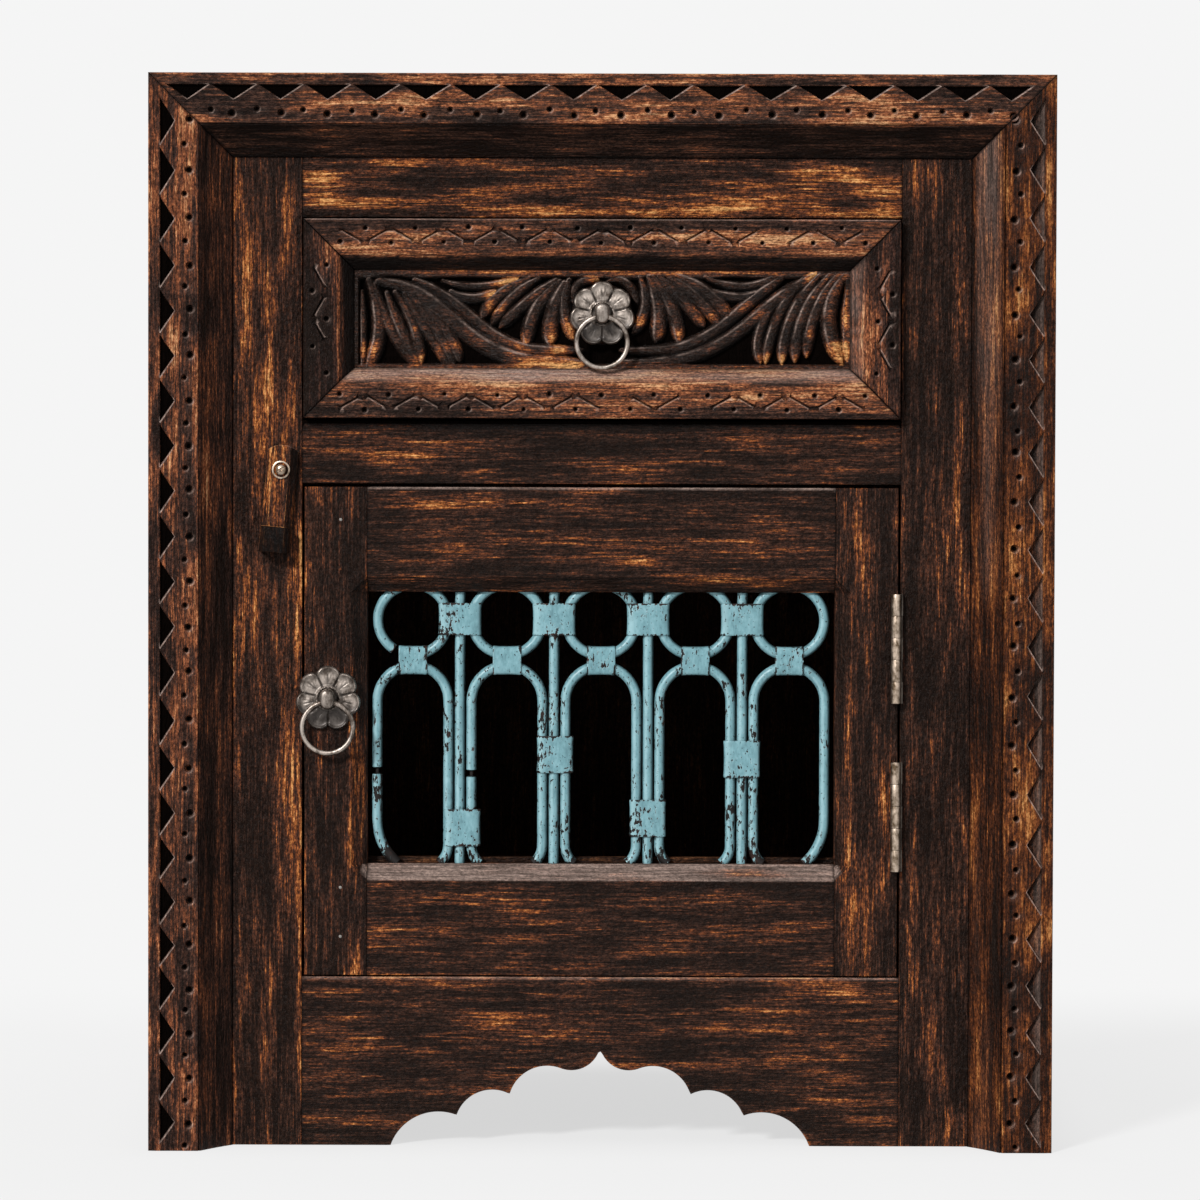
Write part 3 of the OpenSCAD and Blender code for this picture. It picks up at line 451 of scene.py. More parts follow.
@dataclass(frozen=True)
class RubbedStain(Finish):
    """Mango wood under near-black spirit stain and wax, wire-brushed and rubbed through.

    The stain stays in the hollows and the amber of the wood shows in streaks along the fibres
    and along every arris. The wax leaves a soft sheen, and marks on the mesh add painted sheen and painted shade.

    Attributes:
        name: Name of the material.
        grain: Axis that the fibres run along.
        rub: How far the whole board is rubbed through.
        streak: Contrast of the streaks.
        tones: Colours from the full stain to the bare wood.
        rough: Roughness of the stained wood.
        sheen: How much the wax reflects.
    """

    name: str
    grain: Grain
    rub: float = 0.0
    streak: float = 1.0
    tones: tuple[str, ...] = FACE
    rough: float = 0.5
    sheen: float = 0.08

    def sizes(self, across: float, along: float) -> list[float]:
        """Feature size on each axis, from the sizes across and along the grain."""
        return [along if axis == self.grain.value else across for axis in range(3)]

    def surface(self, tree: Tree) -> dict[str, object]:
        """Streaks, pores, wax and dirt, painted sheen and painted shade, and the relief of the fibres.

        Args:
            tree: The material's tree.

        Returns:
            Inputs of the shader.
        """
        coord = add(tree, "ShaderNodeTexCoord").outputs["Object"]
        # The grain wanders 2 mm or so over the length of a hand
        drift = add(tree, "ShaderNodeTexNoise", {"Vector": coord, "Scale": 9.0, "Detail": 2.0})
        wander = {0: centred(tree, drift.outputs["Color"]), 1: (0.005, 0.005, 0.005), 2: coord}
        moved = add(tree, "ShaderNodeVectorMath", wander, operation="MULTIPLY_ADD").outputs[0]
        fibre = stretched(tree, moved, self.sizes(1.6, 44), Detail=6.0, Roughness=0.68)
        patch = stretched(tree, moved, self.sizes(11, 80), Detail=6.0, Roughness=0.68)
        hair = stretched(tree, moved, self.sizes(0.75, 20), Detail=3.0, Roughness=0.7)
        # Grit in the wax is finer than this and is drawn just coarse enough to show
        grit = stretched(tree, coord, self.sizes(1.3, 2.4), Detail=2.0, Roughness=0.8)
        lumps = stretched(tree, coord, self.sizes(3.5, 8), Detail=3.0, Roughness=0.7)
        pores = stretched(tree, coord, self.sizes(0.9, 6), Detail=2.0, Roughness=0.6)
        # The weights' middle is taken off again, so rub and wear alone move the whole board
        rise, reach = 1.25 * self.streak, 1.65 * self.streak
        start = 0.5 + self.rub - (rise + reach) / 2 - 0.585
        score = weighed(
            tree, start, (fibre, rise), (patch, reach), (hair, 0.7), (grit, 0.45), (painted(tree, "wear"), 1.0)
        )
        colour = ramp(tree, score, list(zip((0.26, 0.45, 0.58, 0.69, 0.81, 0.97), self.tones)))
        # Pores a millimetre long hold dark stain also where the wood is bare
        dark_pores = spread(tree, pores, 0.54, 0.64, (0, 0.6))
        colour = blended(tree, dark_pores, colour, linear(self.tones[0]))
        # Painted sheen: a pale veil on marked points, for the reflection of the light on faces turned up to it and for
        # highlights on lit arrises and rims
        dull = calc(tree, "MULTIPLY", painted(tree, "film"), spread(tree, fibre, 0.38, 0.6, (0.4, 1.0)))
        colour = blended(tree, dull, colour, linear("#a89186"))
        colour = blended(tree, 1.0, colour, spread(tree, grit, 0.3, 0.7, (0.62, 1.38)), "MULTIPLY")
        # Marked points are darkened to near black: dirt in the hollows and painted shade
        soot_and_shade = calc(tree, "MULTIPLY", painted(tree, "grime"), 0.94)
        colour = blended(tree, soot_and_shade, colour, linear("#090605"))
        relief = weighed(tree, 0.0, (hair, 0.3), (fibre, 0.5), (grit, 0.5), (lumps, 1.6), (dark_pores, -0.25))
        return {
            "Base Color": colour,
            "Roughness": spread(tree, score, 0.4, 0.85, (self.rough - 0.06, self.rough + 0.14)),
            "Normal": bumped(tree, relief, 1.5, 1.0),
            "Specular IOR Level": self.sheen,
        }


@dataclass(frozen=True)
class ChippedPaint(Finish):
    """Turquoise enamel brushed on iron rod, chipped to the dark rusty metal underneath.

    Attributes:
        name: Name of the material.
        paint: The enamel's colours from dark to pale.
        rust: The bare iron's colours from dark to pale.
    """

    name: str = "chipped_turquoise_enamel"
    paint: tuple[str, ...] = ("#62878f", "#749ea6", "#86aeb6")
    rust: tuple[str, ...] = ("#0c0807", "#16100e", "#40241a")

    def surface(self, tree: Tree) -> dict[str, object]:
        """Brushed enamel with chips, a painted highlight on their rims and on the left of a rod, and painted shade on
        its flanks.

        Args:
            tree: The material's tree.

        Returns:
            Inputs of the shader.
        """
        place = add(tree, "ShaderNodeTexCoord").outputs
        coord = place["Object"]
        way = add(tree, "ShaderNodeSeparateXYZ", {0: place["Normal"]}).outputs
        facing = calc(tree, "MULTIPLY_ADD", way["X"], 0.5, way["Y"])
        cloud = stretched(tree, coord, (9, 9, 14), Detail=4.0, Roughness=0.65)
        brush = stretched(tree, coord, (1.4, 1.4, 3.5), Detail=3.0)
        tone = weighed(tree, 0.0, (cloud, 0.6), (brush, 0.4))
        colour = ramp(tree, tone, list(zip((0.36, 0.5, 0.64), self.paint)))
        # Chips are 2 to 6 mm long and longer down a rod than round it
        chips = stretched(tree, coord, (1.9, 1.9, 4.4), Detail=3.0, Roughness=0.6)
        crowd = stretched(tree, coord, (14, 14, 22), Detail=2.0)
        score = weighed(tree, chips, (crowd, 0.6), (painted(tree, "wear"), 1.0))
        specks = stretched(tree, coord, (1.2, 1.2, 1.9), Detail=2.0, Roughness=0.6)
        bare = calc(tree, "MAXIMUM", spread(tree, score, 0.94, 0.955), spread(tree, specks, 0.665, 0.69))
        # Painted highlight: a pale rim round each chip and worn place
        colour = blended(tree, spread(tree, score, 0.915, 0.94, (0, 0.7)), colour, linear("#b4cfd1"))
        # Painted highlight on the left of a rod, and painted shade on the flanks that turn away from the light, most on
        # the right
        colour = blended(tree, spread(tree, facing, -1.11, -1.01, (0.42, 0)), colour, linear("#a4c6cb"))
        dirt_and_painted_shade = spread(tree, weighed(tree, facing, (brush, 0.5)), -0.6, 0.2, (0, 0.82))
        colour = blended(tree, dirt_and_painted_shade, colour, linear("#1b2c2f"))
        colour = blended(tree, bare, colour, ramp(tree, cloud, list(zip((0.35, 0.54, 0.7), self.rust))))
        height = weighed(tree, 0.0, (tone, 0.5), (bare, -1.0))
        return {
            "Base Color": colour,
            "Roughness": calc(tree, "MULTIPLY_ADD", bare, 0.35, 0.3),
            "Normal": bumped(tree, height, 0.45, 0.9),
            "Specular IOR Level": 0.25,
        }


@dataclass(frozen=True)
class HandledMetal(Finish):
    """Cast or drawn metal that hands have polished on the high spots and left dark in the low.

    Attributes:
        name: Name of the material.
        bright: Colour of the polished metal.
        dull: Colour of the tarnished metal.
        rough: Roughness of the polished metal.
        scratch: How much the fine scratches show.
    """

    name: str
    bright: str
    dull: str
    rough: float
    scratch: float = 1.0

    def surface(self, tree: Tree) -> dict[str, object]:
        """Clouded metal with fine dark scratches, dirt in its hollows and painted shade where the mesh is marked.

        Args:
            tree: The material's tree.

        Returns:
            Inputs of the shader.
        """
        coord = add(tree, "ShaderNodeTexCoord").outputs["Object"]
        cloud = stretched(tree, coord, (5, 5, 7), Detail=4.0, Roughness=0.65)
        hair = stretched(tree, coord, (0.35, 0.35, 5), Detail=3.0, Roughness=0.6)
        colour = ramp(tree, cloud, [(0.38, self.dull), (0.58, self.bright)])
        colour = blended(tree, spread(tree, hair, 0.56, 0.68, (0, 0.5 * self.scratch)), colour, linear("#3b332d"))
        # Marked points are darkened: dirt in the hollows, and painted shade on the hinge barrels and the lower petals
        soot_and_shade = calc(tree, "MULTIPLY", painted(tree, "grime"), 0.85)
        return {
            "Base Color": blended(tree, soot_and_shade, colour, linear("#1c1613")),
            "Metallic": weighed(tree, 1.0, (soot_and_shade, -0.6)),
            "Roughness": calc(tree, "MULTIPLY_ADD", cloud, 0.3, self.rough - 0.15),
            "Normal": bumped(tree, calc(tree, "ADD", hair, cloud), 0.12, 0.5),
        }


@dataclass(frozen=True)
class Finishes:
    """Every finish on the cabinet."""

    face_up: Finish = RubbedStain("rubbed_stain_upright", Grain.UP, -0.03)
    face_across: Finish = RubbedStain("rubbed_stain_level", Grain.ACROSS, -0.03)
    carved_up: Finish = RubbedStain("carved_stain_upright", Grain.UP, 0.04, 1.0, CARVED_UP)
    carved_across: Finish = RubbedStain("carved_stain_level", Grain.ACROSS, 0.04, 1.0, CARVED_ACROSS)
    carved_warm: Finish = RubbedStain("carved_stain_warm", Grain.UP, -0.03, 1.0, CARVED_WARM)
    panel: Finish = RubbedStain(
        "waxed_leaf_carving", Grain.ACROSS, -0.12, 0.55, (FACE[0], "#261811", *FACE[2:]), 0.38, 0.15
    )
    lever: Finish = RubbedStain("handled_lever", Grain.UP, 0.09)
    # Dirt, old wax and painted shade make the hollows near black, so they give back nearly no light
    soot_and_shade: Finish = RubbedStain("sooty_hollow", Grain.UP, 0.0, 0.5, SHADED_SOOT, 0.9, 0.0)
    side: Finish = RubbedStain("rubbed_stain_side", Grain.UP, -0.02)
    top: Finish = RubbedStain("rubbed_stain_top", Grain.ACROSS)
    inner_up: Finish = RubbedStain("thin_stain_upright", Grain.UP, 0.0, 0.6, THIN)
    inner_across: Finish = RubbedStain("thin_stain_level", Grain.ACROSS, 0.0, 1.0, THIN)
    inner_deep: Finish = RubbedStain("thin_stain_deep", Grain.DEPTH, 0.0, 1.0, THIN_PALE)
    paint: Finish = ChippedPaint()
    pewter: Finish = HandledMetal("cast_pewter", "#b0a49a", "#5a5048", 0.4)
    nickel: Finish = HandledMetal("worn_nickel_plate", "#cbb7a4", "#63523f", 0.32, 1.5)
    steel: Finish = HandledMetal("dark_steel", "#6f665c", "#3b332c", 0.5)


FINISH = Finishes()


# Meshes


def linked(name: str, data: bpy.types.ID) -> Piece:
    """Put a mesh, a lamp or a camera in the scene.

    Args:
        name: Name of the object.
        data: What it shows.

    Returns:
        The object.
    """
    item = bpy.data.objects.new(name, data)
    bpy.context.scene.collection.objects.link(item)
    return item


def new_piece(
    name: str, points: np.ndarray, faces: Sequence[Sequence[int]], finish: Finish, crease: float = 32
) -> Piece:
    """Make a mesh object at the origin.

    Args:
        name: Name of the piece.
        points: Corners, n by 3, in metres.
        faces: Corner numbers of each face, anticlockwise from outside.
        finish: The finish that it gets.
        crease: Angle in degrees from which an edge is shaded sharp.

    Returns:
        The object.
    """
    mesh = bpy.data.meshes.new(name)
    mesh.from_pydata(np.asarray(points, float).tolist(), [], faces)
    mesh.update()
    return wrapped(name, mesh, finish, crease)


def wrapped(name: str, mesh: bpy.types.Mesh, finish: Finish, crease: float = 32) -> Piece:
    """Put a mesh in an object with its finish and smooth shading.

    Args:
        name: Name of the piece.
        mesh: Its mesh.
        finish: The finish that it gets.
        crease: Angle in degrees from which an edge is shaded sharp.

    Returns:
        The object.
    """
    mesh.materials.clear()
    mesh.materials.append(finish.material())
    mesh.shade_smooth()
    mesh.set_sharp_from_angle(angle=math.radians(crease))
    return linked(name, mesh)


def evaluated(item: Piece) -> bpy.types.Mesh:
    """Plain mesh of an object with its modifiers worked out. The object is removed.

    Args:
        item: The object.

    Returns:
        The mesh.
    """
    bpy.context.view_layer.update()
    graph = bpy.context.evaluated_depsgraph_get()
    mesh = bpy.data.meshes.new_from_object(item.evaluated_get(graph))
    bpy.data.objects.remove(item)
    return mesh


def face_outwards(mesh: bpy.types.Mesh) -> None:
    """Turn the faces of a closed mesh outwards and drop points that no face uses.

    Args:
        mesh: The mesh.
    """
    bm = bmesh.new()
    bm.from_mesh(mesh)
    bmesh.ops.delete(bm, geom=[v for v in bm.verts if not v.link_faces], context="VERTS")
    bmesh.ops.recalc_face_normals(bm, faces=bm.faces)
    bm.to_mesh(mesh)
    bm.free()


def tube(rings: int, count: int) -> list[Sequence[int]]:
    """Faces of a closed tube.

    Args:
        rings: How many rings of points it has.
        count: Points in each ring.

    Returns:
        The walls between the rings and a cap at each end.
    """
    faces = []
    for row in range(rings - 1):
        for k in range(count):
            a, b = row * count + k, row * count + (k + 1) % count
            faces.append((a, b, b + count, a + count))
    return [*faces, list(range(count)), [(rings - 1) * count + k for k in reversed(range(count))]]


def shell(
    plane: Plane, uv: np.ndarray, w: np.ndarray, faces: list, loop: Sequence[int], levels: Sequence[np.ndarray]
) -> np.ndarray:
    """Close a carved face with walls and a flat back.

    Args:
        plane: The drawing plane.
        uv: Points of the face, n by 2.
        w: Height of each point.
        faces: Point numbers of its polygons. The walls and the back are added.
        loop: Points along its rim, anticlockwise.
        levels: Heights of each further ring of wall points, from the face down.

    Returns:
        All points, in metres.
    """
    points, upper = [plane.lift(uv, w)], list(loop)
    for row, level in enumerate(levels):
        first = len(uv) + row * len(loop)
        lower = list(range(first, first + len(loop)))
        for i in range(-1, len(loop) - 1):
            faces.append((upper[i + 1], upper[i], lower[i], lower[i + 1]))
        points.append(plane.lift(uv[loop], level))
        upper = lower
    faces.append(upper[::-1])
    return np.vstack(points)


def rim_of(faces: np.ndarray) -> list[int]:
    """Points round the open edge of a sheet of triangles, anticlockwise.

    Args:
        faces: Triangles, n by 3.

    Returns:
        The points in order.
    """
    sides = np.vstack([faces[:, [0, 1]], faces[:, [1, 2]], faces[:, [2, 0]]])
    known = {(int(a), int(b)) for a, b in sides}
    follow = {a: b for a, b in known if (b, a) not in known}
    loop = [min(follow)]
    while follow[loop[-1]] != loop[0]:
        loop.append(follow[loop[-1]])
    return loop


def mark(mesh: bpy.types.Mesh, name: str, values: np.ndarray, domain: str = "POINT") -> None:
    """Store a number on each point or corner of a mesh."""
    layer = mesh.attributes.new(name, "FLOAT", domain)
    layer.data.foreach_set("value", np.asarray(values, np.float32))


def sooted_and_shaded(piece: Piece, hollow: np.ndarray) -> None:
    """Give the first faces of a piece the near-black finish of dirt and painted shade where they lie in a hollow.

    Args:
        piece: The piece.
        hollow: Whether each of its first faces lies in a hollow.
    """
    if hollow.any():
        piece.data.materials.append(FINISH.soot_and_shade.material())
        index = np.zeros(len(piece.data.polygons), np.int32)
        index[: len(hollow)] = hollow
        piece.data.polygons.foreach_set("material_index", index)


def settle(piece: Piece, body: str, slot: str, *nodes: str) -> Piece:
    """Hand a finished piece to the frame.

    Args:
        piece: The piece.
        body: The CAD body that it moves with.
        slot: The record's material slot. Not used.
        *nodes: CAD nodes that it stands for.

    Returns:
        The piece.
    """
    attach(piece, body)
    if nodes:
        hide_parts(*nodes)
    LOG.info("%s rides on %s, %d faces", piece.name, body, len(piece.data.polygons))
    return piece


@dataclass(frozen=True)
class Punch:
    """A conical dot struck into the wood."""

    centre: Point
    radius: float
    depth: float


@dataclass(frozen=True)
class Cut:
    """A straight V groove."""

    start: Point
    end: Point
    half: float = 0.55
    depth: float = 0.6

    def ring(self, wider: float = 0.0) -> np.ndarray:
        """Outline of the groove on the surface, or a wider one round it.

        Args:
            wider: How far out it is moved.

        Returns:
            Six corners.
        """
        a, b = np.array(self.start, float), np.array(self.end, float)
        run = (b - a) / np.hypot(*(b - a))
        step = run * (self.half + wider)
        side = np.array([-step[1], step[0]])
        return np.array([a, a + step - side, b - step - side, b, b - step + side, a + step + side])


@dataclass
class Relief:
    """A board with a carved face: straight walls, a flat back and softened arrises.

    Attributes:
        outline: Its corners on the drawing plane, anticlockwise.
        back: Height w of its back.
        face: Height w of its face at points.
        wear: How far the stain is rubbed through at points, 0 for the board's usual state.
        grime: How dark the dirt and the painted shade are at points.
        film: How much pale painted sheen and painted highlight lies on it at points.
        arris: Radius of the softened arris, one for all edges or one for each.
        rub: Wear along the arris, one for all edges or one for each. Below 0 it is a dark seam.
        step: Distance between scattered points.
        lines: Lines that the mesh follows.
        punches: Dots struck into the face.
        cuts: Grooves cut into the face.
        plane: The drawing plane.
        seed: Which scatter of points and which unevenness of the wear.
    """

    outline: Sequence[Point]
    back: float
    face: Field
    wear: Field = nothing
    grime: Field = nothing
    film: Field = nothing
    arris: float | Sequence[float] = 0.6
    rub: float | Sequence[float] = 0.2
    step: float = 5.0
    lines: list[np.ndarray] = field(default_factory=list)
    punches: list[Punch] = field(default_factory=list)
    cuts: list[Cut] = field(default_factory=list)
    plane: Plane = FRONT
    seed: int = 1

    def features(self, ring: np.ndarray, radii: np.ndarray) -> list[np.ndarray]:
        """Every line that the mesh follows inside the outline.

        Args:
            ring: The outline.
            radii: Arris radius of each edge.

        Returns:
            Lines, each n by 2, closed where the first point comes again at the end.
        """
        made = [looped(inset(ring, amounts)) for amounts in (radii * 0.3, radii, radii + 1.3)]
        made.extend(np.asarray(line, float) for line in self.lines)
        for punch in self.punches:
            for share, count in ((1.35, 12), (1.0, 12), (0.5, 6)):
                made.append(looped(circle(punch.centre, punch.radius * share, count)))
        for cut in self.cuts:
            made.extend([looped(cut.ring()), looped(cut.ring(0.45)), np.array([cut.start, cut.end], float)])
        return made

    def triangles(self, ring: np.ndarray, lines: list[np.ndarray]) -> tuple[np.ndarray, np.ndarray]:
        """Fill the outline with triangles that follow the lines.

        Args:
            ring: The outline.
            lines: Lines that the mesh follows.

        Returns:
            Points, n by 2, and triangles, m by 3, anticlockwise.
        """
        edge = divided(ring, self.step, True)
        count = len(edge)
        points, pairs = [edge], [(i, (i + 1) % count) for i in range(count)]
        starts, ends = [edge], [np.roll(edge, -1, 0)]
        for line in lines:
            fine = divided(line, self.step, False)
            pairs.extend((count + i, count + i + 1) for i in range(len(fine) - 1))
            points.append(fine)
            starts.append(fine[:-1])
            ends.append(fine[1:])
            count += len(fine)
        if self.punches:
            points.append(np.array([p.centre for p in self.punches], float))
        starts, ends = np.vstack(starts), np.vstack(ends)
        low, high = ring.min(0), ring.max(0)
        rows = np.arange(low[1] + self.step / 2, high[1], self.step * 0.87)
        columns = np.arange(low[0] + self.step / 2, high[0], self.step)
        grid = np.array([(u + (j % 2) * self.step / 2, v) for j, v in enumerate(rows) for u in columns])
        rng = np.random.default_rng(self.seed)
        grid += rng.uniform(-0.12, 0.12, grid.shape) * self.step
        grid = grid[is_inside(grid, ring)]
        clear = [to_segments(part, starts, ends).min(1) for part in np.array_split(grid, len(grid) // 400 + 1)]
        points.append(grid[np.concatenate(clear) > self.step * 0.4])
        vectors = [Vector(p) for p in np.vstack(points)]
        found, _, faces, *_ = delaunay_2d_cdt(vectors, pairs, [list(range(len(edge)))], 1, 1e-4)
        uv = np.array([tuple(p) for p in found])
        faces = np.array([f for f in faces if len(f) == 3])
        used, numbered = np.unique(faces, return_inverse=True)
        uv, faces = uv[used], numbered.reshape(faces.shape)
        a, b, c = uv[faces[:, 0]], uv[faces[:, 1]], uv[faces[:, 2]]
        area = (b[:, 0] - a[:, 0]) * (c[:, 1] - a[:, 1]) - (b[:, 1] - a[:, 1]) * (c[:, 0] - a[:, 0])
        faces[area < 0] = faces[area < 0][:, ::-1]
        return uv, faces

    def carved(self, uv: np.ndarray, gap: np.ndarray, radii: np.ndarray) -> tuple[np.ndarray, np.ndarray, np.ndarray]:
        """Height of the face with its arrises, dots and grooves.

        Args:
            uv: Points, n by 2.
            gap: Distance of each point to each edge.
            radii: Arris radius of each edge.

        Returns:
            Heights, how deep in a dot or groove each point is from 0 to 1, and the burr on the lower
            right of each dot and along the lower wall of each groove, which gets wear and a painted highlight.
        """
        inside = np.clip(radii - gap, 0, radii)
        w = self.face(uv) - (radii - np.sqrt(np.maximum(radii**2 - inside**2, 0))).max(1)
        low, burr_and_highlight = np.zeros(len(uv)), np.zeros(len(uv))
        for punch in self.punches:
            off = uv - punch.centre
            share = 1 - np.hypot(*off.T) / punch.radius
            rim = bell(share, -0.08, 0.16)
            right = np.clip((off[:, 0] - off[:, 1]) / (1.4 * punch.radius), 0, 1)
            # Painted highlight and wear on the burr at the lower right of each dot, where the light falls
            burr_and_highlight = np.maximum(burr_and_highlight, 0.6 * rim * right**1.5)
            w += 0.22 * rim * right
            hit = share > -1e-6
            w[hit] -= punch.depth * np.clip(share[hit] * 1.9, 0, 1)
            low[hit] = np.maximum(low[hit], np.clip(share[hit] * 3.2, 0, 1))
        for cut in self.cuts:
            a, b = np.array([cut.start], float), np.array([cut.end], float)
            share = 1 - to_segments(uv, a, b)[:, 0] / cut.half
            along = (b[0] - a[0]) / np.hypot(*(b[0] - a[0]))
            below = (uv - a[0]) @ np.array([along[1], -along[0]]) * (1 if along @ (1, 1) > 0 else -1)
            # Painted highlight on the lower wall of each groove, where the light falls
            burr_and_highlight = np.maximum(burr_and_highlight, 0.5 * bell(share, 0, 0.3) * (below > 0.3 * cut.half))
            hit = share > 0
            w[hit] -= cut.depth * share[hit]
            low[hit] = np.maximum(low[hit], np.clip(share[hit] * 1.6, 0, 1))
        return w, low, burr_and_highlight

    def build(self, name: str, finish: Finish) -> Piece:
        """Make the board.

        Args:
            name: Name of the piece.
            finish: Its finish.

        Returns:
            The object.
        """
        ring = np.asarray(self.outline, float)
        radii = np.broadcast_to(np.asarray(self.arris, float), (len(ring),))
        rubs = np.broadcast_to(np.asarray(self.rub, float), (len(ring),))
        uv, faces = self.triangles(ring, self.features(ring, radii))
        gap = to_segments(uv, ring, np.roll(ring, -1, 0))
        w, low, burr_and_highlight = self.carved(uv, gap, radii)
        uneven = 0.75 + 0.45 * ripple(uv, (13, 13), self.seed) + 0.3 * ripple(uv, (3, 3), self.seed + 9)
        base = self.wear(uv)
        wear = base + 0.3 * burr_and_highlight + (np.maximum(rubs, 0) * bell(gap, 0, 1.1)).max(1) * uneven
        seam = (np.clip(-rubs * 3, 0, 1) * bell(gap, 0, 0.75)).max(1)
        # Dots, grooves and hollows are darkened with dirt and painted shade, and the seams with dirt
        low = np.clip(np.maximum.reduce([low, seam, self.grime(uv)]), 0, 1)
        # Painted sheen, and a painted highlight on the burrs
        film = np.clip(np.maximum(self.film(uv), 1.7 * burr_and_highlight), 0, 1)
        loop, shapes = rim_of(faces), faces.tolist()
        # The walls keep the look of the face for their first 1.8 mm
        shoulder = np.maximum(w[loop] - 1.8, self.back + 0.1)
        bare = np.zeros(len(loop))
        points = shell(self.plane, uv, w, shapes, loop, (shoulder, bare + self.back))
        piece = new_piece(name, points, shapes, finish)
        # Faces deep in a hollow get the near-black finish of dirt and painted shade
        sooted_and_shaded(piece, low[faces].min(1) > 0.75)
        mark(piece.data, "wear", np.concatenate([wear, base[loop], base[loop]]))
        mark(piece.data, "grime", np.concatenate([low, low[loop], bare]))
        mark(piece.data, "film", np.concatenate([film, bare, bare]))
        return piece


def softened(frame: dict, node: str, name: str, radius: float, finish: Finish, rub: float = 0.25) -> Piece:
    """Copy a CAD node's shape with worn arrises.

    Args:
        frame: The loaded frame.
        node: The CAD node.
        name: Name of the piece.
        radius: Radius of the arrises in millimetres.
        finish: Its finish.
        rub: Wear along the arrises.

    Returns:
        The object.
    """
    bm = bmesh.new()
    bm.from_mesh(frame["nodes"][node].data)
    bmesh.ops.remove_doubles(bm, verts=bm.verts, dist=2e-6)
    bmesh.ops.dissolve_limit(bm, angle_limit=math.radians(0.5), verts=bm.verts, edges=bm.edges)
    layer = bm.faces.layers.int.new("arris")
    sharp = [e for e in bm.edges if len(e.link_faces) == 2 and e.calc_face_angle(0) > math.radians(38)]
    made = bmesh.ops.bevel(
        bm, geom=sharp, offset=radius * MM, segments=2, profile=0.6, affect="EDGES", clamp_overlap=True
    )
    for face in made["faces"]:
        face[layer] = 1
    mesh = bpy.data.meshes.new(name)
    bm.to_mesh(mesh)
    bm.free()
    arris, corners = np.zeros((2, len(mesh.polygons)), np.int32)
    mesh.attributes["arris"].data.foreach_get("value", arris)
    mesh.polygons.foreach_get("loop_total", corners)
    mark(mesh, "wear", np.repeat(arris * rub, corners), "CORNER")
    return wrapped(name, mesh, finish)


# Geometry Nodes


def geometry_tree(name: str, kinds: dict[str, str]) -> tuple[Tree, bpy.types.NodeOutputs]:
    """Start a geometry tree.

    Args:
        name: Name of the tree.
        kinds: Name and socket type of each input after the geometry.

    Returns:
        The tree and the sockets of its inputs.
    """
    tree = bpy.data.node_groups.new(name, "GeometryNodeTree")
    for key, kind in {"Geometry": "Geometry", **kinds}.items():
        tree.interface.new_socket(name=key, in_out="INPUT", socket_type=f"NodeSocket{kind}")
    tree.interface.new_socket(name="Geometry", in_out="OUTPUT", socket_type="NodeSocketGeometry")
    return tree, add(tree, "NodeGroupInput").outputs


def baked(name: str, source: bpy.types.Mesh, tree: Tree, shape: Socket, values: dict, finish: Finish) -> Piece:
    """Close a geometry tree, run it on a mesh and keep the plain mesh that it makes.

    Args:
        name: Name of the piece.
        source: The mesh that the tree works on.
        tree: The geometry tree.
        shape: The socket with the realized geometry.
        values: Value of each input, by its name.
        finish: The piece's finish.

    Returns:
        The piece.
    """
    dressed = add(tree, "GeometryNodeSetMaterial", {"Geometry": shape, "Material": finish.material()})
    add(tree, "NodeGroupOutput", {0: dressed.outputs[0]})
    item = linked(source.name, source)
    modifier = item.modifiers.new(tree.name, "NODES")
    modifier.node_group = tree
    for entry in tree.interface.items_tree:
        if entry.name in values:
            modifier[entry.identifier] = values[entry.name]
    mesh = evaluated(item)
    mesh.name = name
    return wrapped(name, mesh, finish, 40)


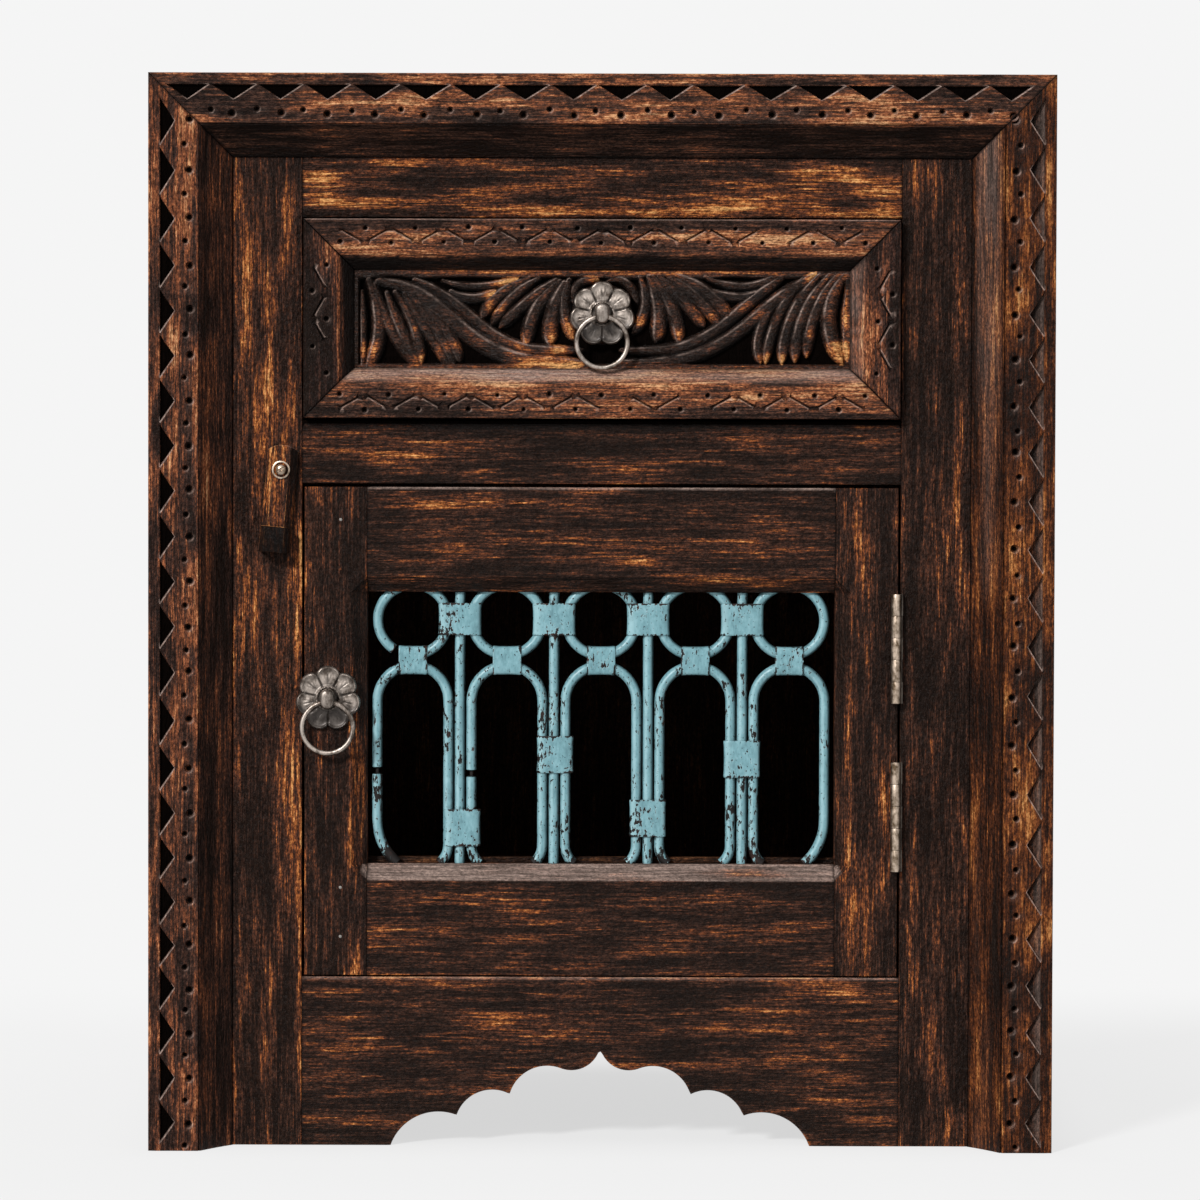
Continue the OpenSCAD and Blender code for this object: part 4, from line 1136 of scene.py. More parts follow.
@dataclass
class RodSweep:
    """Geometry tree that runs a round rod along each line of a mesh of edges.

    Attributes:
        radius: Radius of the rod.
        facets: Points round it.
        spacing: Distance between its rings.
        dents: How far hammer blows move its surface.
    """

    radius: float
    facets: int = 14
    spacing: float = 1.6
    dents: float = 0.25

    def run(self, name: str, lines: Sequence[np.ndarray], closed: bool, finish: Finish) -> Piece:
        """Make the rods.

        Args:
            name: Name of the piece.
            lines: Points of each rod's middle, n by 3, then its thickness as a share and its wear.
            closed: Whether each line closes on itself.
            finish: Its finish.

        Returns:
            The piece.
        """
        kinds = {"Rod radius": "Float", "Facets": "Int", "Spacing": "Float", "Dents": "Float"}
        tree, given = geometry_tree("rod_sweep", kinds)
        thick = add(tree, "GeometryNodeInputNamedAttribute", {"Name": "thick"}, data_type="FLOAT").outputs[0]
        curve = add(tree, "GeometryNodeMeshToCurve", {0: given["Geometry"]}).outputs[0]
        curve = add(tree, "GeometryNodeSetCurveRadius", {"Curve": curve, "Radius": thick}).outputs[0]
        spaced = {"Curve": curve, "Length": given["Spacing"]}
        fine = add(tree, "GeometryNodeResampleCurve", spaced, mode="LENGTH").outputs[0]
        round_ = {"Resolution": given["Facets"], "Radius": given["Rod radius"]}
        ring = add(tree, "GeometryNodeCurvePrimitiveCircle", round_).outputs[0]
        swept = {"Curve": fine, "Profile Curve": ring, "Fill Caps": True}
        sweep = add(tree, "GeometryNodeCurveToMesh", swept)
        if "Scale" in sweep.inputs:
            tree.links.new(add(tree, "GeometryNodeInputRadius").outputs[0], sweep.inputs["Scale"])
        blows = add(tree, "ShaderNodeTexNoise", {"Scale": 170.0, "Detail": 1.0}).outputs["Color"]
        push = {0: centred(tree, blows), "Scale": given["Dents"]}
        offset = add(tree, "ShaderNodeVectorMath", push, operation="SCALE").outputs[0]
        moved = add(tree, "GeometryNodeSetPosition", {"Geometry": sweep.outputs[0], "Offset": offset})
        real = add(tree, "GeometryNodeRealizeInstances", {0: moved.outputs[0]})
        edges, base = [], 0
        for line in lines:
            last = len(line) if closed else len(line) - 1
            edges.extend((base + i, base + (i + 1) % len(line)) for i in range(last))
            base += len(line)
        rows = np.vstack(lines)
        mesh = bpy.data.meshes.new(name + "_lines")
        mesh.from_pydata((rows[:, :3] * MM).tolist(), edges, [])
        mark(mesh, "thick", rows[:, 3])
        mark(mesh, "wear", rows[:, 4])
        values = {
            "Rod radius": self.radius * MM,
            "Facets": self.facets,
            "Spacing": self.spacing * MM,
            "Dents": self.dents * MM,
        }
        return baked(name, mesh, tree, real.outputs[0], values, finish)


@dataclass
class Repeat:
    """Geometry tree that sets copies of one piece at places, each with its own turn.

    Attributes:
        jitter: Greatest random turn about each axis, in radians.
        weld: Distance within which the copies' points are joined.
        seed: Which random turns.
    """

    jitter: float = 0.0
    weld: float = 0.0
    seed: int = 5

    def run(self, name: str, pattern: Piece, places: np.ndarray, turns: np.ndarray, finish: Finish) -> Piece:
        """Make the copies.

        Args:
            name: Name of the piece.
            pattern: The piece to repeat. It is removed.
            places: Where each copy stands, n by 3, in millimetres.
            turns: Turn of each copy about x, y and z, n by 3, in radians.
            finish: Its finish.

        Returns:
            The piece.
        """
        kinds = {"Piece": "Object", "Jitter": "Float", "Weld": "Float", "Seed": "Int"}
        tree, given = geometry_tree("repeat_at_places", kinds)
        turn = add(tree, "GeometryNodeInputNamedAttribute", {"Name": "turn"}, data_type="FLOAT_VECTOR").outputs[0]
        limits = {"Min": (-1.0,) * 3, "Max": (1.0,) * 3, "Seed": given["Seed"]}
        spare = add(tree, "FunctionNodeRandomValue", limits, data_type="FLOAT_VECTOR").outputs[0]
        shaken = add(tree, "ShaderNodeVectorMath", {0: spare, "Scale": given["Jitter"]}, operation="SCALE")
        total = add(tree, "ShaderNodeVectorMath", {0: turn, 1: shaken.outputs[0]})
        rotation = add(tree, "FunctionNodeEulerToRotation", {0: total.outputs[0]}).outputs[0]
        info = add(tree, "GeometryNodeObjectInfo", {"Object": given["Piece"], "As Instance": True})
        inputs = {"Points": given["Geometry"], "Instance": info.outputs["Geometry"], "Rotation": rotation}
        copies = add(tree, "GeometryNodeInstanceOnPoints", inputs)
        real = add(tree, "GeometryNodeRealizeInstances", {0: copies.outputs[0]}).outputs[0]
        joined = add(tree, "GeometryNodeMergeByDistance", {"Geometry": real, "Distance": given["Weld"]})
        mesh = bpy.data.meshes.new(name + "_places")
        mesh.from_pydata((places * MM).tolist(), [], [])
        layer = mesh.attributes.new("turn", "FLOAT_VECTOR", "POINT")
        layer.data.foreach_set("vector", turns.astype(np.float32).ravel())
        values = {"Piece": pattern, "Jitter": self.jitter, "Weld": self.weld * MM, "Seed": self.seed}
        piece = baked(name, mesh, tree, joined.outputs[0], values, finish)
        bpy.data.objects.remove(pattern)
        return piece


def turned(name: str, outline: Sequence[Point], finish: Finish, facets: int, depth: Field | None = None) -> Piece:
    """Turn an outline about its own axis, which points out of the front.

    Args:
        name: Name of the piece.
        outline: Radius and height of each point, from the back to the front, in millimetres.
            The first and the last lie on the axis.
        finish: Its finish.
        facets: Points round it.
        depth: Sinks points by this much, given n by 3 points.

    Returns:
        The piece, round the origin.
    """
    turn = np.arange(facets) * FULL_TURN / facets
    rings = [np.column_stack([r * np.cos(turn), np.full(facets, -h), r * np.sin(turn)]) for r, h in outline[1:-1]]
    points = np.vstack([[[0, -outline[0][1], 0]], *rings, [[0, -outline[-1][1], 0]]])
    if depth is not None:
        points[:, 1] += depth(points)
    last = len(points) - 1
    faces = []
    for i in range(facets):
        j = (i + 1) % facets
        faces.append((0, 1 + j, 1 + i))
        for k in range(len(rings) - 1):
            a = 1 + k * facets
            faces.append((a + i, a + j, a + facets + j, a + facets + i))
        a = 1 + (len(rings) - 1) * facets
        faces.append((a + i, a + j, last))
    return new_piece(name, points * MM, faces, finish)


# The cabinet's parts


def anticlockwise(ring: Sequence[Point]) -> np.ndarray:
    """Corners of a ring in anticlockwise order.

    Args:
        ring: Corners in either order.

    Returns:
        The corners.
    """
    made = np.asarray(ring, float)
    nxt = np.roll(made, -1, 0)
    area = (made[:, 0] * nxt[:, 1] - nxt[:, 0] * made[:, 1]).sum()
    return made if area > 0 else made[::-1]


def patches(uv: np.ndarray, rows: Sequence[Sequence[float]]) -> np.ndarray:
    """Wear that swells at places.

    Args:
        uv: Points, n by 2.
        rows: Middle u and v, half width, half height and amount of each place.

    Returns:
        The sum of all of them at each point.
    """
    total = np.zeros(len(uv))
    for u, v, wide, tall, amount in rows:
        total += amount * np.exp(-(((uv[:, 0] - u) / wide) ** 2) - ((uv[:, 1] - v) / tall) ** 2)
    return total


def box_ring(u0: float, v0: float, u1: float, v1: float) -> list[Point]:
    """Corners of a rectangle, anticlockwise."""
    return [(u0, v0), (u1, v0), (u1, v1), (u0, v1)]


def dress(frame: dict, node: str, finish: Finish, width: float = 0.7) -> None:
    """Give a CAD node that stays a finish and soft arrises.

    Args:
        frame: The loaded frame.
        node: The CAD node.
        finish: Its finish.
        width: Width of the arrises in millimetres.
    """
    held = frame["nodes"][node]
    for place in held.material_slots:
        place.link = "OBJECT"
        place.material = finish.material()
    weld = held.modifiers.new("weld", "WELD")
    weld.merge_threshold = 2e-6
    bevel = held.modifiers.new("arris", "BEVEL")
    bevel.width = width * MM
    bevel.segments = 2
    bevel.limit_method = "ANGLE"
    bevel.angle_limit = math.radians(40)
    LOG.info("%s keeps its CAD shape", node)


class Side(Enum):
    """Member of the moulding, or of the drawer's frame."""

    TOP = "top"
    LEFT = "left"
    RIGHT = "right"
    BOTTOM = "bottom"

    @property
    def level(self) -> bool:
        """Whether the member lies level."""
        return self in (Side.TOP, Side.BOTTOM)


@dataclass
class Border:
    """Rectangle that mitred members run round, and how points along a member are placed.

    A member is drawn by s, the place along it, and t, the distance in from its outer edge.
    """

    left: float
    bottom: float
    right: float
    top: float

    def place(self, side: Side, s: float, t: float) -> Point:
        """Drawing point of s and t on one member.

        Args:
            side: The member.
            s: Place along it.
            t: Distance in from its outer edge.

        Returns:
            The point's u and v.
        """
        across = {Side.TOP: self.top - t, Side.BOTTOM: self.bottom + t, Side.LEFT: self.left + t}
        across[Side.RIGHT] = self.right - t
        return (s, across[side]) if side.level else (across[side], s)

    def along(self, side: Side, uv: np.ndarray) -> tuple[np.ndarray, np.ndarray]:
        """The s and t of drawing points on one member.

        Args:
            side: The member.
            uv: Points, n by 2.

        Returns:
            The s and the t of each point.
        """
        u, v = uv.T
        spots = {
            Side.TOP: (u, self.top - v),
            Side.BOTTOM: (u, v - self.bottom),
            Side.LEFT: (v, u - self.left),
            Side.RIGHT: (v, self.right - u),
        }
        return spots[side]

    def line(self, side: Side, *st: Point) -> np.ndarray:
        """Line through points given by s and t."""
        return np.array([self.place(side, s, t) for s, t in st])

    def run(self, side: Side, t: float) -> np.ndarray:
        """Line along a member from mitre to mitre.

        Args:
            side: The member.
            t: Distance in from its outer edge.

        Returns:
            Both ends.
        """
        if side.level:
            return self.line(side, (self.left + t, t), (self.right - t, t))
        return self.line(side, (self.bottom + t, t), (self.top - t, t))


@dataclass
class Moulding:
    """The carved moulding round the front: a rim, a row of chip-cut pits, dots and a steep cove.

    Attributes:
        border: Rectangle of its outer edge.
        rim: How far in from the outer edge the pits start.
        pit: How far in the deepest corners of the pits lie.
        band: Width of the flat band, out to the cove.
        quirk: How far in the small groove before the cove starts, is full, stays full and is over.
        reach: Width of the whole moulding.
        front: Height w of the band.
        wall: Height w of the face frame behind it.
        top_peaks: Place along the top of each point between two pits.
        left_peaks: The same along the left.
        right_valleys: Place along the right of the deepest corner of each pit.
    """

    border: Border = field(default_factory=lambda: Border(-273, 0, 273, 650))
    rim: float = 7
    pit: float = 16
    band: float = 31
    quirk: tuple[float, ...] = (30.1, 30.5, 30.9, 31.3)
    reach: float = 49
    front: float = 200
    wall: float = 174
    top_peaks: tuple[float, ...] = (
        -263, -236, -207.5, -179.5, -151, -121.5, -91, -61.5, -31.5, -3.5, 26.5, 54.5, 85.5,
        116.5, 146.5, 175, 203.5, 232, 259,
    )
    left_peaks: tuple[float, ...] = (
        636, 606, 576.5, 548, 520.5, 493.5, 466.5, 439.5, 412.5, 385, 357.5, 330.5, 303.5, 275,
        245.5, 218, 191, 164.5, 137, 112, 85.5, 58.5, 30.5, 4.5,
    )
    right_valleys: tuple[float, ...] = (
        622, 593, 564, 534.5, 506, 479, 450.5, 422.5, 393.5, 364.5, 335.5, 306, 276.5, 247, 217,
        186.5, 158, 129.5, 101.5, 73, 46, 18,
    )

    def pits(self, side: Side) -> list[Place]:
        """Pits along one member.

        Args:
            side: The member.

        Returns:
            Start, end and deepest place of each pit.
        """
        if side is Side.RIGHT:
            mids = [(a + b) / 2 for a, b in zip(self.right_valleys, self.right_valleys[1:])]
            peaks = [636.5, *mids, 4]
            return list(zip(peaks, peaks[1:], self.right_valleys))
        peaks = self.top_peaks if side is Side.TOP else self.left_peaks
        return [(a, b, (a + b) / 2) for a, b in zip(peaks, peaks[1:])]

    def triangle(self, side: Side, pit: Place) -> np.ndarray:
        """Outline of one pit on the drawing plane.

        Args:
            side: The member.
            pit: The pit's start, end and deepest place.

        Returns:
            Its three corners, anticlockwise.
        """
        step = math.copysign(0.5, pit[1] - pit[0])
        corners = ((pit[0] + step, self.rim), (pit[1] - step, self.rim), (pit[2], self.pit))
        return anticlockwise(self.border.line(side, *corners))

    def nearby(self, side: Side, uv: np.ndarray) -> Iterator[tuple[Place, np.ndarray, np.ndarray]]:
        """Find the points in and beside each pit.

        Args:
            side: The member.
            uv: Points, n by 2.

        Yields:
            A pit, which points lie near it, and how far inside its outline those lie.
        """
        s, t = self.border.along(side, uv)
        for pit in self.pits(side):
            near = (s > min(pit[:2]) - 1) & (s < max(pit[:2]) + 1) & (t < self.pit + 1.5)
            if near.any():
                ring = self.triangle(side, pit)
                run = np.roll(ring, -1, 0) - ring
                normal = np.stack([-run[:, 1], run[:, 0]], 1) / np.hypot(*run.T)[:, None]
                yield pit, near, ((uv[near][:, None] - ring[None]) * normal[None]).sum(2).min(1)

    def height(self, side: Side, uv: np.ndarray) -> np.ndarray:
        """Height of the carved face.

        Args:
            side: The member.
            uv: Points, n by 2.

        Returns:
            Heights.
        """
        _, t = self.border.along(side, uv)
        fall = np.clip((t - self.band) / (self.reach - self.band), 0, 1)
        w = self.front - (self.front - self.wall - 1.0) * fall - 1.2 * np.sin(math.pi * fall)
        w -= 1.1 * smooth(t, *self.quirk[:2]) * (1 - smooth(t, *self.quirk[2:]))
        w += 0.16 * ripple(uv, (9, 9), 31) + 0.1 * ripple(uv, (3.5, 3.5), 32) - 0.5
        for _, near, inside in self.nearby(side, uv):
            floor = 2.0 + 1.8 * np.clip((t[near] - self.rim) / (self.pit - self.rim), 0, 1)
            w[near] -= np.clip(inside / 0.6, 0, 1) * floor
        return w

    def board(self, side: Side) -> Relief:
        """The member as a carved board.

        Args:
            side: The member.

        Returns:
            The board.
        """
        b, r = self.border, self.reach
        left, right = (b.left, b.top), (b.right, b.top)
        inner_left, inner_right = (b.left + r, b.top - r), (b.right - r, b.top - r)
        # Corners, and the arris radius and rub of each edge
        ring, arris, rub = {
            Side.TOP: ([left, inner_left, inner_right, right], [0.35, 0.3, 0.35, 1.3], [-0.3, -0.3, -0.3, 0.34]),
            Side.LEFT: (
                [left, (b.left, b.bottom), (b.left + r, b.bottom), inner_left],
                [1.3, 0.6, 0.3, 0.35],
                [0.26, 0.1, -0.3, -0.3],
            ),
            Side.RIGHT: (
                [(b.right - r, b.bottom), (b.right, b.bottom), right, inner_right],
                [0.6, 1.3, 0.35, 0.3],
                [0.1, 0.16, -0.3, -0.3],
            ),
        }[side]
        lines, punches = [], []
        for t in (*self.quirk[:3], 31.4, 35, 40, 44.5):
            line = b.run(side, t)
            if side is not Side.TOP:
                line[0] = b.place(side, b.bottom, t)
            lines.append(line)
        rng = np.random.default_rng(len(side.value))
        # Dots keep clear of the mitres and the floor
        first, last = (b.left + 26, b.right - 26) if side is Side.TOP else (b.bottom + 3, b.top - 27)
        for pit in self.pits(side):
            outline = self.triangle(side, pit)
            lines.extend(looped(inset(outline, np.full(3, gap))) for gap in (0, 0.6, -0.5, -0.75))
            for s, t, radius in ((pit[2], 24.7, 2.6), (pit[1], 22.3, 2.05)):
                s, t = s + rng.uniform(-1.2, 1.2), t + rng.uniform(-0.7, 0.7)
                if first < s < last:
                    punches.append(Punch(b.place(side, s, t), radius, radius * 1.1))
        return Relief(
            ring,
            self.wall,
            lambda uv: self.height(side, uv),
            lambda uv: self.worn(side, uv),
            lambda uv: self.sooty_and_shaded(side, uv),
            lambda uv: self.lit_sheen(side, uv),
            arris=arris,
            rub=rub,
            step=4.5,
            lines=lines,
            punches=punches,
            seed=11 + len(side.value),
        )

    def in_pits(self, side: Side, uv: np.ndarray) -> tuple[np.ndarray, np.ndarray]:
        """Which points lie in a pit, and which on the arris of the tooth flank that faces the light.

        Args:
            side: The member.
            uv: Points, n by 2.

        Returns:
            1 in the pits and 0 elsewhere, and 1 on the arris and 0 elsewhere.
        """
        inside, flank = np.zeros((2, len(uv)))
        for pit, near, deep in self.nearby(side, uv):
            inside[near] = np.maximum(inside[near], deep > 0.3)
            step = math.copysign(0.5, pit[1] - pit[0])
            line = self.border.line(side, (pit[2], self.pit), (pit[1] - step, self.rim))
            gap = to_segments(uv[near], line[:1], line[1:])[:, 0]
            flank[near] = np.maximum(flank[near], gap < 0.56)
        return inside, flank * (1 - inside)

    def lit_sheen(self, side: Side, uv: np.ndarray) -> np.ndarray:
        """Painted sheen on the lit flanks, and on the right on the pits' outer walls and the cove, which face the
        light.

        Args:
            side: The member.
            uv: Points, n by 2.

        Returns:
            Painted sheen at each point.
        """
        _, t = self.border.along(side, uv)
        inside, flank = self.in_pits(side, uv)
        if side is not Side.RIGHT:
            return 0.95 * flank
        wall = 0.5 * inside * (1 - smooth(t, 8.5, 12))
        cove = 0.3 * smooth(uv[:, 1], 380, 600) + 0.12 * ripple(uv, (9, 60), 12)
        cove *= smooth(t, 32, 36) * (1 - smooth(t, 44, 47))
        return np.clip(np.maximum.reduce([0.7 * flank, wall, cove]), 0, 1)

    def sooty_and_shaded(self, side: Side, uv: np.ndarray) -> np.ndarray:
        """Dirt and painted shade in the pits, in the quirk beside the band and at the foot of the cove.

        Args:
            side: The member.
            uv: Points, n by 2.

        Returns:
            Dirt and painted shade at each point.
        """
        _, t = self.border.along(side, uv)
        inside, flank = self.in_pits(side, uv)
        # The pits on the right face the light and are painted less dark
        depth = {Side.TOP: 1.0, Side.LEFT: 0.96, Side.RIGHT: 0.45}[side]
        quirk = 0.8 * bell(t, self.quirk[2], 0.5) + 0.9 * smooth(t, 47.2, 48.8)
        return np.maximum(inside * depth * (1 - flank), quirk)

    def worn(self, side: Side, uv: np.ndarray) -> np.ndarray:
        """Where the stain of one member is rubbed through.

        Args:
            side: The member.
            uv: Points, n by 2.

        Returns:
            Wear at each point.
        """
        _, t = self.border.along(side, uv)
        lip = 0.12 * bell(t, 29.4, 0.8)
        rim = 0.01 * (1 - smooth(t, 5.5, 7.5))
        band = smooth(t, 14, 19) * (1 - smooth(t, 29, 31))
        swell = 0.1 * ripple(uv, (34, 34), 71) + 0.05 * ripple(uv, (12, 12), 72)
        # Painted shade: the cove is darker on the top, which faces down, and a little on the left
        cove = smooth(t, 30.5, 32) * {Side.TOP: -0.2, Side.LEFT: -0.07, Side.RIGHT: 0.01}[side]
        rows = {
            Side.TOP: [
                (-222, 630, 40, 12, -0.16), (-215, 611, 70, 9, -0.12), (-118, 630, 16, 9, 0.26),
                (150, 628, 40, 7, 0.16), (235, 622, 20, 6, 0.12), (-40, 645, 60, 3, 0.1),
            ],
            Side.LEFT: [
                (-249, 598, 5, 22, 0.24), (-252, 560, 6, 20, 0.1), (-250, 330, 6, 70, 0.06), (-238, 470, 6, 60, 0.08),
            ],
            Side.RIGHT: [
                (250, 540, 8, 60, 0.12), (250, 300, 8, 90, 0.12), (266, 400, 4, 160, 0.06), (237, 480, 4, 90, 0.16),
                (256, 180, 6, 60, 0.1),
            ],
        }[side]
        return lip + rim + band * 0.02 + cove + swell + patches(uv, rows)

    def build(self) -> None:
        """Carve the three members."""
        finishes = {Side.TOP: FINISH.carved_across, Side.LEFT: FINISH.carved_up, Side.RIGHT: FINISH.carved_warm}
        for side, finish in finishes.items():
            piece = self.board(side).build(f"carved_moulding_{side.value}", finish)
            settle(piece, "carcass", "carved_wood", f"moulding_{side.value}")


def arch_height(x: float) -> float:
    """Height of the apron's cusped arch over the floor.

    Args:
        x: Place across the cabinet.

    Returns:
        The height, below zero outside the arch.
    """
    x = abs(x)
    tip, tip_half, scoop, scoop_x, scoop_z = 57.5, 23.83, 18.0, 17.5, 64.03
    if x < tip_half:
        return min(tip, scoop_z - math.sqrt(scoop**2 - (x - scoop_x) ** 2))
    # Middle x and z, and radius, of each round lobe
    lobes = ((98.5, -10.5, 31.0), (65.7, 11.0, 23.0), (32.2, 24.9, 23.8))
    return max(z + math.sqrt(r * r - (x - c) ** 2) if abs(x - c) < r else -1.0 for c, z, r in lobes)


@dataclass
class FaceFrame:
    """Stiles, rails and the arched apron of the front.

    Attributes:
        half: Half the cabinet's width.
        inner: Half the distance between the stiles.
        height: Height of the cabinet.
        face: Height w of the boards' faces.
        back: Height w of their backs.
        rail_top: Lower edge of the top rail.
        rail_low: Lower edge of the middle rail.
        rail_high: Its upper edge.
        apron: Upper edge of the apron.
        arch: Half the arch's span at the floor.
    """

    half: float = 273
    inner: float = 182
    height: float = 650
    face: float = 174
    back: float = 154
    rail_top: float = 565
    rail_low: float = 403.5
    rail_high: float = 442
    apron: float = 103
    arch: float = 127.67

    def hollow(self, uv: np.ndarray, seed: int, amount: float = 0.22) -> np.ndarray:
        """Face of a board that was planed by hand and brushed: low swells.

        Args:
            uv: Points, n by 2, with the grain along v.
            seed: Which swells.
            amount: How high they are.

        Returns:
            Heights.
        """
        swell = ripple(uv, (26, 60), seed) + 0.6 * ripple(uv, (9, 14), seed + 1)
        return self.face - 0.3 + amount * swell * 0.6

    def stile(self, sign: int) -> Relief:
        """Upright board.

        Args:
            sign: -1 for the left one and 1 for the right one.

        Returns:
            The board.
        """
        edges = sorted((sign * self.half, sign * self.inner))
        rows = {
            -1: [
                (-204, 528, 8, 34, 0.24), (-196, 452, 9, 26, 0.16), (-210, 330, 9, 60, 0.12), (-190, 240, 8, 70, 0.1),
                (-200, 600, 40, 14, -0.1), (-204, 90, 14, 60, -0.06), (-186, 300, 3, 200, 0.12),
                (-216, 500, 6, 60, 0.12), (-190, 540, 6, 34, 0.14), (-220, 590, 5, 40, 0.08),
            ],
            1: [
                (199, 592, 7, 14, 0.34), (186, 580, 3, 16, 0.25), (207, 545, 10, 45, 0.02), (200, 430, 14, 40, 0.08),
                (216, 330, 8, 70, 0.12), (190, 120, 6, 60, 0.08),
            ],
        }[sign]
        return Relief(
            box_ring(edges[0], 0, edges[1], self.height),
            self.back,
            lambda uv: self.hollow(uv, 41 + sign),
            lambda uv: patches(uv, rows) - (0.01 if sign < 0 else 0.07),
            arris=0.7,
            rub=0.2,
            step=4.2,
            seed=21 + sign,
        )

    def rail(self, low: float, high: float, rows: Sequence[Sequence[float]], rub: Sequence[float], seed: int) -> Relief:
        """Level board between the stiles.

        Args:
            low: Its lower edge.
            high: Its upper edge.
            rows: Its worn places.
            rub: Wear along each edge.
            seed: Which swells.

        Returns:
            The board.
        """
        return Relief(
            box_ring(-self.inner, low, self.inner, high),
            self.back,
            lambda uv: self.hollow(uv[:, ::-1], seed, 0.16),
            lambda uv: patches(uv, rows),
            # Painted shadow of the drawer's frame along the middle rail's upper edge
            lambda uv: 0.85 * smooth(uv[:, 1], high - 7.5, high - 4) * (high == self.rail_high),
            arris=[0.9, 0.35, 0.9, 0.35],
            rub=rub,
            step=3.6,
            seed=seed,
        )

    def arched(self) -> Relief:
        """Apron with its cusped arch.

        Returns:
            The board.
        """
        xs = np.concatenate([[-self.arch], np.arange(-127, 127.5, 1.2), [self.arch]])
        arch = [(float(x), max(arch_height(float(x)), 0.0)) for x in xs]
        ring = [(-self.inner, 0.0), *arch, (self.inner, 0.0), (self.inner, self.apron), (-self.inner, self.apron)]
        count = len(arch)
        arris = [0.5, *[0.9] * (count - 1), 0.5, 0.35, 0.8, 0.35]
        rub = [0.1, *[0.2] * (count - 1), 0.1, -0.3, 0.42, -0.3]
        rows = [(-150, 60, 25, 26, 0.05), (60, 82, 80, 8, 0.1), (-60, 78, 70, 6, 0.08), (150, 40, 20, 30, 0.06)]

        def film(uv: np.ndarray) -> np.ndarray:
            """Painted highlight along the upper edge."""
            return smooth(uv[:, 1], self.apron - 1.2, self.apron - 0.4) * (0.6 + 0.35 * ripple(uv, (40, 9), 6))

        return Relief(
            ring,
            self.back,
            lambda uv: self.hollow(uv[:, ::-1], 57, 0.16),
            lambda uv: patches(uv, rows) - 0.02,
            film=film,
            arris=arris,
            rub=rub,
            step=3.6,
            seed=57,
        )

    def build(self) -> None:
        """Make the five boards."""
        top = [
            (-172, 588, 16, 12, 0.30), (-155, 574, 30, 7, 0.26), (-60, 570.5, 90, 3.6, 0.26), (70, 570.5, 70, 3.2, 0.2),
            (-128, 598, 50, 3, 0.18), (-20, 586, 80, 7, -0.1), (150, 592, 34, 9, 0.22), (168, 580, 18, 8, 0.2),
            (100, 582, 60, 8, 0.12), (-60, 592, 120, 10, 0.07), (40, 577, 90, 5, 0.1),
        ]
        middle = [(-120, 432, 50, 8, 0.06), (60, 412, 80, 6, 0.06), (160, 428, 20, 10, 0.08), (0, 425, 250, 40, -0.05)]
        boards = {
            "stile_left": self.stile(-1),
            "stile_right": self.stile(1),
            "rail_top": self.rail(self.rail_top, self.height, top, [0.08, -0.3, 0.2, -0.3], 51),
            "rail_middle": self.rail(self.rail_low, self.rail_high, middle, [0.12, -0.3, 0.24, -0.3], 53),
            "apron": self.arched(),
        }
        for node, board in boards.items():
            finish = FINISH.face_up if "stile" in node else FINISH.face_across
            settle(board.build(f"planed_{node}", finish), "carcass", "stained_wood", node)


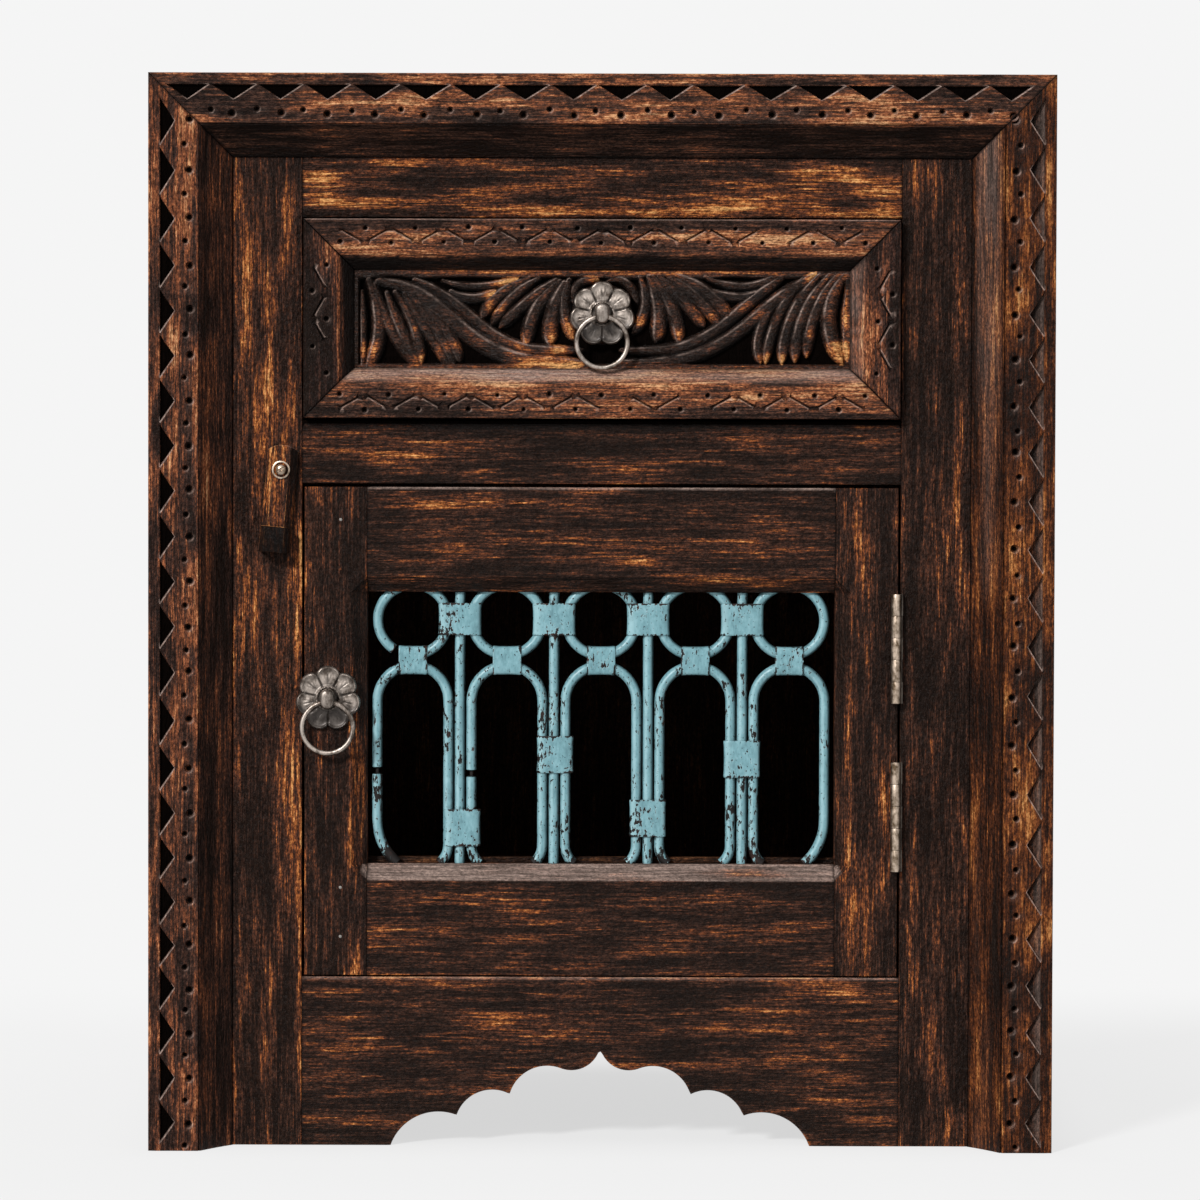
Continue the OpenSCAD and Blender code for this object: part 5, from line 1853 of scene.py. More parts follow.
@dataclass
class Carcass:
    """Sides, top and back, and the boards inside.

    Attributes:
        half: Half its width.
        front: How far its front edge lies before the middle.
        rear: How far its back lies behind the middle.
        tall: Height of the sides.
        height: Height of the top's face.
        thick: Thickness of a board.
        feet: Where the arch between a side's feet starts and ends.
        arch: Height of that arch.
        joints: Places of the glue joints in the sides and the top.
        rear_joints: Places of the joints in the back.
        groove: Half the width of the V along a glue joint.
    """

    half: float = 273
    front: float = 154
    rear: float = 200
    tall: float = 632
    height: float = 650
    thick: float = 18
    feet: Point = (-104, 140)
    arch: float = 45
    joints: Point = (-38, 80)
    rear_joints: tuple[float, ...] = (-131.4, 0.0, 131.4)
    groove: float = 1.1

    def jointed(self, uv: np.ndarray, axis: int, sign: float, level: float) -> np.ndarray:
        """Face of boards glued edge to edge, with a small V along each joint.

        Args:
            uv: Points, n by 2.
            axis: Which coordinate runs across the joints.
            sign: -1 where that coordinate runs the other way.
            level: Height of the face.

        Returns:
            Heights.
        """
        w = level - 0.25 + 0.1 * ripple(uv, (30, 30), 83)
        for joint in self.joints:
            w -= 0.9 * np.clip(1 - np.abs(uv[:, axis] - sign * joint) / self.groove, 0, 1)
        return w

    def grooves(self, joints: Sequence[float], half: float) -> list[float]:
        """Place of both edges and the middle of the V along each joint."""
        return [joint + gap for joint in joints for gap in (-half, 0, half)]

    def side(self, sign: int) -> Relief:
        """Side with the low arch between its feet.

        Args:
            sign: -1 for the left one and 1 for the right one.

        Returns:
            The board.
        """
        turn = np.linspace(0, math.pi / 2, 13)
        a, b, r = self.feet[0], self.feet[1], self.arch
        near = [(a + r - r * math.cos(x), r * math.sin(x)) for x in turn]
        far = [(b - r + r * math.sin(x), r * math.cos(x)) for x in turn]
        ring = [(-self.front, 0.0), *near, *far, (self.rear, 0.0), (self.rear, self.tall), (-self.front, self.tall)]
        ring = anticlockwise([(sign * y, z) for y, z in ring])
        lines = [np.array([(sign * y, r), (sign * y, self.tall)]) for y in self.grooves(self.joints, self.groove)]
        rows = [(sign * -120, 60, 40, 60, 0.1), (sign * 60, 420, 80, 120, 0.08), (sign * 150, 200, 50, 120, 0.06)]
        plane = Plane((0, sign, 0), (0, 0, 1), (sign, 0, 0))
        return Relief(
            ring,
            self.half - self.thick,
            lambda uv: self.jointed(uv, 0, sign, self.half),
            lambda uv: patches(uv, rows),
            arris=0.9,
            rub=0.24,
            step=8,
            lines=lines,
            plane=plane,
            seed=91 + sign,
        )

    def lid(self) -> Relief:
        """Top, of three boards.

        Returns:
            The board.
        """
        ring = box_ring(-self.half, -self.front, self.half, self.rear)
        lines = [np.array([(-self.half, y), (self.half, y)]) for y in self.grooves(self.joints, self.groove)]
        rows = [(0, 20, 170, 90, 0.1), (-150, -60, 60, 40, 0.1), (170, 120, 60, 50, 0.08)]
        return Relief(
            ring,
            self.tall,
            lambda uv: self.jointed(uv, 1, 1, self.height),
            lambda uv: patches(uv, rows),
            arris=1.0,
            rub=0.24,
            step=8,
            lines=lines,
            plane=Plane((1, 0, 0), (0, 1, 0), (0, 0, 1)),
            seed=97,
        )

    def rear_wall(self) -> Relief:
        """Back, of four upright boards.

        Returns:
            The boards as one.
        """
        low, half, groove = 87, 262.8, 1.4
        lines = [np.array([(x, low), (x, self.tall)]) for x in self.grooves(self.rear_joints, groove)]

        def face(uv: np.ndarray) -> np.ndarray:
            """Outer face of the back."""
            gap = np.abs(uv[:, :1] - np.array(self.rear_joints)).min(1)
            return self.rear - 0.2 + 0.1 * ripple(uv, (30, 60), 87) - 1.6 * np.clip(1 - gap / groove, 0, 1)

        return Relief(
            box_ring(-half, low, half, self.tall),
            self.rear - 12,
            face,
            arris=0.8,
            rub=0.15,
            step=9,
            lines=lines,
            plane=Plane((-1, 0, 0), (0, 0, 1), (0, 1, 0)),
            seed=99,
        )

    def build(self, frame: dict) -> None:
        """Make the outer boards and dress the inner ones.

        Args:
            frame: The loaded frame.
        """
        for sign, word in ((-1, "left"), (1, "right")):
            piece = self.side(sign).build(f"jointed_side_{word}", FINISH.side)
            settle(piece, "carcass", "stained_wood", f"side_panel_{word}")
        settle(self.lid().build("jointed_top", FINISH.top), "carcass", "stained_wood", "top_board")
        settle(self.rear_wall().build("matched_back_boards", FINISH.inner_up), "carcass", "inner_wood", "back_boards")
        for node in ("bottom_shelf", "divider_board", "drawer_stops", "door_stop"):
            dress(frame, node, FINISH.inner_across)
        for pair in ("drawer_guide", "drawer_kicker", "shelf_cleat"):
            dress(frame, f"{pair}_left", FINISH.inner_deep)
            dress(frame, f"{pair}_right", FINISH.inner_deep)


@dataclass(frozen=True)
class Leaf:
    """One carved flute.

    Attributes:
        points: Points that pull its middle line along, from the root to the tip.
        width: Its greatest width.
        lift: Its height as a share of the usual one.
    """

    points: tuple[Point, ...]
    width: float
    lift: float = 1.0

    def path(self, count: int = 26) -> np.ndarray:
        """Points down the middle of the flute.

        Args:
            count: How many.

        Returns:
            Points, count by 2.
        """
        t = np.linspace(0, 1, count)[:, None]
        p = np.array(self.points, float)
        if len(p) == 3:
            return p[0] * (1 - t) ** 2 + 2 * p[1] * t * (1 - t) + p[2] * t**2
        stations = np.linspace(0, 1, len(p))
        fine = np.column_stack([np.interp(t[:, 0], stations, p[:, k]) for k in (0, 1)])
        for _ in range(6):
            fine[1:-1] = fine[1:-1] * 0.5 + (fine[:-2] + fine[2:]) * 0.25
        return fine


LEFT_LEAVES = (
    Leaf(((-146, 17), (-144.5, -5), (-145.5, -29)), 4.4),
    Leaf(((-142, 24), (-129, -5), (-142.5, -29)), 8.6, 1.08),
    Leaf(((-138.5, 21), (-131, -7.5), (-113, -27.5)), 7.2),
    Leaf(((-131, 16), (-122.5, -7.5), (-112, -27)), 7.0),
    Leaf(((-126, 16.5), (-112, 0), (-110, -26.5)), 7.0),
    Leaf(((-120, 15.5), (-107.5, -5), (-92.5, -28.5)), 7.0),
    Leaf(((-116.5, 14.5), (-97, -7.5), (-90, -28)), 7.0),
    Leaf(((-112.5, 11.5), (-91, -5), (-86.5, -25.5)), 7.0),
    Leaf(((-97, 23.5), (-78, 16), (-51, 25)), 5.0),
    Leaf(((-92, 17), (-79, 8.5), (-64, 17.5)), 6.4, 0.9),
    Leaf(((-44.5, 25), (-66.5, 17), (-73, 1)), 7.2),
    Leaf(((-38.5, 25), (-57, 15.5), (-67, -3)), 6.4),
    Leaf(((-28, 24), (-46, 12), (-62, -4.5)), 7.2),
    Leaf(((-26, 23), (-45, 8), (-46, -16)), 8.4),
    Leaf(((-23, 22), (-33, 3), (-31.5, -15)), 9.6, 1.04),
    Leaf(((-20, 24), (-26.5, 9.5), (-17.5, -12)), 7.6),
    Leaf(((-17, 10.5), (-19, 26), (-2, 24)), 5.4),
    Leaf(
        ((-136, 23), (-121, 21), (-109, 15), (-94.5, 3), (-76.5, -14), (-53.5, -25), (-30, -26.5), (-12, -26.5)), 10.5
    ),
    Leaf(
        ((-114, 24), (-101, 19), (-88, 9), (-74, -3.5), (-61, -13), (-46, -18.5), (-30, -19), (-12, -18.5)), 7.2, 1.05
    ),
)
RIGHT_LEAVES = (
    Leaf(((105.5, 10), (90, -9), (96.5, -26)), 6.4),
    Leaf(((122, 25), (103, 4), (99.5, -26)), 6.8),
    Leaf(((132, 27), (110, 4), (109.5, -26)), 7.4),
    Leaf(((138, 27), (117, 4), (117.5, -25)), 7.6),
    Leaf(((143, 27), (126, 7), (124.5, -22)), 7.4),
    Leaf(((147.5, 27), (129, 4), (146, -26)), 9.6, 1.08),
    Leaf(((149, 18), (147, -1), (149, -24.5)), 4.6),
    Leaf(((62.5, 26), (86.5, 14.5), (106, 27)), 5.4),
    Leaf(((66, 18), (86.5, 9.5), (100, 19)), 6.2, 0.9),
    Leaf(((44, 27), (66, 20), (78.5, 0)), 8.0),
    Leaf(((39, 27), (58, 16), (71.5, -3)), 7.2),
    Leaf(((34.5, 26.5), (50, 13), (62, -4)), 7.2),
    Leaf(((31, 26), (46, 9), (47, -14)), 8.2),
    Leaf(((28.5, 26), (38, 9), (33, -13)), 9.4, 1.04),
    Leaf(((23, 26), (32, 9), (19, -8)), 7.0),
    Leaf(((3.5, 23), (15.5, 29), (22, 10)), 5.4),
    Leaf(((12, -18.5), (30, -19), (48.5, -17.5), (70.5, -6.5), (91.5, 13), (111, 27)), 7.4, 1.05),
    Leaf(((12, -26), (36, -26), (62, -21), (86.5, -5), (104.5, 12), (129.5, 28)), 8.2),
)


@dataclass
class LeafField:
    """The drawer's sunk field: leaf sprays of convex flutes on a deep dark ground.

    Attributes:
        half: Half its width and half its height.
        middle: Height of its middle over the floor.
        face: Height w that no flute goes beyond.
        ground: Height w of the ground.
        base: Height w of the shell's back.
        border: Width of the plain border.
        rise: Height of a flute over the ground.
        boss: Height of the plain disc's middle over the field's, and its radius.
        step: Distance between points.
        leaves: The flutes, each over those before it.
    """

    half: Point = (150.5, 29.8)
    middle: float = 503.5
    face: float = 170
    ground: float = 164.4
    base: float = 158
    border: float = 2.0
    rise: float = 5.1
    boss: Point = (3.5, 17.5)
    step: float = 0.52
    leaves: tuple[Leaf, ...] = LEFT_LEAVES + RIGHT_LEAVES

    def flute(self, leaf: Leaf, uv: np.ndarray, height: np.ndarray, marks: np.ndarray) -> None:
        """Raise the ground by one flute, where it is higher than what is there.

        Args:
            leaf: The flute.
            uv: Points, n by 2, from the field's middle.
            height: Height over the ground, changed in place.
            marks: How rubbed each point is, its painted highlight and its painted shade, 3 by n, changed in place.
        """
        fresh, film, shadow = marks
        path = leaf.path()
        low, high = path.min(0) - leaf.width, path.max(0) + leaf.width
        near = np.flatnonzero(((uv > low) & (uv < high)).all(1))
        spot = uv[near]
        a, b = path[:-1], path[1:]
        run = b - a
        along = np.clip(((spot[:, None] - a) * run).sum(2) / (run**2).sum(1), 0, 1)
        gap = spot[:, None] - (a + along[..., None] * run)
        far = np.hypot(gap[..., 0], gap[..., 1])
        best = far.argmin(1)
        rows = np.arange(len(near))
        share = (best + along[rows, best]) / len(a)
        # It starts narrow, soon has its full width, and ends round
        blunt = np.sqrt(np.clip(1 - ((share - 0.8) / 0.21).clip(0, 1) ** 2, 0.02, 1))
        swell = np.clip(0.5 + 1.6 * share, 0, 1) * blunt
        half = leaf.width * 0.59 * swell
        side = np.clip(far[rows, best] / half, 0, 1)
        top = (1 - side**2) ** 0.6 * (0.6 + 0.4 * swell) * leaf.lift * self.rise
        better = top > height[near]
        chosen = near[better]
        height[chosen] = top[better]
        # A painted highlight runs as a thin line on the side towards the light, painted shade darkens the
        # side away from it, and handling bares the crest and tip
        lit = (gap[rows, best] @ np.array([-0.6, 0.8])) / np.maximum(far[rows, best], 1e-6)
        line = bell(side, 0.5, 0.11) * smooth(lit, 0.0, 0.5) * np.clip(half / 1.5, 0, 1)
        film[chosen] = line[better]
        fresh[chosen] = (smooth(share, 0.5, 0.9) + 0.5 * (1 - side) ** 2)[better]
        shadow[chosen] = (smooth(side, 0.35, 0.9) * smooth(-lit, -0.2, 0.6))[better]

    def build(self) -> Piece:
        """Carve the field.

        Returns:
            A closed shell, 5 mm thick.
        """
        us, vs = (np.linspace(-half, half, round(2 * half / self.step) + 1) for half in self.half)
        grid = np.stack(np.meshgrid(us, vs), -1).reshape(-1, 2)
        height, fresh, film, shadow = marks = np.zeros((4, len(grid)))
        for leaf in self.leaves:
            self.flute(leaf, grid, height, marks[1:])
        edge = np.minimum(self.half[0] - np.abs(grid[:, 0]), self.half[1] - np.abs(grid[:, 1]))
        rim = 1 - smooth(edge, self.border, self.border + 1.4)
        # Along the top the plain border widens towards both ends
        over = 1 - smooth(self.half[1] - grid[:, 1] + 1.2 * ripple(grid, (16, 16), 8), 3.6, 5.4)
        boss = 1 - smooth(np.hypot(grid[:, 0], grid[:, 1] - self.boss[0]), self.boss[1], self.boss[1] + 1.5)
        height = np.maximum.reduce([height, rim * 5.3, over * 4.9, boss * 4.8])
        height = height + 0.16 * ripple(grid, (2.4, 2.4), 3) + 0.1 * ripple(grid, (7, 1.2), 4)
        w = np.minimum(self.ground + height, self.face)
        worn = 0.4 * fresh * np.clip(0.5 + 1.1 * ripple(grid, (13, 8), 6), 0, 1)
        film = film * np.clip(0.55 + 0.75 * ripple(grid, (7, 7), 16), 0, 1)
        strips = [(-60, 28.6, 100, 2.2, 0.3), (70, 28.6, 90, 2.2, 0.24), (0, -28.8, 150, 2.0, 0.3)]
        worn = worn + patches(grid, strips) + patches(grid, [(147, 0, 5, 22, 0.3), (-132, -8, 12, 18, 0.12)])
        shadow *= (rim < 0.5) * (over < 0.5) * (boss < 0.5)
        # Dirt and painted shade darken the ground and the low parts, and painted shade each flute's side away from the
        # light
        grime = np.maximum(np.clip(1 - height / 3.4, 0, 1) ** 0.7, 0.95 * shadow)
        index = np.arange(len(grid)).reshape(len(vs), len(us))
        cells = np.stack([index[:-1, :-1], index[:-1, 1:], index[1:, 1:], index[1:, :-1]], -1).reshape(-1, 4)
        loop = [*index[0], *index[1:, -1], *index[-1, -2::-1], *index[-2:0:-1, 0]]
        faces, pad = cells.tolist(), np.zeros(len(loop))
        points = shell(FRONT, grid + (0, self.middle), w, faces, loop, [pad + self.base])
        piece = new_piece("leaf_carved_field", points, faces, FINISH.panel, 60)
        # The ground gets the near-black finish of dirt and painted shade
        sooted_and_shaded(piece, height[cells].max(1) < 1.6)
        for name, values in (("wear", worn), ("grime", grime), ("film", film)):
            mark(piece.data, name, np.concatenate([values, pad]))
        return piece


@dataclass
class Drawer:
    """Drawer front with its mitred frame and carved field, and the box behind it.

    Attributes:
        border: Rectangle of the frame's outer edge.
        middle: Height of the field's middle over the floor.
        band: Width of the frame's flat band.
        inner: Width of the frame, out to the field.
        front: Height w of the band.
        low: Height w of the bevel's foot.
        seat: Height w of the front board behind the frame.
        back: Height w of the front board's back.
        period: Length of one zigzag along a member.
        zig: How far in the zigzag's two rows of corners lie.
        recess: Half the width and height of the field's recess, and the height w of its floor.
    """

    border: Border = field(default_factory=lambda: Border(-181, 443.2, 181, 563.8))
    middle: float = 503.5
    band: float = 21
    inner: float = 30.5
    front: float = 182
    low: float = 170
    seat: float = 166
    back: float = 150
    period: float = 32
    zig: Point = (5.5, 14.5)
    recess: Place = (149.9, 29.2, 158.3)

    def height(self, side: Side, uv: np.ndarray) -> np.ndarray:
        """Height of a frame member's face: a flat band and a bevel down to the field.

        Args:
            side: The member.
            uv: Points, n by 2.

        Returns:
            Heights.
        """
        _, t = self.border.along(side, uv)
        fall = np.clip((t - self.band) / (self.inner - self.band), 0, 1)
        w = self.front - 0.25 - (self.front - self.low - 0.5) * fall + 0.7 * np.sin(math.pi * fall)
        return w + 0.12 * ripple(uv, (8, 8), 61) + 0.07 * ripple(uv, (3, 3), 62)

    def zigzag(self, side: Side) -> tuple[list[Cut], list[Punch]]:
        """Grooves and dots along one member.

        Args:
            side: The member.

        Returns:
            The grooves and the dots.
        """
        b = self.border
        middle, reach = (0.0, 158.0) if side.level else (self.middle, 38.0)
        rng = np.random.default_rng(7 + len(side.value))
        cuts, dots = [], []
        stride = self.period / 2
        count = round(reach / stride)
        for i in range(-count, count + 1):
            s = middle + i * stride
            here, there = self.zig[i % 2], self.zig[(i + 1) % 2]
            t = 14.2 if i % 2 == 0 else 5.4
            if abs(s - middle) < reach + 4:
                spot = b.place(side, s + rng.uniform(-1.5, 1.5), t + rng.uniform(-0.5, 0.5))
                dots.append(Punch(spot, rng.uniform(1.6, 2.05), 2.0))
            if i == count or rng.random() < 0.12:
                continue
            # Strokes of the gouge start and stop short of each other, and some are worn away
            a, z = 0.1 + rng.uniform(0, 0.12), 0.9 - rng.uniform(0, 0.14)
            start, end = (b.place(side, s + q * stride, here + (there - here) * q) for q in (a, z))
            cuts.append(Cut(start, end, 0.9, 1.5))
        return cuts, dots

    def member(self, side: Side) -> Relief:
        """One mitred member of the frame.

        Args:
            side: The member.

        Returns:
            The member as a carved board.
        """
        b, r = self.border, self.inner
        outer, small = (box_ring(b.left + k, b.bottom + k, b.right - k, b.top - k) for k in (0, r))
        i = (Side.BOTTOM, Side.RIGHT, Side.TOP, Side.LEFT).index(side)
        ring = [outer[i], outer[i - 3], small[i - 3], small[i]]
        cuts, dots = self.zigzag(side)
        lines = [b.run(side, t) for t in (self.band - 0.5, self.band + 0.6, 24.5, 27.5)]
        rows = {
            Side.TOP: [
                (-135, 555, 30, 5, 0.18), (-60, 557, 30, 4, 0.12), (60, 556, 50, 5, 0.16), (140, 550, 30, 6, 0.12),
                (-30, 545, 70, 2, 0.14),
            ],
            Side.BOTTOM: [
                (-100, 462, 60, 3, 0.2), (90, 460, 60, 4, 0.22), (20, 448, 60, 3, 0.1), (160, 452, 14, 8, 0.12),
            ],
            Side.LEFT: [(-164, 545, 4, 10, 0.2), (-176, 515, 4, 14, 0.12), (-170, 455, 8, 12, 0.12)],
            Side.RIGHT: [(172, 520, 6, 20, 0.14), (156, 500, 4, 26, 0.14), (163, 480, 3, 24, 0.1)],
        }[side]
        # Wear of the band, then painted light on the bevel: wear and painted shade darken the top and left ones,
        # which face away from the light, and painted sheen lightens the right and bottom ones, the bottom one also with
        # wear
        base, bevel, bevel_shade, bevel_sheen = {
            Side.TOP: (0.07, -0.3, 0.72, 0.0),
            Side.LEFT: (-0.08, -0.28, 0.68, 0.0),
            Side.RIGHT: (0.02, 0.0, 0.0, 0.25),
            Side.BOTTOM: (0.08, 0.2, 0.0, 0.86),
        }[side]

        def inward(uv: np.ndarray) -> np.ndarray:
            """Distance in from the outer edge."""
            return b.along(side, uv)[1]

        def bevelled(t: np.ndarray) -> np.ndarray:
            """1 on the bevel and 0 on the band."""
            return smooth(t, self.band + 0.5, self.band + 2)

        def wear(uv: np.ndarray) -> np.ndarray:
            """Wear of this member.

            Args:
                uv: Points, n by 2.

            Returns:
                Wear at each point.
            """
            t = inward(uv)
            # The outer edge lies lower in the hand and stays darker
            outer = 0.15 * (1 - smooth(t, 3, 12)) - 0.15 * ripple(uv, (55, 7) if side.level else (7, 55), 77)
            return patches(uv, rows) + 0.16 * bell(t, self.band, 0.7) + base + bevel * bevelled(t) - outer

        def dirt_and_painted_shade(uv: np.ndarray) -> np.ndarray:
            """Painted shade on this member's bevel, and dirt along its inner edge."""
            t = inward(uv)
            return np.maximum(0.8 * bell(t, r - 0.2, 0.7), bevel_shade * bevelled(t))

        def film(uv: np.ndarray) -> np.ndarray:
            """Painted sheen on this member's bevel, and a painted highlight on the upper edge of the top one.

            Args:
                uv: Points, n by 2.

            Returns:
                Painted sheen at each point.
            """
            edge = 0.55 * (side is Side.TOP) * (1 - smooth(inward(uv), 0.4, 1.2))
            wax = bevel_sheen * smooth(inward(uv), 21.2, 22.5) * np.clip(0.8 + 0.5 * ripple(uv, (50, 3.5), 5), 0, 1.15)
            return edge + wax

        return Relief(
            ring,
            self.seat,
            lambda uv: self.height(side, uv),
            wear,
            dirt_and_painted_shade,
            film,
            arris=[1.2, 0.3, 0.4, 0.3],
            rub=[0.16, -0.3, 0.04, -0.3],
            step=3.4,
            lines=lines,
            punches=dots,
            cuts=cuts,
            seed=31 + len(side.value),
        )

    def build(self, frame: dict) -> None:
        """Make the front and dress the box.

        Args:
            frame: The loaded frame.
        """
        for side in Side:
            finish = FINISH.carved_across if side.level else FINISH.carved_up
            piece = self.member(side).build(f"mitred_frame_{side.value}", finish)
            settle(piece, "drawer", "carved_wood", f"drawer_frame_{side.value}")
        b, (half, tall, floor) = self.border, self.recess

        def face(uv: np.ndarray) -> np.ndarray:
            """Seat of the frame with the recess for the field."""
            sunk = (np.abs(uv[:, 0]) < half) & (np.abs(uv[:, 1] - self.middle) < tall)
            return np.where(sunk, floor, self.seat - 0.1)

        lines = []
        for gap in (0.1, -0.1):
            u, v = half + gap, tall + gap
            lines.append(looped(np.array(box_ring(-u, self.middle - v, u, self.middle + v))))
        slab = Relief(
            box_ring(b.left, b.bottom, b.right, b.top), self.back, face, arris=0.4, rub=0.1, step=12, lines=lines
        )
        settle(slab.build("drawer_front_slab", FINISH.face_across), "drawer", "carved_wood", "drawer_front_board")
        settle(LeafField().build(), "drawer", "carved_wood", "drawer_front_board")
        for node in ("drawer_side_left", "drawer_side_right"):
            dress(frame, node, FINISH.inner_deep, 0.5)
        dress(frame, "drawer_back", FINISH.inner_across, 0.5)
        dress(frame, "drawer_bottom", FINISH.inner_across, 0.4)


@dataclass
class Door:
    """Door stiles and rails with the chamfered window, its pins and battens.

    Attributes:
        half: Half the door's width.
        low: Its lower edge.
        high: Its upper edge.
        window: Half the window's width, and its lower and upper edge.
        chamfer: Width and depth of the chamfer round the window.
        face: Height w of the boards' faces.
        back: Height w of their backs.
    """

    half: float = 180.5
    low: float = 104
    high: float = 401.5
    window: Place = (142.5, 171.5, 337.5)
    chamfer: Point = (9.5, 9.0)
    face: float = 174
    back: float = 154.3

    def height(self, uv: np.ndarray, seed: int) -> np.ndarray:
        """Face with the chamfer round the window and its slanted corner facets.

        Args:
            uv: Points, n by 2.
            seed: Which swells.

        Returns:
            Heights.
        """
        u, v = np.abs(uv[:, 0]), uv[:, 1]
        wide, deep = self.chamfer
        x, z0, z1 = self.window
        over = np.maximum(0, np.maximum(z0 - v, v - z1)) / wide
        across = (x + wide - u) / wide
        level = u < x + 0.01
        fall = np.where(level, 1 - over, across - over)
        w = self.face - 0.25 - deep * np.clip(fall, 0, 1)
        lip = bell(v, z0 - wide - 0.9, 0.7) * np.where(level, 0.55, 0)
        return w - lip + 0.13 * ripple(uv, (11, 30), seed) + 0.07 * ripple(uv, (4, 6), seed + 1)

    def stile(self, sign: int) -> Relief:
        """Upright of the door.

        Args:
            sign: -1 for the left one and 1 for the right one.

        Returns:
            The board.
        """
        x, z0, z1 = self.window
        wide = self.chamfer[0]
        far = sign * (x + wide)
        lines = [np.array([(far, z0), (far, z1)])]
        lines.extend(np.array([(far, z0), (sign * x, z)]) for z in (z0 - wide, z0))
        lines.extend(np.array([(far, z1), (sign * x, z)]) for z in (z1 + wide, z1))
        edges = sorted((sign * self.half, sign * x))
        rows = {
            -1: [
                (-172, 330, 7, 40, 0.12), (-160, 230, 8, 60, 0.08), (-176, 150, 4, 40, 0.16), (-165, 392, 14, 6, 0.08),
            ],
            1: [(158, 150, 6, 34, 0.24), (168, 240, 8, 60, 0.1), (160, 340, 6, 40, 0.12), (150, 390, 8, 12, 0.1)],
        }[sign]

        def wear(uv: np.ndarray) -> np.ndarray:
            """Wear of this stile, more along the chamfer's arris."""
            within = (uv[:, 1] > z0 - 2) & (uv[:, 1] < z1 + 2)
            return patches(uv, rows) + 0.2 * bell(np.abs(uv[:, 0]), x + wide, 0.8) * within - 0.06

        def film(uv: np.ndarray) -> np.ndarray:
            """Painted sheen on the end of the sill, which faces up."""
            return 0.8 * (uv[:, 1] < z0 - 0.2) * (np.abs(uv[:, 0]) - x + z0 - uv[:, 1] < wide - 0.1)

        return Relief(
            box_ring(edges[0], self.low, edges[1], self.high),
            self.back,
            lambda uv: self.height(np.column_stack([np.maximum(np.abs(uv[:, 0]), x + 0.02), uv[:, 1]]), 65),
            wear,
            film=film,
            arris=0.7,
            rub=[0.12, 0.14, 0.12, 0.14] if sign < 0 else [0.12, 0.1, 0.12, 0.12],
            step=3.6,
            lines=lines,
            seed=67 + sign,
        )

    def rail(self, low: float, high: float, seed: int) -> Relief:
        """Level board of the door, above or below the window.

        Args:
            low: Its lower edge.
            high: Its upper edge.
            seed: Which swells.

        Returns:
            The board.
        """
        x, z0, z1 = self.window
        under = high <= z0 + 1
        at = z0 - self.chamfer[0] if under else z1 + self.chamfer[0]
        lines = [np.array([(-x, at - gap), (x, at - gap)]) for gap in ((0, 0.5, 1.3, -0.5, -1.1) if under else (0,))]
        rows = {
            True: [(-40, 150, 80, 8, 0.1), (70, 130, 60, 10, 0.12), (20, 167, 100, 3, 0.05), (88, 166, 26, 3.5, 0.34)],
            False: [(30, 372, 90, 10, 0.08), (-90, 392, 40, 5, 0.1)],
        }[under]

        def wear(uv: np.ndarray) -> np.ndarray:
            """Wear of this rail, more along the sill's lip."""
            return patches(uv, rows) + (0.2 if under else 0.08) * bell(uv[:, 1], at, 0.8) - 0.05

        def film(uv: np.ndarray) -> np.ndarray:
            """Painted sheen on the sill, which faces up, less where hands rest, and painted highlights along the
            arrises.

            Args:
                uv: Points, n by 2.

            Returns:
                Painted sheen at each point.
            """
            crest = 0.85 * bell(uv[:, 1], high - 0.4, 0.4)
            if not under:
                return crest
            rubbed = 1 - patches(uv, [(88, 166, 28, 3, 0.85), (-20, 165, 20, 2.5, 0.4)])
            sill_sheen = 0.8 * smooth(uv[:, 1], at, at + 0.9) * rubbed
            return np.maximum.reduce([sill_sheen, bell(uv[:, 1], at + 0.3, 0.45), crest])

        return Relief(
            box_ring(-x, low, x, high),
            self.back,
            lambda uv: self.height(np.column_stack([np.minimum(np.abs(uv[:, 0]), x), uv[:, 1]]), seed),
            wear,
            film=film,
            arris=[0.6, 0.35, 0.6, 0.35],
            rub=[0.12, -0.3, 0.25 if under else 0.1, -0.3],
            step=3.4,
            lines=lines,
            seed=seed,
        )

    def build(self, frame: dict) -> None:
        """Make the door's boards and pins.

        Args:
            frame: The loaded frame.
        """
        _, z0, z1 = self.window
        boards = {
            "door_stile_left": self.stile(-1),
            "door_stile_right": self.stile(1),
            "door_rail_top": self.rail(z1, self.high, 73),
            "door_rail_bottom": self.rail(self.low, z0, 79),
        }
        for node, board in boards.items():
            finish = FINISH.face_up if "stile" in node else FINISH.face_across
            settle(board.build(f"chamfered_{node}", finish), "door", "stained_wood", node)
        # Two pins go through each tenon
        dome = [(0, -3), (1.05, -3), (1.1, 0.0), (0.85, 0.3), (0.4, 0.42), (0, 0.44)]
        head = turned("pin_head", dome, FINISH.steel, 12)
        spots = np.array([(x, -self.face + 0.35, z) for x in (-158.5, 158.5) for z in (157.5, 127.5, 351.5, 381.5)])
        pins = Repeat(jitter=0.06).run("joint_pin_heads", head, spots, np.zeros(spots.shape), FINISH.steel)
        # Three heads are rubbed bright and the others are stained over
        places = np.array([f.center for f in pins.data.polygons]) / MM
        covered = (places[:, 0] > 0) | ((places[:, 2] > 200) & (places[:, 2] < 370))
        pins.data.materials.append(FINISH.face_up.material())
        pins.data.polygons.foreach_set("material_index", covered.astype(np.int32))
        settle(pins, "door", "dark_steel", "door_joint_pins")
        dress(frame, "grille_battens", FINISH.inner_across, 0.6)


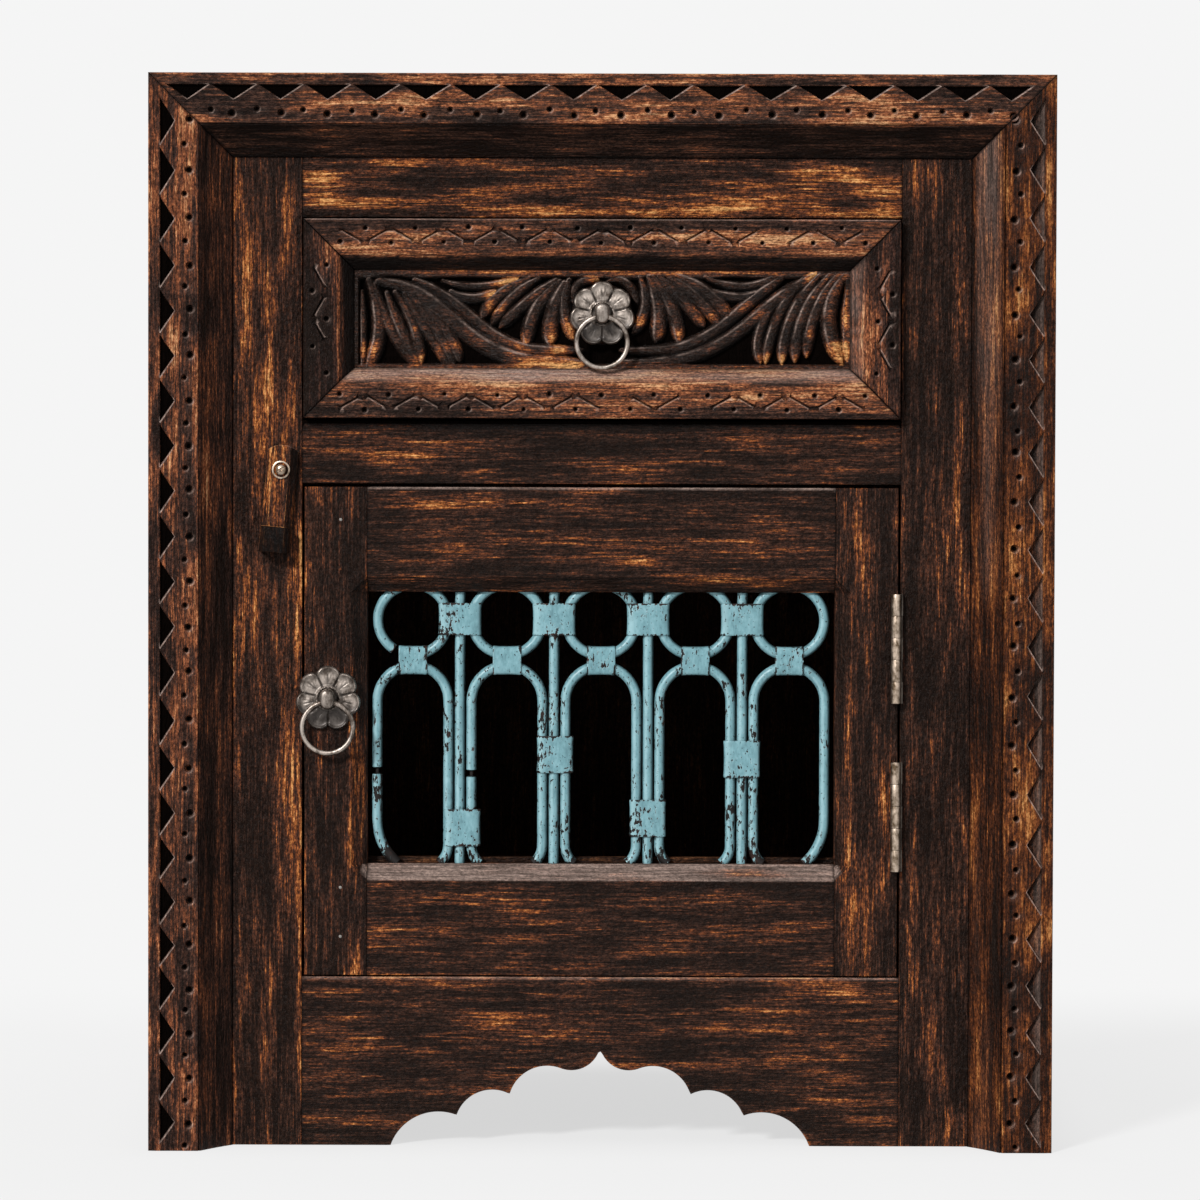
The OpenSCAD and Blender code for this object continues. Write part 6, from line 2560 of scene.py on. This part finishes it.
@dataclass
class Grille:
    """Window grille of painted iron: rings over arches, with straight bars between and straps.

    Attributes:
        rod: Radius of the rods.
        plane: How far the rods' middle lies before the cabinet's.
        pitch: Distance between two arches.
        ring_r: Radius of a ring's middle line.
        ring_z: Height of the rings' middle.
        arch_r: Radius of an arch's crown.
        arch_z: Height where the crown springs.
        foot: Height of the feet.
        bar_top: Height of the bars' upper end.
        turn: Angle that a foot curls through.
        strap: How far a strap stands out from the rods' middle.
        bar_straps: Height of the lower strap on each bar.
        strap_facets: Points round a strap.
        strap_profile: Place along a strap as a share of its length, and its swell there.
    """

    rod: float = 3.15
    plane: float = 159.3
    pitch: float = 57.5
    ring_r: float = 21.4
    ring_z: float = 320.3
    arch_r: float = 21.7
    arch_z: float = 270.7
    foot: float = 171.5
    bar_top: float = 337.2
    turn: float = math.radians(48)
    strap: float = 4.3
    bar_straps: tuple[float, ...] = (193.2, 238.2, 199.3, 235.6)
    strap_facets: int = 32
    strap_profile: tuple[Point, ...] = (
        (-0.5, 0.82), (-0.5, 0.97), (-0.475, 1.0), (-0.43, 0.99), (-0.3, 0.965), (0, 0.955),
        (0.3, 0.965), (0.43, 0.99), (0.475, 1.0), (0.5, 0.97), (0.5, 0.82),
    )

    def spots(self) -> list[float]:
        """Middle of each ring and arch."""
        return [self.pitch * (i - 2) for i in range(5)]

    def ring_line(self, x: float, start: float = 0, end: float = FULL_TURN) -> np.ndarray:
        """Middle of one ring's rod, or of part of it, with a bare end where it stops.

        Args:
            x: Middle of the ring.
            start: Angle where it starts.
            end: Angle where it ends.

        Returns:
            Points with the rod's thickness and wear.
        """
        whole = end - start > FULL_TURN - 0.01
        turn = np.linspace(start, end, 60, endpoint=not whole)
        points = [(x + self.ring_r * math.cos(a), -self.plane, self.ring_z + self.ring_r * math.sin(a)) for a in turn]
        bare = np.where(whole, 0.0, 0.3 * bell(turn, end, 0.09))
        return np.column_stack([points, np.ones(len(turn)), bare])

    def leg(self, x: float, sign: int, curl: float, cut: float | None, bare: float) -> list[tuple[float, ...]]:
        """Middle of one leg, from its foot to the spring of the arch.

        Args:
            x: Middle of the arch.
            sign: -1 for the left leg and 1 for the right one.
            curl: Radius that the foot curls in by.
            cut: Height of a saw cut in the leg.
            bare: How far the leg's paint is worn.

        Returns:
            Points with the rod's thickness and wear.
        """
        side = x + sign * self.arch_r
        knee = self.foot + curl * math.sin(self.turn)
        made = []
        for a in np.linspace(self.turn, 0, 14):
            # The end of the foot was hammered a little wider, and there the iron is bare
            share = (a / self.turn) ** 3
            place = (side - sign * curl * (1 - math.cos(a)), -self.plane, knee - curl * math.sin(a))
            made.append((*place, 1 + 0.12 * share, bare + 0.26 * share))
        heights = list(np.linspace(knee, self.arch_z, 24)[1:-1])
        if cut:
            edges = [cut + gap for gap in (-2.6, -1.9, -1.7, 1.7, 1.9, 2.6)]
            heights = sorted([z for z in heights if abs(z - cut) > 3] + edges)
        for z in heights:
            within = bool(cut) and abs(z - cut) < 1.8
            made.append((side, -self.plane, z, 0.35 if within else 1.0, 0.5 if within else bare))
        return made

    def arch_line(self, i: int, x: float) -> np.ndarray:
        """Middle of one arch's rod, from foot to foot.

        Args:
            i: Number of the arch from the left.
            x: Its middle.

        Returns:
            Points with the rod's thickness and wear.
        """
        # The left legs of the first two arches have a saw cut, and those of the outer ones are worn most
        cut = {0: 228.0, 1: 226.6}.get(i)
        worn = (0.07, 0.04, 0.02, 0.03, 0.06)[i]
        # The outer feet of the row curl in wider
        wide, narrow, r = 36, 15, self.arch_r
        left = self.leg(x, -1, wide if i == 0 else narrow, cut, worn)
        right = self.leg(x, 1, wide if i == 4 else narrow, None, 0.03)
        turn = np.linspace(math.pi, 0, 30)
        crown = [(x + r * math.cos(a), -self.plane, self.arch_z + r * math.sin(a), 1.0, 0.02) for a in turn]
        return np.array([*left, *crown, *right[::-1]])

    def strap_shell(self, centre: Point, wide: float, tall: float, level: bool) -> tuple[np.ndarray, np.ndarray]:
        """Closed band round a bundle of rods, waisted and with flared lips.

        Args:
            centre: Its middle on the drawing plane.
            wide: Width across the rods.
            tall: Length along the rods.
            level: Whether the rods run level under it.

        Returns:
            Points in the cabinet's frame in millimetres, and their wear.
        """
        bulge = 4.5
        turn = np.linspace(0, FULL_TURN, self.strap_facets, endpoint=False)
        shape = np.stack([np.cos(turn), np.sin(turn)], 1)
        shape *= ((np.abs(shape) ** bulge).sum(1) ** (-1 / bulge))[:, None]
        points, wear = [], []
        for along, swell in self.strap_profile:
            across = shape[:, 0] * (wide / 2 - (1 - swell) * 9)
            out = shape[:, 1] * (self.strap - (1 - swell) * 5)
            run = np.full(len(shape), along * tall)
            u, v = (run, across) if level else (across, run)
            points.append(np.stack([centre[0] + u, -(self.plane + out), centre[1] + v], 1))
            wear.append((0.17 if abs(along) > 0.47 else 0.0) + 0.03 * (np.abs(shape[:, 0]) > 0.93))
        return np.vstack(points), np.concatenate(wear)

    def straps(self) -> Piece:
        """All thirteen straps as one piece.

        Returns:
            The piece.
        """
        # Middle, width, length and whether the rods run level: between rings, under rings and on bars
        rows = [((x, self.ring_z + 0.6), 26.6, 19.4, False) for x in self.bars()]
        rows += [((x, 295.65), 18.2, 17.2, True) for x in self.spots()]
        slips = (1.6, 0.8, 0, 0)
        rows += [((x + d, z), 22.7, 22.5, False) for x, d, z in zip(self.bars(), slips, self.bar_straps)]
        points, wear = zip(*(self.strap_shell(*row) for row in rows))
        faces = []
        for k in range(len(rows)):
            base = k * len(wear[0])
            faces.extend([base + i for i in face] for face in tube(len(self.strap_profile), self.strap_facets))
        piece = new_piece("lapped_straps", np.vstack(points) * MM, faces, FINISH.paint, 50)
        face_outwards(piece.data)
        mark(piece.data, "wear", np.concatenate(wear))
        return piece

    def bars(self) -> list[float]:
        """Middle of each straight bar."""
        return [self.pitch * (i - 1.5) for i in range(4)]

    def build(self) -> None:
        """Make the rods and straps."""
        spots = self.spots()
        # The first ring has snapped just short of its strap
        broken = self.ring_line(spots[0], math.radians(-100), math.radians(237))
        sweep = RodSweep(self.rod)
        whole = sweep.run("bent_rings", [self.ring_line(x) for x in spots[1:]], True, FINISH.paint)
        settle(whole, "door", "painted_iron", "grille_rings")
        settle(sweep.run("snapped_ring", [broken], False, FINISH.paint), "door", "painted_iron", "grille_rings")
        arches = [self.arch_line(i, x) for i, x in enumerate(spots)]
        sweep = RodSweep(self.rod, spacing=0.9)
        settle(sweep.run("bent_arches", arches, False, FINISH.paint), "door", "painted_iron", "grille_arches")
        bars = []
        for x in self.bars():
            heights = np.linspace(self.foot, self.bar_top, 34)
            bars.append(np.array([(x, -self.plane, z, 1.0, 0.02) for z in heights]))
        settle(sweep.run("straight_bars", bars, False, FINISH.paint), "door", "painted_iron", "grille_bars")
        settle(self.straps(), "door", "painted_iron", "grille_collars")


@dataclass
class Pull:
    """Ring pull: a cast seven-petalled rosette, a knob with an eye, and a ring through it.

    Attributes:
        name: Start of its pieces' names.
        body: Body that it rides on.
        centre: Middle of the rosette's back.
        petals: How many petals.
        petal_c: Distance of a petal's middle from the centre.
        petal_r: Radius of a petal.
        thick: Thickness that the rosette stays below.
        knob: Width and height of the knob.
        eye: How far below the centre the eye lies, and its radius.
        ring_out: How far the ring hangs before the wood.
        ring_r: Radius of the ring's middle line.
        wire: Radius of its wire.
        drop: How far its middle hangs below the centre.
        tarnish: How much darker than usual the rosette is.
    """

    name: str
    body: str
    centre: Place
    petals: int = 7
    petal_c: float = 12
    petal_r: float = 8
    thick: float = 4
    knob: Point = (8.7, 12.4)
    eye: Point = (2.0, 2.4)
    ring_out: float = 8
    ring_r: float = 15.5
    wire: float = 1.5
    drop: float = 17.5
    tarnish: float = 0.0

    def petal(self) -> Piece:
        """One sector of the rosette, round the origin, with its petal upwards.

        Returns:
            The sector, open where its neighbours join it.
        """
        reach = math.pi / self.petals
        rows, columns = 34, 25
        turn = np.tile(np.linspace(-reach, reach, columns), rows)
        limit = self.petal_c * np.cos(turn) + np.sqrt(self.petal_r**2 - (self.petal_c * np.sin(turn)) ** 2)
        r = np.repeat(np.linspace(0, 1, rows) ** 0.85, columns) * limit
        x, z = r * np.sin(turn), r * np.cos(turn)
        edge = np.where(r > 6, self.petal_r - np.hypot(x, z - self.petal_c), 5.0)
        vein = bell(x, 0, 0.45) * bell(r, 12.4, 3.0, 4)
        side_vein = bell(np.abs(x), 0.36 * (r - 8.5), 0.4) * bell(r, 12.2, 2.6, 4)
        groove = bell(r * np.sin(reach - np.abs(turn)), 0, 0.5) * np.clip((r - 6.8) / 2.5, 0, 1)
        # A dished petal with a bead along its edge, round a raised collar
        h = 2.5 - 0.5 * bell(edge, 4.2, 2.4) + 0.7 * bell(edge, 1.2, 0.6) * np.clip((r - 7) / 4, 0, 1)
        h += bell(r, 7.0, 0.85) - 1.5 * np.clip(1 - edge / 0.55, 0, 1) ** 2
        h -= 1.1 * groove + 0.45 * vein + 0.2 * side_vein
        grime = 0.8 * groove + 0.75 * vein + 0.4 * side_vein + 0.55 * bell(r, 8.7, 0.8)
        grime += 0.45 * (r > 8) * bell(edge, 2.5, 0.6) + 0.9 * (r < 6)
        front = np.column_stack([x, -np.minimum(h, self.thick - 0.05), z])
        front[:columns] = front[0]
        back = np.vstack([front[-columns:] * (0.985, 0, 0.985), np.zeros((1, 3))])
        base, rim = len(front), len(front) - columns
        faces = [
            (k, k + columns, k + columns + 1, k + 1) for k in range(columns, rim) if k % columns < columns - 1
        ]
        for j in range(columns - 1):
            faces.append((0, columns + j, columns + j + 1))
            faces.append((rim + j, base + j, base + j + 1, rim + j + 1))
            faces.append((base + j, base + columns, base + j + 1))
        piece = new_piece(f"{self.name}_petal", np.vstack([front, back]) * MM, faces, FINISH.pewter, 50)
        mark(piece.data, "grime", np.concatenate([np.minimum(grime, 1), np.full(len(back), 0.6)]))
        return piece

    def rosette(self) -> Piece:
        """The rosette, of as many sectors as it has petals.

        Returns:
            The piece.
        """
        turns = np.zeros((self.petals, 3))
        turns[:, 1] = FULL_TURN * np.arange(self.petals) / self.petals
        places = np.tile(self.centre, (self.petals, 1))
        name = f"{self.name}_petalled_plate"
        piece = Repeat(weld=0.02).run(name, self.petal(), places, turns, FINISH.pewter)
        face_outwards(piece.data)
        # Painted shade darkens the lower petals, under the ring
        held = piece.data.attributes["grime"].data
        grime = np.zeros(len(held), np.float32)
        held.foreach_get("value", grime)
        drops = np.array([self.centre[2] - v.co.z / MM for v in piece.data.vertices])
        grime = np.clip(grime + self.tarnish + 0.85 * smooth(drops, 2, 9), 0, 1)
        held.foreach_set("value", grime.astype(np.float32))
        return piece

    def post(self) -> Piece:
        """The knob: a rounded upright block on a neck, with the eye drilled through it.

        Returns:
            The piece.
        """
        wide, tall = self.knob[0] / 2, self.knob[1] / 2
        stretch = tall - wide
        # How far out each ring of points lies, and its share of the knob's width
        levels = [
            (-26.0, 0.46), (2.2, 0.46), (3.6, 0.80), (4.2, 0.93), (5.2, 1.0), (9.6, 1.0),
            (11.0, 0.94), (12.0, 0.80), (12.5, 0.55), (12.6, 0.25),
        ]
        turn = np.arange(32) * FULL_TURN / 32
        c, s = np.cos(turn), np.sin(turn)
        rings, grime = [], []
        for level, share in levels:
            hold = stretch if share > 0.5 else 0 if level < 3 else stretch * share * 1.6
            z = wide * share * s + np.where(np.abs(s) > 1e-6, np.copysign(min(hold, stretch), s), 0)
            rings.append(np.stack([wide * share * c, np.full(len(turn), -level), z], 1))
            grime.append(np.full(len(turn), 0.7 if level < 4.5 else 0.3 * (level > 11.5)))
        placed = (np.vstack(rings) + self.centre) * MM
        faces = tube(len(levels), len(turn))
        body = new_piece(f"{self.name}_eyed_knob", placed, faces, FINISH.pewter, 45)
        face_outwards(body.data)
        mark(body.data, "grime", np.concatenate(grime))
        below, radius = self.eye
        turn = np.arange(20) * FULL_TURN / 20
        round_eye = np.stack([0 * turn, radius * np.cos(turn) - self.ring_out, radius * np.sin(turn) - below], 1)
        drill = (np.vstack([round_eye - (8, 0, 0), round_eye + (8, 0, 0)]) + self.centre) * MM
        bit = new_piece("drill", drill, tube(2, len(turn)), FINISH.pewter)
        face_outwards(bit.data)
        hole = body.modifiers.new("eye", "BOOLEAN")
        hole.operation, hole.object, hole.solver = "DIFFERENCE", bit, "EXACT"
        name, mesh = body.name, evaluated(body)
        bpy.data.objects.remove(bit)
        return wrapped(name, mesh, FINISH.pewter, 45)

    def ring(self) -> Piece:
        """The ring, thinner at the top where the eye has worn it.

        Returns:
            The piece.
        """
        x, y, z = self.centre
        turn = np.linspace(0, FULL_TURN, 64, endpoint=False)
        line = np.zeros((len(turn), 5))
        line[:, 0] = x + self.ring_r * np.cos(turn)
        line[:, 1] = y - self.ring_out
        line[:, 2] = z - self.drop + self.ring_r * np.sin(turn)
        line[:, 3] = 1 - 0.14 * bell(turn, math.pi / 2, 0.22)
        return RodSweep(self.wire, 14, 0.9, 0.05).run(f"{self.name}_worn_ring", [line], True, FINISH.pewter)

    def build(self, frame: dict) -> None:
        """Make the pull.

        Args:
            frame: The loaded frame.
        """
        settle(self.rosette(), self.body, "worn_nickel", f"{self.name}_rosette")
        settle(self.post(), self.body, "worn_nickel", f"{self.name}_knob")
        settle(self.ring(), f"{self.name}_pull_ring", "worn_nickel", f"{self.name}_ring")
        nut = softened(frame, f"{self.name}_knob_nut", f"{self.name}_chamfered_nut", 0.3, FINISH.steel)
        settle(nut, self.body, "dark_steel", f"{self.name}_knob_nut")


@dataclass
class Hinges:
    """Two butt hinges with their pins and screws.

    Attributes:
        bend: Depth y where a leaf bends round its barrel.
    """

    bend: float = -177.9

    def build(self, frame: dict) -> None:
        """Give every leaf, pin and screw worn edges.

        Args:
            frame: The loaded frame.
        """
        bodies = {"frame_leaf": "carcass", "door_leaf": "door"}
        for place in ("upper", "lower"):
            for leaf, body in bodies.items():
                node = f"hinge_{place}_{leaf}"
                piece = softened(frame, node, f"rolled_{node}", 0.28, FINISH.nickel)
                # Painted shade darkens a barrel where it turns away from the light, most on the right, and painted
                # shadow darkens the bend behind it
                grime = []
                for f in piece.data.polygons:
                    flank = min(max(1.6 * f.normal.x - 0.35, 0.35 * (f.normal.x < -0.8)), 0.85)
                    grime.extend([1.0 if f.center.y > self.bend * MM else flank] * f.loop_total)
                mark(piece.data, "grime", np.array(grime), "CORNER")
                settle(piece, body, "worn_nickel", node)
        pins = softened(frame, "hinge_pins", "riveted_hinge_pins", 0.3, FINISH.nickel)
        settle(pins, "carcass", "worn_nickel", "hinge_pins")
        for word, body in (("frame", "carcass"), ("door", "door")):
            node = f"hinge_{word}_screws"
            settle(softened(frame, node, f"countersunk_{word}_screws", 0.2, FINISH.steel), body, "dark_steel", node)


@dataclass
class TurnLever:
    """Wooden turn lever that holds the door shut, on a slotted screw and washer.

    Attributes:
        pivot: Place x, z of the screw.
        foot: Height that the dark foot ends at.
        cap: Height that the pale top starts at.
    """

    pivot: Point = (-194.2, 411.6)
    foot: float = 377
    cap: float = 421

    def build(self, frame: dict) -> None:
        """Make the lever, washer and screw.

        Args:
            frame: The loaded frame.
        """
        lever = softened(frame, "latch_lever", "whittled_turn_lever", 0.7, FINISH.lever, 0.3)
        # The foot is dark, painted shade darkens the right flank and a painted sheen lightens the top
        corners = [(f.center.z / MM, f.normal.x, f.loop_total) for f in lever.data.polygons]
        dirt_and_painted_shade = [np.full(n, 0.97 if z < self.foot else 0.55 * (x > 0.3)) for z, x, n in corners]
        film = [np.full(n, 0.75 * (z > self.cap)) for z, _, n in corners]
        mark(lever.data, "grime", np.concatenate(dirt_and_painted_shade), "CORNER")
        mark(lever.data, "film", np.concatenate(film), "CORNER")
        settle(lever, "turn_lever", "stained_wood", "latch_lever")
        dish = [(0, 182.5), (5.3, 182.5), (5.5, 182.8), (5.4, 183.35), (5.0, 183.5), (4.5, 183.45), (4.2, 183.1)]
        # A slotted head with a low dome, on its shank
        dome = [(r, 183.9 + 1.8 * math.sqrt(1 - (r / 3.3) ** 2)) for r in (3.0, 2.6, 2.1, 1.6, 1.1, 0.6, 0.3)]
        shank = [(0, 160), (1.6, 160.4), (2.2, 163), (2.2, 183.2), (3.15, 183.3), (3.2, 184.3)]

        def middle(points: np.ndarray) -> np.ndarray:
            """How far the washer sinks under the screw's head."""
            return np.where(np.hypot(points[:, 0], points[:, 2]) < 4.4, 1.0, 0.0)

        def slot(points: np.ndarray) -> np.ndarray:
            """Depth of the driver's slot across the head, turned a little.

            Args:
                points: Points round the axis, n by 3.

            Returns:
                Depth at each point.
            """
            a = math.radians(28)
            off = np.abs(points[:, 0] * math.sin(a) - points[:, 2] * math.cos(a))
            return np.where((off < 0.62) & (points[:, 1] < -184.4), 0.9, 0.0)

        for node, piece in {
            "latch_washer": turned("dished_washer", [*dish, (0, 183.1)], FINISH.nickel, 36, middle),
            "latch_screw": turned("slotted_screw", [*shank, *dome, (0, 185.7)], FINISH.nickel, 48, slot),
        }.items():
            self.shift(piece)
            settle(piece, frame_body(frame, node), "worn_nickel", node)

    def shift(self, piece: Piece) -> None:
        """Move a piece that was turned about the axis x = z = 0 to the pivot."""
        piece.data.transform(Matrix.Translation((self.pivot[0] * MM, 0, self.pivot[1] * MM)))


def frame_body(frame: dict, node: str) -> str:
    """Find the body that a CAD node rides on.

    Args:
        frame: The loaded frame.
        node: The node's name.

    Returns:
        The body's name, the carcass if the record doesn't say.
    """
    for body in frame["record"]["behaviour"]["bodies"]:
        if isinstance(body, dict) and node in body.get("nodes", []):
            return body["name"]
    return "carcass"


@dataclass
class Studio:
    """Camera at the photograph's view, pale floor and soft light.

    Attributes:
        place: The camera's place in the cabinet's frame.
        pitch: How far down it looks, in degrees.
        yaw: How far to the right it looks.
        roll: How far it is turned clockwise.
        lens: Its focal length on a sensor 36 mm wide.
        pale: Colour of the backdrop.
        footprint: Half the cabinet's width and depth.
    """

    place: Place = (-1.3, -2800, 402)
    pitch: float = 1.504
    yaw: float = 0.011
    roll: float = 0.159
    lens: float = 129.62
    pale: str = "#f5f5f5"
    footprint: Point = (273, 200)

    def camera(self) -> None:
        """Create the camera."""
        p, q, r = (math.radians(a) for a in (self.pitch, self.yaw, self.roll))
        ahead = Vector((math.sin(q) * math.cos(p), math.cos(q) * math.cos(p), -math.sin(p)))
        right = Vector((math.cos(q), -math.sin(q), 0))
        up = right.cross(ahead)
        across = right * math.cos(r) + up * math.sin(r)
        above = -right * math.sin(r) + up * math.cos(r)
        data = bpy.data.cameras.new("camera")
        data.lens, data.sensor_width, data.clip_end = self.lens, 36.0, 50.0
        item = linked("camera", data)
        turn = Matrix((across, above, -ahead)).transposed().to_4x4()
        item.matrix_world = Matrix.Translation(Vector(self.place) * MM) @ turn
        bpy.context.scene.camera = item

    def lamp(self, name: str, toward: Place, strength: float, spread_deg: float) -> None:
        """Add a sun.

        Args:
            name: Its name.
            toward: Direction from the cabinet to the lamp.
            strength: Its strength.
            spread_deg: How wide it looks, in degrees.
        """
        data = bpy.data.lights.new(name, "SUN")
        data.energy, data.angle = strength, math.radians(spread_deg)
        linked(name, data).rotation_euler = Vector(toward).to_track_quat("Z", "Y").to_euler()

    def seen(self, tree: Tree) -> Socket:
        """Tell rays that show the backdrop from those that only light.

        Args:
            tree: Tree that the nodes go into.

        Returns:
            1 for camera, glossy and transmission rays, and 0 for the others.
        """
        path = add(tree, "ShaderNodeLightPath").outputs
        direct = calc(tree, "MAXIMUM", path["Is Camera Ray"], path["Is Glossy Ray"])
        return calc(tree, "MAXIMUM", direct, path["Is Transmission Ray"])

    def surroundings(self) -> None:
        """Set the world: even light, and the pale backdrop for the camera and for reflections."""
        world = bpy.data.worlds.new("studio")
        bpy.context.scene.world = world
        world.use_nodes = True
        tree = world.node_tree
        tree.nodes.clear()
        even = add(tree, "ShaderNodeBackground", {"Color": linear("#ffffff"), "Strength": 0.3})
        pale = add(tree, "ShaderNodeBackground", {"Color": linear(self.pale), "Strength": 1.0})
        mixed = add(tree, "ShaderNodeMixShader", {0: self.seen(tree), 1: even.outputs[0], 2: pale.outputs[0]})
        add(tree, "ShaderNodeOutputWorld", {"Surface": mixed.outputs[0]})

    def floor(self) -> None:
        """Lay the floor: matt white, and as pale as the backdrop away from the cabinet."""
        material, tree = shade("matt_white_floor")
        coord = add(tree, "ShaderNodeTexCoord").outputs["Object"]
        split = add(tree, "ShaderNodeSeparateXYZ", {0: coord}).outputs
        # Distance beyond the cabinet's footprint
        beyond = (
            calc(tree, "SUBTRACT", calc(tree, "ABSOLUTE", split[axis]), half * MM)
            for axis, half in zip("XY", self.footprint)
        )
        out = calc(tree, "MAXIMUM", *beyond)
        near = spread(tree, out, -0.06, 0.05, (0.72, 0.86))
        far = spread(tree, out, 0.05, 0.5, (0, 0.14))
        share = calc(tree, "MULTIPLY", calc(tree, "ADD", near, far), self.seen(tree))
        matt = add(tree, "ShaderNodeBsdfDiffuse", {"Color": linear("#f4f4f4")})
        glow = add(tree, "ShaderNodeEmission", {"Color": linear(self.pale), "Strength": 1.0})
        mixed = add(tree, "ShaderNodeMixShader", {0: share, 1: matt.outputs[0], 2: glow.outputs[0]})
        add(tree, "ShaderNodeOutputMaterial", {"Surface": mixed.outputs[0]})
        mesh = bpy.data.meshes.new("studio_floor")
        mesh.from_pydata([(x, y, 0) for x, y in box_ring(-15, -15, 15, 15)], [], [(0, 1, 2, 3)])
        mesh.materials.append(material)
        item = linked("studio_floor", mesh)

    def build(self) -> None:
        """Set the whole studio."""
        self.camera()
        self.surroundings()
        self.floor()
        self.lamp("key_light", (-0.45, -0.76, 0.5), 3.05, 9)
        bpy.context.scene.view_settings.view_transform = "Standard"


def main() -> None:
    """Build the nightstand in its studio."""
    logging.basicConfig(level=logging.INFO, format="%(name)s: %(message)s")
    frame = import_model()
    Studio().build()
    Carcass().build(frame)
    FaceFrame().build()
    Moulding().build()
    Drawer().build(frame)
    Door().build(frame)
    Grille().build()
    Pull("drawer", "drawer", (0, -170, 507)).build(frame)
    Pull("door", "door", (-166, -174, 272.8), tarnish=0.18).build(frame)
    Hinges().build(frame)
    TurnLever().build(frame)


if __name__ == "__main__":
    main()
